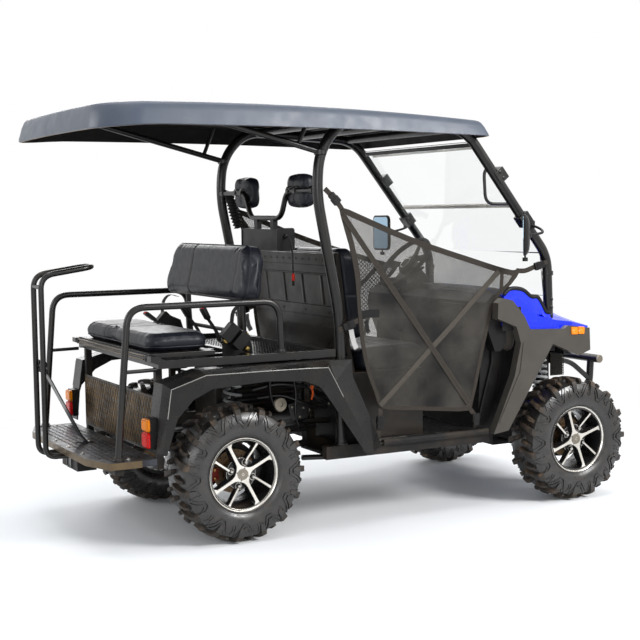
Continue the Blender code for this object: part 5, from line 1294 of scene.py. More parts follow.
def net(side_name, side):
    """Net cloth with its straps and buckles."""
    edge = smooth_path([(x, 0, z) for x, z in NET_EDGE], 2, closed=True)
    outline = [(p.x, p.z) for p in edge]
    form = Form(side)
    rims = [net_face(form, outline, lift) for lift in (NET_HALF_THICK, -NET_HALF_THICK)]
    form.bridge(*rims)
    cloth = form.done(f"net_{side_name}", NET, slot="net_cloth", replaces=[f"side_net_{side_name}"])
    straps = net_straps(side_name, side, outline)
    fastened = net_buckles(side_name, side)
    xs, zs = zip(*outline)
    max(xs) - min(xs)
    max(zs) - min(zs)


def net_hem(form, outline):
    """Bound edge of the net, wider along its top."""
    rings = []
    count = len(outline)
    for k, (x, z) in enumerate(outline):
        px, pz = outline[k - 1]
        nx, nz = outline[(k + 1) % count]
        run = Vector((nx - px, 0, nz - pz)).normalized()
        inward = Vector((-run.z, 0, run.x))
        if inward.dot(Vector((NET_MIDDLE[0] - x, 0, NET_MIDDLE[1] - z))) < 0:
            inward = -inward
        wide = 0.026 if z > 1.10 else 0.018
        edge = Vector((x, NET_Y + sag(x, z), z))
        up = Vector((0, 0.0022, 0))
        outer, inner = edge - inward * 0.001, edge + inward * wide
        rings.append([outer - up, outer + up, inner + up, inner - up])
    form.skin(rings, loop=True)


def crossed_strap(form, start, stop, out, colour):
    """Strap that follows the net's belly, with a stitched border on each edge."""
    path = []
    for step in range(17):
        t = step / 16
        x, z = start[0] + (stop[0] - start[0]) * t, start[1] + (stop[1] - start[1]) * t
        path.append(Vector((x, NET_Y + sag(x, z) + out, z)))
    across = Vector((-(stop[1] - start[1]), 0, stop[0] - start[0])).normalized()
    form.paint(colour).ribbon(path, 0.026, 0.0018, across)
    form.paint(1)
    for hand in (-1, 1):
        form.ribbon([p + across * 0.0118 * hand + Vector((0, 0.0008, 0)) for p in path], 0.0022, 0.0014,
                    across)


def net_straps(side_name, side, outline):
    form = Form(side)
    net_hem(form, outline)
    crossed_strap(form, (0.526, 1.434), (1.205, 0.520), 0.0046, 0)
    crossed_strap(form, (0.712, 0.550), (1.385, 1.150), 0.0026, 1)
    form.paint(0)
    form.ribbon([(1.405, NET_Y + 0.003, 1.158), (1.398, NET_Y + 0.003, 1.060)], 0.020, 0.0018, X_AXIS)
    return form.done(f"net_straps_{side_name}", [STRAP, STRAP_PALE], slot="net_cloth")


def net_buckles(side_name, side):
    """Short straps and buckles that tie the net to the cage and the sill."""
    form = Form(side)
    y = NET_Y
    ties = (
        [(0.530, y, 1.450), (0.500, y + 0.004, 1.488), (0.462, y + 0.006, 1.526), (0.436, y + 0.002, 1.552)],
        [(0.612, y, 0.955), (0.570, y + 0.006, 0.940), (0.530, y + 0.006, 0.925), (0.498, y + 0.002, 0.912)],
        [(0.715, y, 0.535), (0.712, y + 0.004, 0.500), (0.706, y, 0.440), (0.704, y - 0.002, 0.398)],
        [(1.215, y, 0.492), (1.240, y + 0.008, 0.455), (1.246, y + 0.006, 0.420), (1.240, y - 0.002, 0.398)],
        [(1.490, y, 1.150), (1.540, y + 0.004, 1.148), (1.600, y + 0.004, 1.166), (1.680, y, 1.188)],
    )
    for tie in ties:
        form.ribbon(smooth_path(tie, 4), 0.024, 0.0024, (tie[-1][2] - tie[0][2], 0, tie[0][0] - tie[-1][0]))
    form.paint(1)
    for centre, along in (((0.482, y + 0.007, 1.507), (-0.7, 0, 0.75)),
                          ((0.548, y + 0.009, 0.932), (-1, 0, -0.35)),
                          ((0.710, y + 0.006, 0.470), (-0.1, 0, -1)),
                          ((1.242, y + 0.010, 0.440), (0.05, 0, -1)),
                          ((1.625, y + 0.007, 1.172), (1, 0, 0.27))):
        buckle(form, centre, along, 0.038, 0.058)
    form.ribbon([(0.600, y + 0.003, 0.972), (0.655, y + 0.006, 0.980), (0.712, y + 0.006, 0.978)], 0.038,
                0.0022, (0, 0, 1))
    form.ribbon([(0.640, y + 0.006, 0.950), (0.648, y + 0.006, 0.905), (0.656, y + 0.004, 0.890)], 0.020,
                0.0016, (1, 0, 0))
    form.paint(2)
    form.ribbon([(0.562, y + 0.003, 0.912), (0.566, y + 0.006, 0.882), (0.574, y + 0.007, 0.850),
                 (0.588, y + 0.006, 0.822)],
                0.026, 0.0016, (1, 0, 0.2))
    return form.done(f"net_buckles_{side_name}", [STRAP, DARK, TAG], bevel=0.0006, segments=1,
                     slot="net_cloth")


# Seats

def rounded_rect(a0, a1, b0, b1, radius, steps=6):
    """Corner-rounded outline in two coordinates."""
    points = []
    for ca, cb, start in ((a1 - radius, b1 - radius, 0), (a0 + radius, b1 - radius, 90),
                          (a0 + radius, b0 + radius, 180), (a1 - radius, b0 + radius, 270)):
        for step in range(steps + 1):
            turn = math.radians(start + 90 * step / steps)
            points.append((ca + radius * math.cos(turn), cb + radius * math.sin(turn)))
    return points


def pillow(form, outline, low, high, edge):
    """Plate with rounded edges, between two heights: outline(inset, z) gives the loop at a height."""
    levels = ((low, edge), (low + edge * 0.3, edge * 0.35), (low + edge, 0.0), (high - edge, 0.0),
              (high - edge * 0.3, edge * 0.35), (high, edge))
    return form.skin([outline(inset, z) for z, inset in levels])


def tilted(outline_yz, base, lean):
    """Loops of an upright cushion that leans back: outline in Y and height, along the lean."""
    up = Vector((-math.sin(lean), 0, math.cos(lean)))
    out = Vector((math.cos(lean), 0, math.sin(lean)))
    def loop(depth, inset):
        return [Vector(base) + out * depth + up * h + Vector((0, y, 0)) for y, h in outline_yz(inset)]
    return loop


def rear_cushion():
    """Bench with two raised seats that meet in a hollow."""
    form = Form()
    def outline(inset, z):
        loop = rounded_rect(-0.375 + inset, -0.080 - inset, -0.458 + inset, 0.458 - inset, 0.062)
        points = []
        for x, y in loop:
            dip = 0.018 * math.exp(-((y - 0.06) / 0.12) ** 2) if z > 0.88 else 0.0
            points.append((x, y, z - dip))
        return points
    pillow(form, outline, 0.8520, 0.925, 0.027)
    pad = stuffed(form, "rear_seat_cushion", 0.007, [(1, 0.060, 0.014, 0.060), (1, 0.150, 0.003, 0.006)],
                  body="seat_lid", replaces=["rear_cushion"])
    piping = Form()
    loop = rounded_rect(-0.379, -0.076, -0.462, 0.462, 0.064, 8)
    piping.tube(hug(pad, [(x, y, 0.8610) for x, y in loop], 0.0012), 0.0030, 8, loop=True)
    piping.done("rear_cushion_piping", VINYL, "seat_lid", slot="vinyl")


def rear_backrest():
    """Leaning backrest with two piped edges and one pale seam."""
    lean = math.radians(12)
    base = (0.062, 0, 1.055)
    def outline(inset):
        points = []
        for y, h in rounded_rect(-0.503 + inset, 0.503 - inset, 0.004 + inset, 0.262 - inset, 0.062, 8):
            points.append((y * (1.0 - 0.47 * h), h))
        return points
    loop = tilted(outline, base, -lean)
    form = Form()
    rings = []
    for depth, inset in ((0.000, 0.022), (0.006, 0.008), (0.018, 0.0), (0.070, 0.0), (0.082, 0.008),
                         (0.088, 0.022)):
        rings.append(loop(depth, inset))
    form.skin(rings)
    pad = stuffed(form, "rear_seat_backrest", 0.008, [(1, 0.160, 0.0050, 0.005), (1, -0.370, 0.0030, 0.005)],
                  replaces=["rear_backrest"])
    seams = Form()
    for depth in (0.014, 0.066):
        seams.tube(hug(pad, loop(depth, -0.0040), 0.0006), 0.0024, 8, loop=True)
    up = Vector((math.sin(lean), 0, math.cos(lean)))
    foot = Vector(base) + Vector((-0.0068, 0.160, 0))
    line = [foot + up * (0.030 + 0.0342 * k) for k in range(7)]
    seams.paint(1).ribbon(hug(pad, line, 0.0004), 0.0028, 0.0014, (0, 1, 0))
    seams.done("rear_backrest_piping", [VINYL, STRAP_PALE], slot="vinyl")


def front_cushion():
    """Bench cushion that rises a little towards its front edge."""
    form = Form()
    def outline(inset, z):
        points = []
        for x, y in rounded_rect(0.668 + inset, 1.026 - inset, -0.477 + inset, 0.477 - inset, 0.05):
            rise = 0.010 * (x - 0.668) / 0.36
            points.append((x, y, z + (rise if z > 0.77 else 0.0)))
        return points
    pillow(form, outline, 0.703, 0.800, 0.022)
    stuffed(form, "front_seat_cushion", 0.008,
            [(1, 0.0, 0.007, 0.007), (1, 0.25, 0.004, 0.005), (1, -0.25, 0.004, 0.005),
             (0, 0.850, 0.004, 0.005)],
            replaces=["front_cushion"])


# Share of the way from the rear face to the front one, and inset of the outline
BACKREST_SECTION = ((0.0, 0.020), (0.10, 0.005), (0.25, 0.0), (0.75, 0.0), (0.90, 0.005), (1.0, 0.020))


def front_backrest():
    """Backrest that narrows towards its top edge."""
    form = Form()
    def loop(share, inset):
        points = []
        for y, h in rounded_rect(-0.460 + inset, 0.460 - inset, 0.846 + inset, 1.284 - inset, 0.06):
            t = (h - 0.846) / 0.438
            x0, x1 = 0.618 - 0.052 * t, 0.716 - 0.066 * t
            points.append((x0 + (x1 - x0) * share, y, h))
        return points
    form.skin([loop(share, inset) for share, inset in BACKREST_SECTION])
    stuffed(form, "front_seat_backrest", 0.008,
            [(1, 0.0, 0.007, 0.007), (1, 0.25, 0.004, 0.005), (1, -0.25, 0.004, 0.005),
             (2, 1.06, 0.004, 0.005)],
            replaces=["front_backrest"])


HEADREST_X = 0.412
HEADREST_Z = 1.548
HEADREST_Y = 0.300
CLIP_LINE = ((-0.016, 1.535), (-0.0165, 1.552), (-0.008, 1.567), (0.002, 1.569), (0.012, 1.562))


def headrests():
    """W-shaped tube between the hoops, with a stuffed pad at each seat."""
    form = Form()
    x = HEADREST_X
    dipped = [(-0.535, HEADREST_Z), (-0.235, HEADREST_Z), (-0.170, 1.422), (0.170, 1.422),
              (0.235, HEADREST_Z),
              (0.535, HEADREST_Z)]
    form.tube(bent([(x, y, z) for y, z in dipped], 0.05, 8), 0.0130, 24)
    for y in (-0.500, 0.500):
        form.turned([(-0.016, 0.0145), (-0.014, 0.0185), (0.014, 0.0185), (0.016, 0.0145)],
                    (x, y, HEADREST_Z),
                    sides=28)
    for side in (-1, 1):
        for y in (HEADREST_Y - 0.035, HEADREST_Y + 0.035):
            form.ribbon([(x + ahead, y * side, z) for ahead, z in CLIP_LINE], 0.022, 0.003, Y_AXIS)
        form.paint(1)
        form.turned([(0.0, 0.014), (-0.003, 0.014), (-0.004, 0.010), (-0.001, 0.009), (-0.001, 0.0)],
                    (0.4190, HEADREST_Y * side, 1.515), X_AXIS, 28)
        form.paint(0)
    form.done("headrest_tube", [BLACK, DARK], slot="black_steel", replaces=["headrest_bar"])
    for side_name, side in SIDES:
        headrest_pad(side_name, HEADREST_Y * side)


def headrest_pad(side_name, y_middle):
    pad = Form()
    rings = []
    for x, inset in ((0.4200, 0.018), (0.4270, 0.004), (0.450, 0.0), (0.478, 0.004), (0.4880, 0.020)):
        loop = rounded_rect(y_middle - 0.096 + inset, y_middle + 0.096 - inset, 1.472 + inset,
                            1.624 - inset, 0.034)
        rings.append([(x, y, z) for y, z in loop])
    pad.skin(rings)
    stuffed(pad, f"headrest_pad_{side_name}", 0.004, [(1, y_middle, 0.002, 0.004)], voxel=0.006)


# Rear deck and platform

def lozenge(form, centre, along, across, up, length, width, height):
    """Raised lens-shaped bar of rolled plate."""
    centre = Vector(centre)
    rings = []
    for t, lift in ((-1.0, 0.0), (-0.62, 0.62), (0.0, 1.0), (0.62, 0.62), (1.0, 0.0)):
        half = width / 2 * max(1 - t * t, 0.04)
        point = centre + along * t * length / 2
        top = up * height * max(lift, 0.08)
        rings.append([point - across * half - up * 0.0004, point + across * half - up * 0.0004,
                      point + across * half * 0.45 + top, point - across * half * 0.45 + top])
    form.skin(rings)


def inside(outline, x, y):
    """Whether a point lies within an outline."""
    count = 0
    for (ax, ay), (bx, by) in zip(outline, outline[1:] + outline[:1]):
        if (ay > y) != (by > y) and x < (bx - ax) * (y - ay) / (by - ay) + ax:
            count += 1
    return count % 2 == 1


def tread_field(form, outline, place, along, across, up, pitch=0.030):
    """Rows of crossed lozenges over an outline; place turns its two coordinates into a point."""
    us = [p[0] for p in outline]
    vs = [p[1] for p in outline]
    rows = int((max(us) - min(us)) / pitch)
    columns = int((max(vs) - min(vs)) / pitch)
    for i in range(rows + 1):
        for j in range(columns + 1):
            u, v = min(us) + pitch * (i + 0.5), min(vs) + pitch * (j + 0.5)
            reach = 0.55 * pitch
            if not all(inside(outline, u + du, v + dv) for du in (-reach, reach) for dv in (-reach, reach)):
                continue
            slant = 1 if (i + j) % 2 else -1
            direction = (along + across * slant).normalized()
            sideways = direction.cross(up).normalized()
            lozenge(form, place(u, v), direction, sideways, up, pitch * 0.86, pitch * 0.26, 0.0022)


PLATFORM_OUTLINE = [(-0.645, -0.405), (-0.645, 0.405), (-0.592, 0.562), (-0.470, 0.562), (-0.407, 0.500),
                    (-0.407, -0.500), (-0.470, -0.562), (-0.592, -0.562)]


def platform():
    """Rolled tread and bolts of the foot platform."""
    dress("foot_platform", PLATE, 0.0012)
    form = Form()
    tread_field(form, PLATFORM_OUTLINE, lambda u, v: (u, v, PLATFORM_Z), X_AXIS, Y_AXIS, Z_AXIS, 0.027)
    form.done("platform_tread", PLATE, slot="black_steel")
    bolts = Form()
    for y in (-0.30, -0.10, 0.10, 0.30):
        bolts.bolt((-0.632, y, PLATFORM_Z), (0, 0, 1), 0.0075)
    for y in (-0.525, 0.525):
        bolts.bolt((-0.500, y, PLATFORM_Z), (0, 0, 1), 0.0075)
    bolts.done("platform_bolts", CHROME, slot="black_steel")


RAIL_TOP_Z = 1.056
GRAB_Y = 0.060
GRAB_TOP = (-0.531, 1.208)


def hand_rails():
    """Rail with a flanged foot at each end and a stay to the seat base, on each side."""
    for side_name, side in SIDES:
        rail = Form()
        y = HANDRAIL_Y * side
        line = [(-0.555, y, 0.3856), (-0.495, y, RAIL_TOP_Z), (0.212, y, RAIL_TOP_Z), (0.222, y, 0.8246)]
        rail.tube(bent(line, 0.080, 10), 0.0150, 26)
        for x, z in ((-0.5525, 0.4105), (0.2218, 0.8266)):
            rail.turned([(0.0, 0.026), (0.005, 0.026), (0.006, 0.021), (0.014, 0.020)], (x, y, z), Z_AXIS, 32)
        rail.tube([(-0.517, y, 0.785), (-0.375, y, 0.7870)], 0.0085, 18)
        rail.done(f"handrail_tube_{side_name}", BLACK, slot="black_steel", replaces=[f"handrail_{side_name}"])


def grab_bar():
    """Tall loop behind the platform, with its plate and brace."""
    form = Form()
    top_x, top_z = GRAB_TOP
    leg = bent([(-0.5753, GRAB_Y, 0.3665), (-0.726, GRAB_Y, 0.3665), (-0.726, GRAB_Y, 1.180),
                (top_x, GRAB_Y, top_z)], [0.05, 0.06], 8)
    arc = []
    for step in range(1, 12):
        turn = math.pi * step / 12
        arc.append((top_x + 0.055 * math.sin(turn), GRAB_Y * math.cos(turn), top_z + 0.008 * math.sin(turn)))
    back = [(p[0], -p[1], p[2]) for p in reversed(leg)]
    form.tube(leg + arc + back, 0.0125, 24)
    form.tube([(-0.7265, -0.056, 1.130), (-0.7265, 0.056, 1.130)], 0.0095, 18)
    form.sheet_x(rounded_rect(-0.078, 0.078, 0.741, 0.797, 0.008), -0.7125, -0.7095)
    brace = [(-0.7110, 0, 0.768), (-0.700, 0, 0.745), (-0.545, 0, 0.440), (-0.520, 0, 0.4125),
             (-0.495, 0, 0.4125)]
    form.ribbon(bent(brace, [0.012, 0.02, 0.012], 5), 0.060, 0.005, Y_AXIS)
    form.done("grab_bar_tube", BLACK, slot="black_steel", replaces=["grab_bar"])
    bolts = Form()
    for y in (-0.060, 0.060):
        bolts.bolt((-0.7125, y, 0.769), (-1, 0, 0), 0.0075)
    for y in (-0.016, 0.016):
        bolts.bolt((-0.508, y, 0.4152), Z_AXIS, 0.0065)
    bolts.done("grab_bar_bolts", CHROME, slot="black_steel")


def tail_lamps():
    """Housing with an amber lens above a red one."""
    for side_name, side in SIDES:
        form = Form(side)
        low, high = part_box(f"tail_lamp_{side_name}")
        x0, x1 = low.x - ORIGIN_X, high.x - ORIGIN_X
        y0, y1 = sorted((abs(low.y), abs(high.y)))
        z0, z1 = low.z, high.z
        middle = z0 + (z1 - z0) * 0.55
        form.sheet_x(rounded_rect(y0, y1, z0, z1, 0.012), x0 + 0.016, x1)
        for paint, foot, head in ((1, middle + 0.0015, z1 - 0.004), (2, z0 + 0.004, middle - 0.0015)):
            form.paint(paint)
            rings = []
            for depth, i in ((0.018, 0.0), (0.006, 0.0005), (0.001, 0.006)):
                loop = rounded_rect(y0 + 0.004 + i, y1 - 0.004 - i, foot + i, head - i, 0.012 - i)
                rings.append([(x0 + depth, y, z) for y, z in loop])
            form.skin(rings)
        form.done(f"tail_lamp_set_{side_name}", [DARK, AMBER, RED], bevel=0.0008, slot="lamp_red",
                  replaces=[f"tail_lamp_{side_name}"])


# Suspension and steering

def helix(form, low, high, radius, wire, turns):
    low, high = Vector(low), Vector(high)
    axis = (high - low).normalized()
    guide = Vector((0, 1, 0)) if abs(axis.y) < 0.9 else Vector((1, 0, 0))
    u = axis.cross(guide).normalized()
    v = axis.cross(u)
    path = []
    steps = int(turns * 18)
    for k in range(steps + 1):
        t = k / steps
        turn = 2 * math.pi * turns * t
        rise = t + 0.018 * math.sin(2 * math.pi * t)
        path.append(low + (high - low) * rise + (u * math.cos(turn) + v * math.sin(turn)) * radius)
    form.tube(path, wire, 10)


def shocks():
    """Damper with its two cups and its coil, at each corner."""
    places = (("front", (1.785, 0.385, 0.4243), (1.785, 0.347, 0.7477), SPRING_WHITE, 0.0350, 0.0072, 7.5),
              ("rear", (0.075, 0.325, 0.3163), (0.075, 0.325, 0.7347), SPRING_GREY, 0.0370, 0.0068, 8.0))
    for end, low, high, paint, coil, wire, turns in places:
        for side_name, side in SIDES:
            form = Form(side)
            bottom, top = Vector(low), Vector(high)
            axis = (top - bottom).normalized()
            span = (top - bottom).length
            cup = coil + 0.004
            form.turned([(0.0, 0.012), (0.004, 0.018), (span * 0.10, 0.019), (span * 0.11, cup),
                         (span * 0.13, cup),
                         (span * 0.14, 0.0215), (span * 0.52, 0.0215), (span * 0.53, 0.008),
                         (span * 0.86, 0.008),
                         (span * 0.87, cup), (span * 0.90, cup), (span * 0.91, 0.016), (span - 0.002, 0.012)],
                        bottom, axis, 28)
            form.paint(1)
            helix(form, bottom + axis * span * 0.14, bottom + axis * span * 0.86, coil, wire, turns)
            form.done(f"shock_{end}_{side_name}_coil", [DARK, paint], slot="spring_steel",
                      replaces=[f"shock_{end}_{side_name}"])


SPOKE_SECTIONS = ((0.030, 0.024, 0.006, 0.030), (0.080, 0.014, 0.0045, 0.022), (0.130, 0.011, 0.0045, 0.008),
                  (0.160, 0.014, 0.0050, 0.0))
STEER_AXIS = Vector((-math.cos(WHEEL_TILT), 0, math.sin(WHEEL_TILT)))


def steering():
    """Steering wheel with its grip, three spokes and hub."""
    axis = STEER_AXIS
    u = Y_AXIS
    v = axis.cross(u).normalized()
    form = Form()
    rim = []
    for k in range(72):
        turn = 2 * math.pi * k / 72
        rim.append(STEER_HUB + (u * math.cos(turn) + v * math.sin(turn)) * (STEER_R - 0.0135))
    form.tube(rim, 0.0132, 16, loop=True)
    for turn in (math.radians(0), math.radians(180), math.radians(270)):
        out = u * math.cos(turn) + v * math.sin(turn)
        wide = axis.cross(out)
        form.skin([bar_ring(STEER_HUB + out * t - axis * drop, wide, axis, half, thick)
                   for t, half, thick, drop in SPOKE_SECTIONS])
    form.turned([(-0.050, 0.030), (-0.046, 0.050), (-0.020, 0.058), (-0.008, 0.050), (-0.004, 0.034),
                 (-0.003, 0.0)],
                STEER_HUB, axis, 48)
    form.paint(1)
    form.turned([(-0.006, 0.033), (0.000, 0.0335), (0.0005, 0.0290), (-0.006, 0.0285)], STEER_HUB, axis, 48,
                loop=True)
    form.done("steering_grip", [GRIP, CHROME], "steering", slot="dark_plastic", replaces=["steering_wheel"])


BULL_Y = 0.265
BULL_TOP = (2.200, 0.650)
BULL_HALF = 0.336


def bull_bar():
    """Two uprights with braces, a capped top tube and a cross tube."""
    form = Form()
    x, z = BULL_TOP
    for side in (-1, 1):
        y = BULL_Y * side
        form.tube(bent([(1.9606, y, 0.350), (2.140, y, 0.370), (2.190, y, 0.500), (x, y, 0.645)], 0.06, 8),
                  0.019, 24)
        form.tube(bent([(1.9600, y, 0.655), (2.060, y, 0.640), (2.182, y, 0.545)], 0.05, 6), 0.0135, 20)
    form.tube([(x, -BULL_HALF, z), (x, BULL_HALF, z)], 0.0212, 30)
    form.tube([(2.188, -0.262, 0.470), (2.188, 0.262, 0.470)], 0.0150, 24)
    form.paint(1)
    for side in (-1, 1):
        form.turned([(0.0, 0.0214), (0.003 * side, 0.0214), (0.006 * side, 0.0175), (0.0065 * side, 0.0)],
                    (x, BULL_HALF * side, z), sides=32)
    form.done("bull_bar_tubes", [BLACK, CAP_GREY], slot="black_steel", replaces=["bull_bar"])


# Material, bevel and its steps for the nodes whose shape stays
CAD_FINISH = (
    (CHASSIS, 0.0014, 2, ("frame", "front_suspension", "rear_axle", "knuckle_right", "knuckle_left")),
    (CLEAR, 0.0006, 1, ("windshield_upper", "windshield_lower")),
    (BLUE, 0.004, 3, ("hood",)),
    (NOSE, 0.004, 3, ("nose_panel",)),
    (FENDER, 0.0050, 3, ("rear_fender_right", "rear_fender_left")),
    (COWL, 0.0045, 3, ("front_fender_right", "front_fender_left")),
    (DARK, 0.0025, 3, ("dash", "floor_pan")),
    (WHITE_LENS, 0.003, 3, ("headlamp_right", "headlamp_left")),
    (SEAT_STEEL, 0.002, 2, ("front_seat_frame",)),
    (BLACK, 0.0015, 2, ("rear_seat_base", "rear_seat_lid")),
    (KICK, 0.0012, 2, ("kick_panel",)),
    (CHASSIS, 0.004, 3, ("engine",)),
)


def dress_cad():
    for material, bevel, segments, nodes in CAD_FINISH:
        for node in nodes:
            dress(node, material, bevel, segments)


# Fittings

def perforated(form, corner, u, v, size, pitch, radius, thick):
    """Plate of square cells, each with a round hole: corner, directions and size give its place."""
    corner, u, v = Vector(corner), Vector(u).normalized(), Vector(v).normalized()
    out = u.cross(v)
    columns, rows = max(int(size[0] / pitch), 1), max(int(size[1] / pitch), 1)
    for i in range(columns):
        for j in range(rows):
            centre = corner + u * pitch * (i + 0.5) + v * pitch * (j + 0.5)
            square, hole = [], []
            for k in range(12):
                turn = 2 * math.pi * k / 12 + math.pi / 4
                a, b = math.cos(turn), math.sin(turn)
                reach = pitch / 2 / max(abs(a), abs(b))
                square.append(centre + (u * a + v * b) * reach)
                hole.append(centre + (u * a + v * b) * radius)
            lift = out * thick
            form.skin([square, hole, [p + lift for p in hole], [p + lift for p in square]], loop=True)


def expanded_mesh(form, x0, x1, y0, y1, z, pitch=0.030):
    """Expanded steel: two sets of slanted strands."""
    span = (x1 - x0) * 2.2
    count = int((y1 - y0 + span) / pitch)
    for k in range(count):
        for hand in (1, -1):
            start = y0 - span + pitch * (k + 0.5)
            first = max((y0 - start) / span, 0.0)
            last = min((y1 - start) / span, 1.0)
            if last - first < 0.05:
                continue
            path = [(x0 + (x1 - x0) * t, (start + span * t) * hand, z) for t in (first, last)]
            form.ribbon(path, 0.0032, 0.0018, (0.4, -hand, 0))


def seat_back_x(z):
    """Rear face of the seat's steel back."""
    if z > 0.900:
        return 0.578 + (0.540 - 0.578) * (z - 0.900) / 0.360
    return 0.615 + (0.578 - 0.615) * (z - 0.690) / 0.210


def seat_back_details():
    """Folded strips, uprights and clips on the rear face of the seat's steel back."""
    form = Form()
    def strip(z0, z1, half, proud):
        form.skin([[(seat_back_x(z) - d, y, z)
                    for z, d in ((z0, -0.0003), (z0 + 0.003, proud), (z1 - 0.003, proud),
                                                             (z1, -0.0003))] for y in (-half, half)])
    strip(1.196, 1.256, 0.462, 0.006)
    strip(1.150, 1.160, 0.462, 0.004)
    strip(0.952, 1.006, 0.462, 0.007)
    strip(0.760, 0.775, 0.470, 0.005)
    for y in (-0.30, -0.10, 0.10, 0.30):
        form.skin([[(seat_back_x(z) - d, y + w, z)
                    for w, d in ((-0.016, -0.0003), (-0.009, 0.0035), (0.009, 0.0035),
                                                                 (0.016, -0.0003))] for z in (1.010, 1.148)])
    form.paint(1)
    for k in range(13):
        y = -0.42 + 0.07 * k
        form.turned([(0.0, 0.0075), (0.0008, 0.0075), (0.0008, 0.0052), (0.0001, 0.0050), (0.0001, 0.0)],
                    (seat_back_x(1.226) - 0.006, y, 1.226), (-1, 0, 0), 20)
    for y in (-0.36, -0.12, 0.12, 0.36):
        form.turned([(0.0, 0.0100), (0.0008, 0.0100), (0.0008, 0.0072), (0.0001, 0.0070), (0.0001, 0.0)],
                    (seat_back_x(0.980) - 0.007, y, 0.980), (-1, 0, 0), 20)
    form.done("seat_back_ribs", [SEAT_STEEL, DARK], slot="black_steel")


def deck_details():
    """Expanded tray with its bearers, and the trim lines and end knobs along the seat's rear edge."""
    form = Form()
    expanded_mesh(form, 0.125, 0.485, -0.455, 0.455, 0.8003)
    form.box((0.100, -0.470, 0.7925), (0.485, 0.470, 0.7960))
    for y in (-0.300, -0.100, 0.100, 0.300):
        form.box((-0.345, y - 0.016, 0.7910), (0.090, y + 0.016, 0.8140))
    form.box((-0.060, -0.480, 0.7912), (0.100, 0.480, 0.7990))
    form.done("tray_mesh", BLACK, angle=20, slot="black_steel")
    x_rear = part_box("rear_seat_base")[0].x - ORIGIN_X
    # The trim lines are drawn in lit steel, a painted highlight.
    trims = Form()
    for z in (0.8240, 0.8400):
        trims.tube([(x_rear + 0.0030, -0.455, z), (x_rear + 0.0030, 0.455, z)], 0.0028, 10)
    trims.paint(1)
    for side in (-1, 1):
        trims.turned([(0.0, 0.010), (0.002, 0.0125), (0.009, 0.0125), (0.0115, 0.009), (0.0118, 0.0)],
                     (x_rear + 0.012, 0.478 * side, 0.830), (-1, 0, 0.0), 28)
    trims.done("seat_rail_trim", [PAINTED_LIT_STEEL, DARK], "seat_lid", slot="black_steel")


def belt_buckle(form, foot, head):
    """Stalk of webbing that carries a buckle with a red button."""
    foot, head = Vector(foot), Vector(head)
    along = (head - foot).normalized()
    across = Y_AXIS
    form.paint(0)
    middle = (foot + head) / 2 + Vector((0.012, 0, -0.006))
    form.ribbon(smooth_path([foot, middle, head], 5), 0.038, 0.004, across)
    form.paint(1)
    rings = []
    up = along.cross(across)
    for t, half, thick in ((-0.004, 0.016, 0.007), (0.004, 0.021, 0.0105), (0.052, 0.022, 0.0115),
                           (0.060, 0.020, 0.0095)):
        rings.append(ring_of(head + along * t, across, up,
                             rounded_rect(-half, half, -thick, thick, 0.005, 3)))
    form.skin(rings)
    form.paint(2)
    rings = []
    for t, half, thick in ((0.054, 0.0135, 0.0055), (0.062, 0.0135, 0.0055), (0.0635, 0.0115, 0.0040)):
        rings.append(ring_of(head + along * t, across, up,
                             rounded_rect(-half, half, -thick, thick, 0.003, 3)))
    form.skin(rings)


def belt_reel(side_name, side):
    """Two tilted reel cases on a bracket, with the end of the belt."""
    reel = Form(side)
    lean = math.radians(47)
    case = [(a * math.cos(lean) - b * math.sin(lean), a * math.sin(lean) + b * math.cos(lean))
            for a, b in rounded_rect(-0.041, 0.041, -0.025, 0.025, 0.006)]
    for x, z, near in ((0.026, 0.917, 0.436), (0.071, 0.879, 0.452)):
        reel.paint(0)
        reel.slab([(x + a, z + b) for a, b in case], near - 0.045, near)
    reel.paint(1)
    for x, z, y in ((0.113, 0.837, 0.404), (0.010, 0.877, 0.404)):
        reel.turned([(0.0, 0.013), (0.010, 0.0125), (0.014, 0.009), (0.015, 0.0)], (x, y, z), sides=28)
    for x, z in ((0.052, 0.938), (0.112, 0.905)):
        reel.bolt((x, 0.420, z), Y_AXIS, 0.0045)
    reel.paint(2)
    end = [(0.030, 0.428, 0.950), (0.040, 0.430, 1.010), (0.075, 0.436, 1.040), (0.120, 0.440, 1.030)]
    reel.ribbon(smooth_path(end, 5), 0.040, 0.0016, Y_AXIS)
    reel.paint(0)
    bracket = [(-0.006, 0.8005), (0.142, 0.8005), (0.142, 0.840), (0.118, 0.915), (0.050, 0.945),
               (-0.006, 0.900)]
    reel.slab(bracket, 0.400, 0.404)
    reel.done(f"belt_reel_{side_name}", [DARK, BRASS, BELT], bevel=0.0008, slot="dark_plastic")


def belts():
    form = Form()
    for y, head in ((-0.300, (-0.040, -0.325, 0.975)), (-0.080, (-0.035, -0.081, 0.970)),
                    (0.300, (-0.040, 0.352, 0.925))):
        belt_buckle(form, (0.028, y, 0.862), head)
    form.done("rear_belt_buckles", [BELT, DARK, RED_PART], slot="vinyl")
    for side_name, side in SIDES:
        belt_reel(side_name, side)


MIRROR_AT = Vector((1.455, 0.672, 1.325))
MIRROR_TURNS = {"right": math.radians(37), "left": math.radians(4)}
MIRROR_HALF = (0.080, 0.099)
MIRROR_FOOT = (1.572, 1.372)


def mirror_rings(look, across, sections, radius):
    """Rounded rectangles square to the mirror's look: each lies a depth behind it, trimmed all round."""
    rings = []
    for depth, trim in sections:
        a, b = MIRROR_HALF[0] - trim, MIRROR_HALF[1] - trim
        rings.append(ring_of(MIRROR_AT - look * depth, across, Z_AXIS, rounded_rect(-a, a, -b, b, radius)))
    return rings


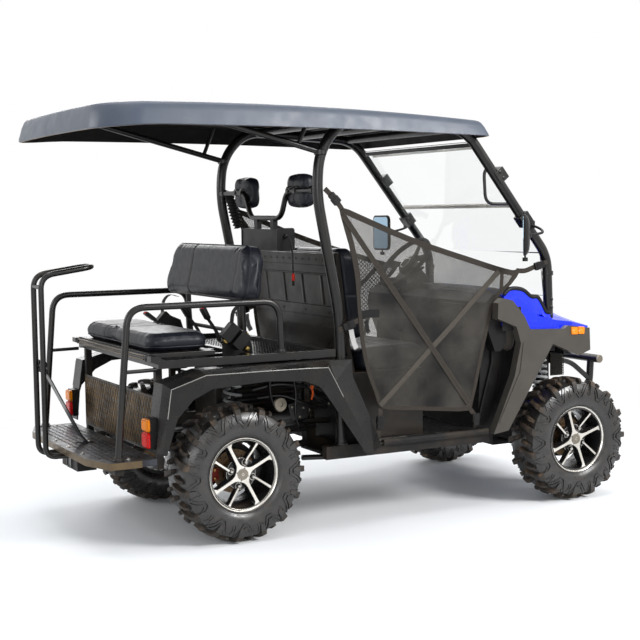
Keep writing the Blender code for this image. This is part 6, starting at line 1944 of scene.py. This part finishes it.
def mirror_arm(form, back, look):
    """Bent arm from the head's back to its bolted foot on the pillar."""
    x, z = MIRROR_FOOT
    form.tube(smooth_path([(x, 0.572, z), (1.592, 0.622, 1.352), (1.560, 0.680, 1.334),
                           (back.x + 0.012, back.y, 1.326), (back.x - 0.002, back.y, 1.325)], 5), 0.0062, 12)
    form.turned([(0.0, 0.020), (0.006, 0.018), (0.012, 0.010), (0.013, 0.0)], back, -look, 28)
    foot = rounded_rect(x - 0.025, x + 0.025, z - 0.020, z + 0.020, 0.006, 4)
    form.slab(foot, 0.5485, 0.5570)
    form.slab(foot, 0.5620, 0.5750)
    form.turned([(0.0, 0.014), (0.008, 0.013), (0.012, 0.009)], (x, 0.566, z), Y_AXIS, 28)
    for bolt_x, bolt_z in ((1.554, 1.384), (1.590, 1.360)):
        form.bolt((bolt_x, 0.575, bolt_z), Y_AXIS, 0.0042)


def mirrors():
    """Mirrors on bent arms; the left one looks almost straight back, the right one is turned in."""
    for side_name, side in SIDES:
        turn = MIRROR_TURNS[side_name]
        look = Vector((-math.cos(turn), -math.sin(turn), 0))
        across = Vector((-look.y, look.x, 0))
        form = Form(side)
        form.skin(mirror_rings(look, across, ((0.0, 0.004), (0.004, 0.0), (0.012, 0.002), (0.021, 0.012),
                                              (0.028, 0.030), (0.031, 0.055)), 0.022))
        form.paint(1)
        form.skin(mirror_rings(look, across, ((0.0005, 0.010), (-0.0012, 0.010), (-0.0016, 0.012)), 0.018))
        form.paint(0)
        mirror_arm(form, MIRROR_AT - look * 0.026, look)
        x, y = MIRROR_AT.x + 0.010, MIRROR_AT.y
        form.tube([(x, y, 1.228), (x, y, 1.216)], 0.0045, 12)
        form.deck(rounded_rect(x - 0.011, x + 0.011, y - 0.009, y + 0.009, 0.003, 3), 1.199, 1.217)
        form.done(f"mirror_head_{side_name}", [DARK, MIRROR], bevel=0.001, slot="dark_plastic",
                  replaces=[f"mirror_{side_name}"])


def glass_strips():
    """Frosted joint strips and the visor strip of the windshield."""
    form = Form()
    lean = Vector((1.502 - 1.307, 0, 1.474 - 1.747)).normalized()
    out = Vector((-lean.z, 0, lean.x))
    def strip(top, drop, half, proud, thick):
        a, b = Vector(top), Vector(top) + lean * drop
        rings = []
        for y in (-half, half):
            side = Vector((0, y, 0))
            rings.append([a + side + out * proud, b + side + out * proud, b + side + out * (proud + thick),
                          a + side + out * (proud + thick)])
        form.skin(rings)
    strip((1.500, 0, 1.4765), 0.020, 0.500, 0.0035, 0.003)
    strip((1.500, 0, 1.4765), 0.020, 0.500, -0.0070, 0.003)
    strip((1.304, 0, 1.7510), 0.014, 0.505, 0.0035, 0.003)
    form.paint(1)
    strip((1.268, 0, 1.7700), 0.020, 0.505, -0.0080, 0.004)
    for y in (-0.42, -0.14, 0.14, 0.42):
        form.bolt((1.5045, y, 1.4640), out, 0.004)
    form.done("windshield_strips", [FROST, DARK], slot="clear")


def kick_relief():
    """Diamond lattice pressed into the kick panel."""
    low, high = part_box("kick_panel")
    x = low.x - ORIGIN_X
    form = Form()
    y0, y1, z0, z1 = low.y + 0.010, high.y - 0.010, low.z + 0.010, high.z - 0.010
    pitch, slope = 0.034, 1.9
    reach = (z1 - z0) / slope
    for k in range(int((y1 - y0 + reach) / pitch) + 1):
        for hand in (-1, 1):
            foot = y0 - reach + pitch * (k + 0.5)
            start, stop = max((y0 - foot) / reach, 0.0), min((y1 - foot) / reach, 1.0)
            if stop - start < 0.05:
                continue
            path = []
            for step in range(2):
                t = start + (stop - start) * step
                path.append((x - 0.0006, (foot + reach * t) * hand, z0 + (z1 - z0) * t))
            form.ribbon(path, 0.0038, 0.0026, (0, slope, -hand))
    form.done("kick_lattice", LATTICE, angle=20, slot="black_steel")


def platform_lip():
    """Folded steel lip under the platform's edge, and the hitch's receiver."""
    low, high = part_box("foot_platform")
    x0 = low.x - ORIGIN_X
    half = high.y
    form = Form()
    # The lip is drawn in lit steel, a painted highlight.
    for side in (-1, 1):
        outline = [(x0 - 0.0012, 0.0), (x0 - 0.0012, (half - 0.165) * side),
                   (x0 + 0.055, (half + 0.0012) * side),
                   (-0.460, (half + 0.0012) * side)]
        rings = []
        for x, y in outline:
            rings.append([(x, y, 0.3795), (x, y, 0.4092), (x + 0.0022, y - 0.0015 * side, 0.4092),
                          (x + 0.0022, y - 0.0015 * side, 0.3795)])
        form.skin(rings)
    form.paint(1)
    square = rounded_rect(-0.034, 0.034, 0.2990, 0.3490, 0.006)
    hollow = rounded_rect(-0.027, 0.027, 0.3060, 0.3420, 0.004)
    form.skin([[(x, y, z) for y, z in loop] for x, loop in
               ((-0.585, square), (-0.6040, square), (-0.6040, hollow), (-0.6005, hollow))])
    form.done("platform_lip", [PAINTED_LIT_STEEL, BLACK], slot="black_steel")


def amber_markers():
    """Two small lenses side by side on each front fender."""
    for side_name, side in SIDES:
        form = Form(side)
        for x0, x1 in ((1.782, 1.8215), (1.8235, 1.863)):
            form.skin([[(x + i * a, y, z + i * b)
                        for x, z, a, b in ((x0, 0.826, 1, 1), (x1, 0.824, -1, 1), (x1, 0.860, -1, -1),
                                                                      (x0, 0.863, 1, -1))]
                       for y, i in ((0.6205, 0.0), (0.6275, 0.0), (0.6295, 0.003))])
        form.done(f"side_marker_{side_name}", AMBER, bevel=0.0015, slot="lamp_red")


def shock_guard():
    """Perforated plate beside each front shock, with a backing in lit steel, a painted highlight."""
    for side_name, side in SIDES:
        form = Form(side)
        perforated(form, (1.812, 0.4190, 0.596), (1, 0, 0), (0, 0, 1), (0.084, 0.150), 0.012, 0.0040, -0.0025)
        form.slab([(1.800, 0.740), (1.905, 0.740), (1.905, 0.790), (1.800, 0.790)], 0.400, 0.560)
        form.paint(1)
        form.slab([(1.814, 0.598), (1.894, 0.598), (1.894, 0.744), (1.814, 0.744)], 0.4135, 0.4150)
        form.done(f"shock_guard_{side_name}", [DARK, PAINTED_LIT_STEEL], angle=20, slot="dark_plastic")


def side_panels():
    """Black panel between the door opening and the front wheel, with its moulded pocket."""
    for side_name, side in SIDES:
        form = Form(side)
        form.slab([(1.300, 0.400), (1.372, 0.366), (1.440, 0.400), (1.512, 0.520), (1.548, 0.790),
                   (1.560, 0.930),
                   (1.500, 1.000), (1.392, 1.000), (1.360, 0.930), (1.330, 0.840)], 0.500, 0.506)
        for x, z in ((1.395, 0.470), (1.430, 0.620), (1.462, 0.740), (1.420, 0.540), (1.500, 0.880)):
            form.bolt((x, 0.506, z), (0, 1, 0), 0.0035)
        form.slab([(1.388, 0.500), (1.408, 0.505), (1.452, 0.680), (1.436, 0.684)], 0.505, 0.511)
        form.paint(1)
        rings = []
        for z, grow, shift in ((0.925, 1.0, 0.0), (0.918, 1.04, 0.0), (0.860, 0.96, 0.006),
                               (0.800, 0.74, 0.018),
                               (0.765, 0.44, 0.032), (0.752, 0.10, 0.040)):
            ring = []
            for x, y in rounded_rect(-0.060, 0.060, 0.0, 0.052, 0.024, 5):
                ring.append((1.440 + x * grow + shift, 0.505 + y * grow, z))
            rings.append(ring)
        form.skin(rings)
        form.paint(0)
        form.deck([(1.440 + x * 0.80, 0.508 + y * 0.80)
                   for x, y in rounded_rect(-0.060, 0.060, 0.0, 0.052, 0.020, 5)],
                  0.9245, 0.9262)
        form.slab([(1.388, 0.862), (1.500, 0.862), (1.500, 0.975), (1.388, 0.975)], 0.5910, 0.5930)
        form.done(f"side_panel_{side_name}", [DARK, COWL], bevel=0.002, slot="dark_plastic")


COWL_X = (1.409, 1.430, 1.455, 1.480, 1.510, 1.540, 1.570, 1.600)
COWL_HALF = 0.515
COWL_COLUMNS = 30
COWL_LIFTS = (0.0022, 0.0002)


def inner_cowl():
    """Black plastic over the part of the hood that lies behind the windshield."""
    hood = bpy.data.objects["hood"]
    form = Form()
    layers = []
    for lift in COWL_LIFTS:
        rows = []
        for x in COWL_X:
            row = []
            for k in range(COWL_COLUMNS + 1):
                y = COWL_HALF * (k / (COWL_COLUMNS / 2) - 1)
                spot = hood.ray_cast(at((x, y, 1.30)), -Z_AXIS)[1]
                row.append(form.vert((x, y, spot.z + lift)))
            rows.append(row)
        layers.append(rows)
    rims = []
    for rows in layers:
        for a, b in zip(rows, rows[1:]):
            for k in range(COWL_COLUMNS):
                form.face((a[k], a[k + 1], b[k + 1], b[k]))
        right = [row[-1] for row in rows[1:-1]]
        left = [row[0] for row in rows[-2:0:-1]]
        rims.append(rows[0] + right + rows[-1][::-1] + left)
    form.bridge(*rims)
    form.done("inner_cowl", DARK, angle=40, slot="dark_plastic")


REAR_EDGE = [(-0.372, 0.590), (-0.353, 0.713), (-0.193, 0.763), (0.100, 0.762), (0.300, 0.760),
             (0.395, 0.757),
             (0.430, 0.694), (0.470, 0.620)]


def fender_edges():
    """Lighter line along the corner between each rear fender's flank and its chamfer: a painted highlight
    where the rounded edge would catch the light.
    """
    for side_name, side in SIDES:
        form = Form(side)
        form.tube([(x, 0.6588, z - 0.0006) for x, z in REAR_EDGE], 0.0021, 8)
        form.done(f"fender_edge_{side_name}", PAINTED_HIGHLIGHT_STRIP, slot="dark_plastic")


HOOD_RIDGE = [(1.412, 1.034), (1.451, 1.062), (1.524, 1.055), (1.576, 1.019), (1.618, 1.013), (1.662, 0.945),
              (1.690, 0.935)]


def hood_trim():
    """Black ridge along the hood's shoulder over a raised blue flank."""
    for side_name, side in SIDES:
        form = Form(side)
        top = smooth_path([(x, 0.0, z) for x, z in HOOD_RIDGE], 4)
        rings = []
        for p in top:
            rings.append([(p.x, 0.520, p.z), (p.x, 0.572, p.z - 0.004), (p.x, 0.588, min(p.z - 0.060, 0.930)),
                          (p.x, 0.520, min(p.z - 0.060, 0.930))])
        form.skin(rings)
        form.paint(1)
        form.tube([(p.x, 0.570, p.z + 0.001) for p in top], 0.0105, 12)
        form.tube([(p.x, 0.528, p.z + 0.001) for p in top], 0.0060, 12)
        form.done(f"hood_shoulder_{side_name}", [BLUE, DARK], angle=40, slot="blue_plastic")


def rolled_net():
    """Folded spare strap, tied in ridges to the left hoop."""
    form = Form()
    low, high = Vector((0.492, 0.500, 1.368)), Vector((0.446, 0.506, 1.548))
    axis = (high - low).normalized()
    span = (high - low).length
    profile = [(0.0, 0.008)]
    ridges = 10
    for k in range(ridges * 6 + 1):
        t = k / (ridges * 6)
        swell = 0.019 + 0.006 * math.sin(math.pi * t)
        profile.append((0.004 + (span - 0.008) * t, swell + 0.0045 * math.cos(2 * math.pi * ridges * t)))
    profile.append((span, 0.008))
    form.turned(profile, low, axis, 28)
    form.ribbon(smooth_path([(0.447, 0.512, 1.552), (0.430, 0.528, 1.560), (0.422, 0.540, 1.566)], 4),
                0.020, 0.003, (0, 0, 1))
    form.done("rolled_strap", GRIP, angle=60, slot="net_cloth")


def sound_box_ends(x0, x1, y_end):
    """End caps of the box, each with its knob and two screws."""
    form = Form()
    for side in (-1, 1):
        y = y_end * side
        outline = rounded_rect(x0 - 0.004, x1 + 0.004, 1.266, 1.374, 0.012)
        form.slab(outline, y - side * 0.001, y + side * 0.004)
        out = (0, side, 0)
        form.turned([(0.0, 0.011), (0.010, 0.010), (0.012, 0.007), (0.0125, 0.0)],
                    (x0 + 0.040, y + side * 0.004, 1.335), out, 24)
        form.bolt((x0 + 0.014, y + side * 0.004, 1.290), out, 0.004)
        form.bolt((x1 - 0.014, y + side * 0.004, 1.290), out, 0.004)
    form.done("sound_box_ends", DARK, bevel=0.0012, slot="dark_plastic")


WIRE_DIAMETER = 0.007


def sound_box_wire(x, y):
    """Short wire that hangs from the box's right end, with its connector."""
    route = ((0.0, 0.0, 1.335), (0.002, 0.016, 1.334), (0.007, 0.026, 1.315), (0.014, 0.026, 1.280),
             (0.018, 0.024, 1.240), (0.020, 0.022, 1.200), (0.021, 0.021, 1.160))
    path = smooth_path([(x + ahead, y - out, z) for ahead, out, z in route], 4)
    wire = Form()
    wire.tube(path, WIRE_DIAMETER / 2, 12)
    cord = wire.done("sound_box_wire", GRIP, slot="dark_plastic")
    plug = Form()
    foot = path[-1]
    plug.paint(0).turned([(0.0, 0.0045), (-0.006, 0.0075), (-0.030, 0.0080), (-0.034, 0.0060), (-0.034, 0.0)],
                         foot, Z_AXIS, 20)
    plug.paint(1).turned([(-0.034, 0.0050), (-0.040, 0.0062), (-0.058, 0.0058), (-0.060, 0.0)], foot,
                         Z_AXIS, 20)
    connector = plug.done("sound_box_plug", [RED_PART, GRIP], slot="dark_plastic")
    length = sum((b - a).length for a, b in zip(path, path[1:]))
    tuple(at(path[0]))
    [tuple(at(p)) for p in path]


def sound_box_parts():
    low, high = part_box("sound_box")
    x0, x1 = low.x - ORIGIN_X, high.x - ORIGIN_X
    dress("sound_box", DARK, 0.010, 4)
    sound_box_ends(x0, x1, high.y)
    sound_box_wire(x0 + 0.040, -high.y - 0.016)


HOSES = (
    (((0.160, -0.355, 0.640), (0.280, -0.372, 0.665), (0.430, -0.372, 0.640), (0.560, -0.350, 0.590)), 0.010),
    (((0.180, -0.360, 0.600), (0.300, -0.380, 0.612), (0.420, -0.378, 0.560), (0.540, -0.350, 0.530)), 0.008),
    (((0.200, -0.350, 0.440), (0.330, -0.378, 0.425), (0.480, -0.360, 0.450)), 0.009),
    (((0.360, -0.376, 0.690), (0.375, -0.382, 0.600), (0.360, -0.380, 0.520), (0.400, -0.360, 0.440)), 0.007),
    (((0.420, -0.372, 0.680), (0.450, -0.380, 0.620), (0.500, -0.372, 0.560), (0.590, -0.350, 0.540)), 0.006),
    (((0.240, -0.382, 0.700), (0.232, -0.386, 0.620), (0.262, -0.384, 0.540)), 0.006),
)


def exhaust(form):
    """Silencer with its tail pipe, and a round cover above it."""
    form.turned([(-0.13, 0.030), (-0.125, 0.048), (-0.05, 0.052), (0.08, 0.052), (0.125, 0.048),
                 (0.13, 0.030)],
                (0.300, -0.325, 0.500), (1, 0, 0.06), 36)
    form.paint(1)
    pipe = [(0.430, -0.335, 0.505), (0.470, -0.330, 0.520), (0.500, -0.290, 0.480), (0.520, -0.240, 0.420)]
    form.tube(smooth_path(pipe, 6), 0.013, 18)
    form.turned([(0.0, 0.035), (-0.008, 0.035), (-0.013, 0.030), (-0.0135, 0.012), (-0.010, 0.011),
                 (-0.010, 0.0)],
                (0.286, -0.380, 0.566), Y_AXIS, 36)
    form.paint(0)


def engine_fittings():
    """Exhaust, hoses, stays and covers beside the engine, seen through the wheel arch."""
    form = Form()
    exhaust(form)
    for points, radius in HOSES:
        form.tube(bent(points, 0.05, 6), radius, 14)
    for z in (0.475, 0.300):
        form.tube([(0.414, -0.352, z), (0.600, -0.352, z - 0.012)], 0.013, 18)
    form.slab([(0.330, 0.560), (0.400, 0.572), (0.440, 0.540), (0.430, 0.490), (0.350, 0.486)], -0.378,
              -0.368)
    form.paint(2)
    form.tube(bent([(0.452, -0.384, 0.632), (0.458, -0.386, 0.605), (0.450, -0.384, 0.576)], 0.012, 5),
              0.0052, 14)
    form.turned([(0.0, 0.009), (-0.006, 0.009), (-0.008, 0.005)], (0.452, -0.380, 0.634), Y_AXIS, 20)
    form.paint(1)
    for x, z in ((0.352, 0.548), (0.412, 0.540), (0.392, 0.500), (0.240, 0.440), (0.545, 0.545)):
        form.bolt((x, -0.378, z), (0, -1, 0), 0.0042)
    form.done("engine_fittings", [BLACK, CAP_GREY, ORANGE_PART], slot="iron")


def engine_fins():
    """Cooling fins along both sides of the engine block."""
    fins = Form()
    low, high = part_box("engine")
    x0, x1 = low.x - ORIGIN_X + 0.02, high.x - ORIGIN_X - 0.02
    for k in range(12):
        z = low.z + 0.03 + (high.z - low.z - 0.06) * k / 11
        for y in (low.y, high.y):
            out = 0.006 if y > 0 else -0.006
            fins.slab([(x0, z - 0.004), (x1, z - 0.004), (x1, z + 0.004), (x0, z + 0.004)], y, y + out)
    fins.done("engine_fins", CHASSIS, bevel=0.0015, slot="iron")


def gauges(form):
    """Dial in its cluster, a row of four switches and a lidded box."""
    form.turned([(-0.004, 0.043), (0.004, 0.043), (0.010, 0.040), (0.010, 0.036), (0.006, 0.035),
                 (0.006, 0.0)],
                (1.3335, 0.280, 1.036), (-0.85, 0, 0.5), 44)
    form.sheet_x(rounded_rect(0.195, 0.365, 0.984, 1.084, 0.018), 1.326, 1.340)
    form.paint(1)
    for y in (-0.12, -0.06, 0.00, 0.06):
        form.sheet_x(rounded_rect(y - 0.016, y + 0.016, 0.975, 0.995, 0.004, 3), 1.310, 1.294)
    form.paint(0)
    form.sheet_x(rounded_rect(-0.400, -0.180, 0.860, 0.985, 0.015), 1.292, 1.314)


def shift_lever(form):
    form.paint(2)
    form.tube(bent([(1.250, 0.060, 0.3850), (1.235, 0.060, 0.700), (1.205, 0.060, 0.830)], 0.08, 8), 0.0085,
              16)
    form.paint(1)
    form.turned([(0.0, 0.012), (0.008, 0.021), (0.030, 0.024), (0.046, 0.018), (0.050, 0.0)],
                (1.206, 0.060, 0.825), (-0.2, 0, 1), 28)


def pedals(form):
    """Two pedals, each a tilted pad on a bent arm."""
    for y in (0.200, 0.330):
        form.paint(2)
        form.tube(bent([(1.345, y, 0.640), (1.310, y, 0.560), (1.275, y, 0.470)], 0.05, 6), 0.0075, 14)
        form.paint(1)
        pad = rounded_rect(-0.030, 0.030, -0.045, 0.045, 0.010)
        form.skin([[(1.272 + d * 0.9, y + a, 0.470 + b + d * 0.45) for a, b in pad] for d in (-0.008, 0.006)])


def steering_column(form):
    """Column below the hub, with a stalk on each side."""
    hub = STEER_HUB - STEER_AXIS * 0.055
    form.turned([(-0.115, 0.034), (-0.105, 0.036), (-0.020, 0.038), (0.0, 0.030)], hub, STEER_AXIS, 32)
    for hand in (1, -1):
        foot = hub - STEER_AXIS * 0.020 + Vector((0, 0.030 * hand, 0))
        tip = hub + STEER_AXIS * 0.005 + Vector((0, 0.125 * hand, 0.010))
        form.tube([foot, tip], 0.0065, 14)


def dash_parts():
    form = Form()
    gauges(form)
    shift_lever(form)
    pedals(form)
    steering_column(form)
    form.done("dash_fittings", [DARK, GRIP, CAP_GREY], angle=32, slot="dark_plastic")


FLOOR_TOP_Z = 0.3833


def floor_details():
    """Tread on the floor, and the bright strips by the sill."""
    form = Form()
    outline = [(1.005, -0.505), (1.265, -0.505), (1.265, 0.505), (1.005, 0.505)]
    tread_field(form, outline, lambda u, v: (u, v, FLOOR_TOP_Z), X_AXIS, Y_AXIS, Z_AXIS, 0.030)
    form.done("floor_tread", PLATE, slot="black_steel")
    strips = Form()
    for side in (-1, 1):
        for x0, x1 in ((0.705, 0.880), (1.040, 1.150)):
            low, high = sorted((0.512 * side, 0.548 * side))
            strips.box((x0, low, 0.3812), (x1, high, 0.3840))
        low, high = sorted((0.5725 * side, 0.5748 * side))
        strips.box((0.640, low, 0.3690), (1.300, high, 0.3770))
    strips.done("sill_strips", SILL, bevel=0.0008, slot="black_steel")


def front_details():
    """Lamp bezels and the bars of the grille."""
    form = Form()
    for side in (-1, 1):
        low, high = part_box("headlamp_left" if side > 0 else "headlamp_right")
        x = high.x - ORIGIN_X
        form.paint(0)
        outer = rounded_rect(low.y - 0.006, high.y + 0.006, low.z - 0.006, high.z + 0.006, 0.016)
        inner = rounded_rect(low.y + 0.006, high.y - 0.006, low.z + 0.006, high.z - 0.006, 0.012)
        form.skin([[(d, y, z) for y, z in loop]
                   for d, loop in ((x - 0.006, outer), (x + 0.004, outer), (x + 0.004, inner),
                                                                 (x - 0.006, inner))], loop=True)
    for k in range(3):
        z = 0.752 + 0.026 * k + 0.0045
        form.tube([(1.974, -0.205, z), (1.979, 0.0, z), (1.974, 0.205, z)], 0.0040, 12)
    form.done("lamp_bezels", DARK, slot="dark_plastic")


def build():
    floor_plane()
    lamps()
    white_world()
    camera()
    dress_cad()
    roof()
    wheels()
    cage()
    for side_name, side in SIDES:
        net(side_name, side)
    rear_cushion()
    rear_backrest()
    front_cushion()
    front_backrest()
    headrests()
    platform()
    hand_rails()
    grab_bar()
    tail_lamps()
    shocks()
    steering()
    bull_bar()
    seat_back_details()
    deck_details()
    belts()
    mirrors()
    glass_strips()
    kick_relief()
    platform_lip()
    amber_markers()
    shock_guard()
    side_panels()
    fender_edges()
    inner_cowl()
    hood_trim()
    rolled_net()
    sound_box_parts()
    engine_fittings()
    engine_fins()
    dash_parts()
    floor_details()
    front_details()


build()
bpy.context.view_layer.update()
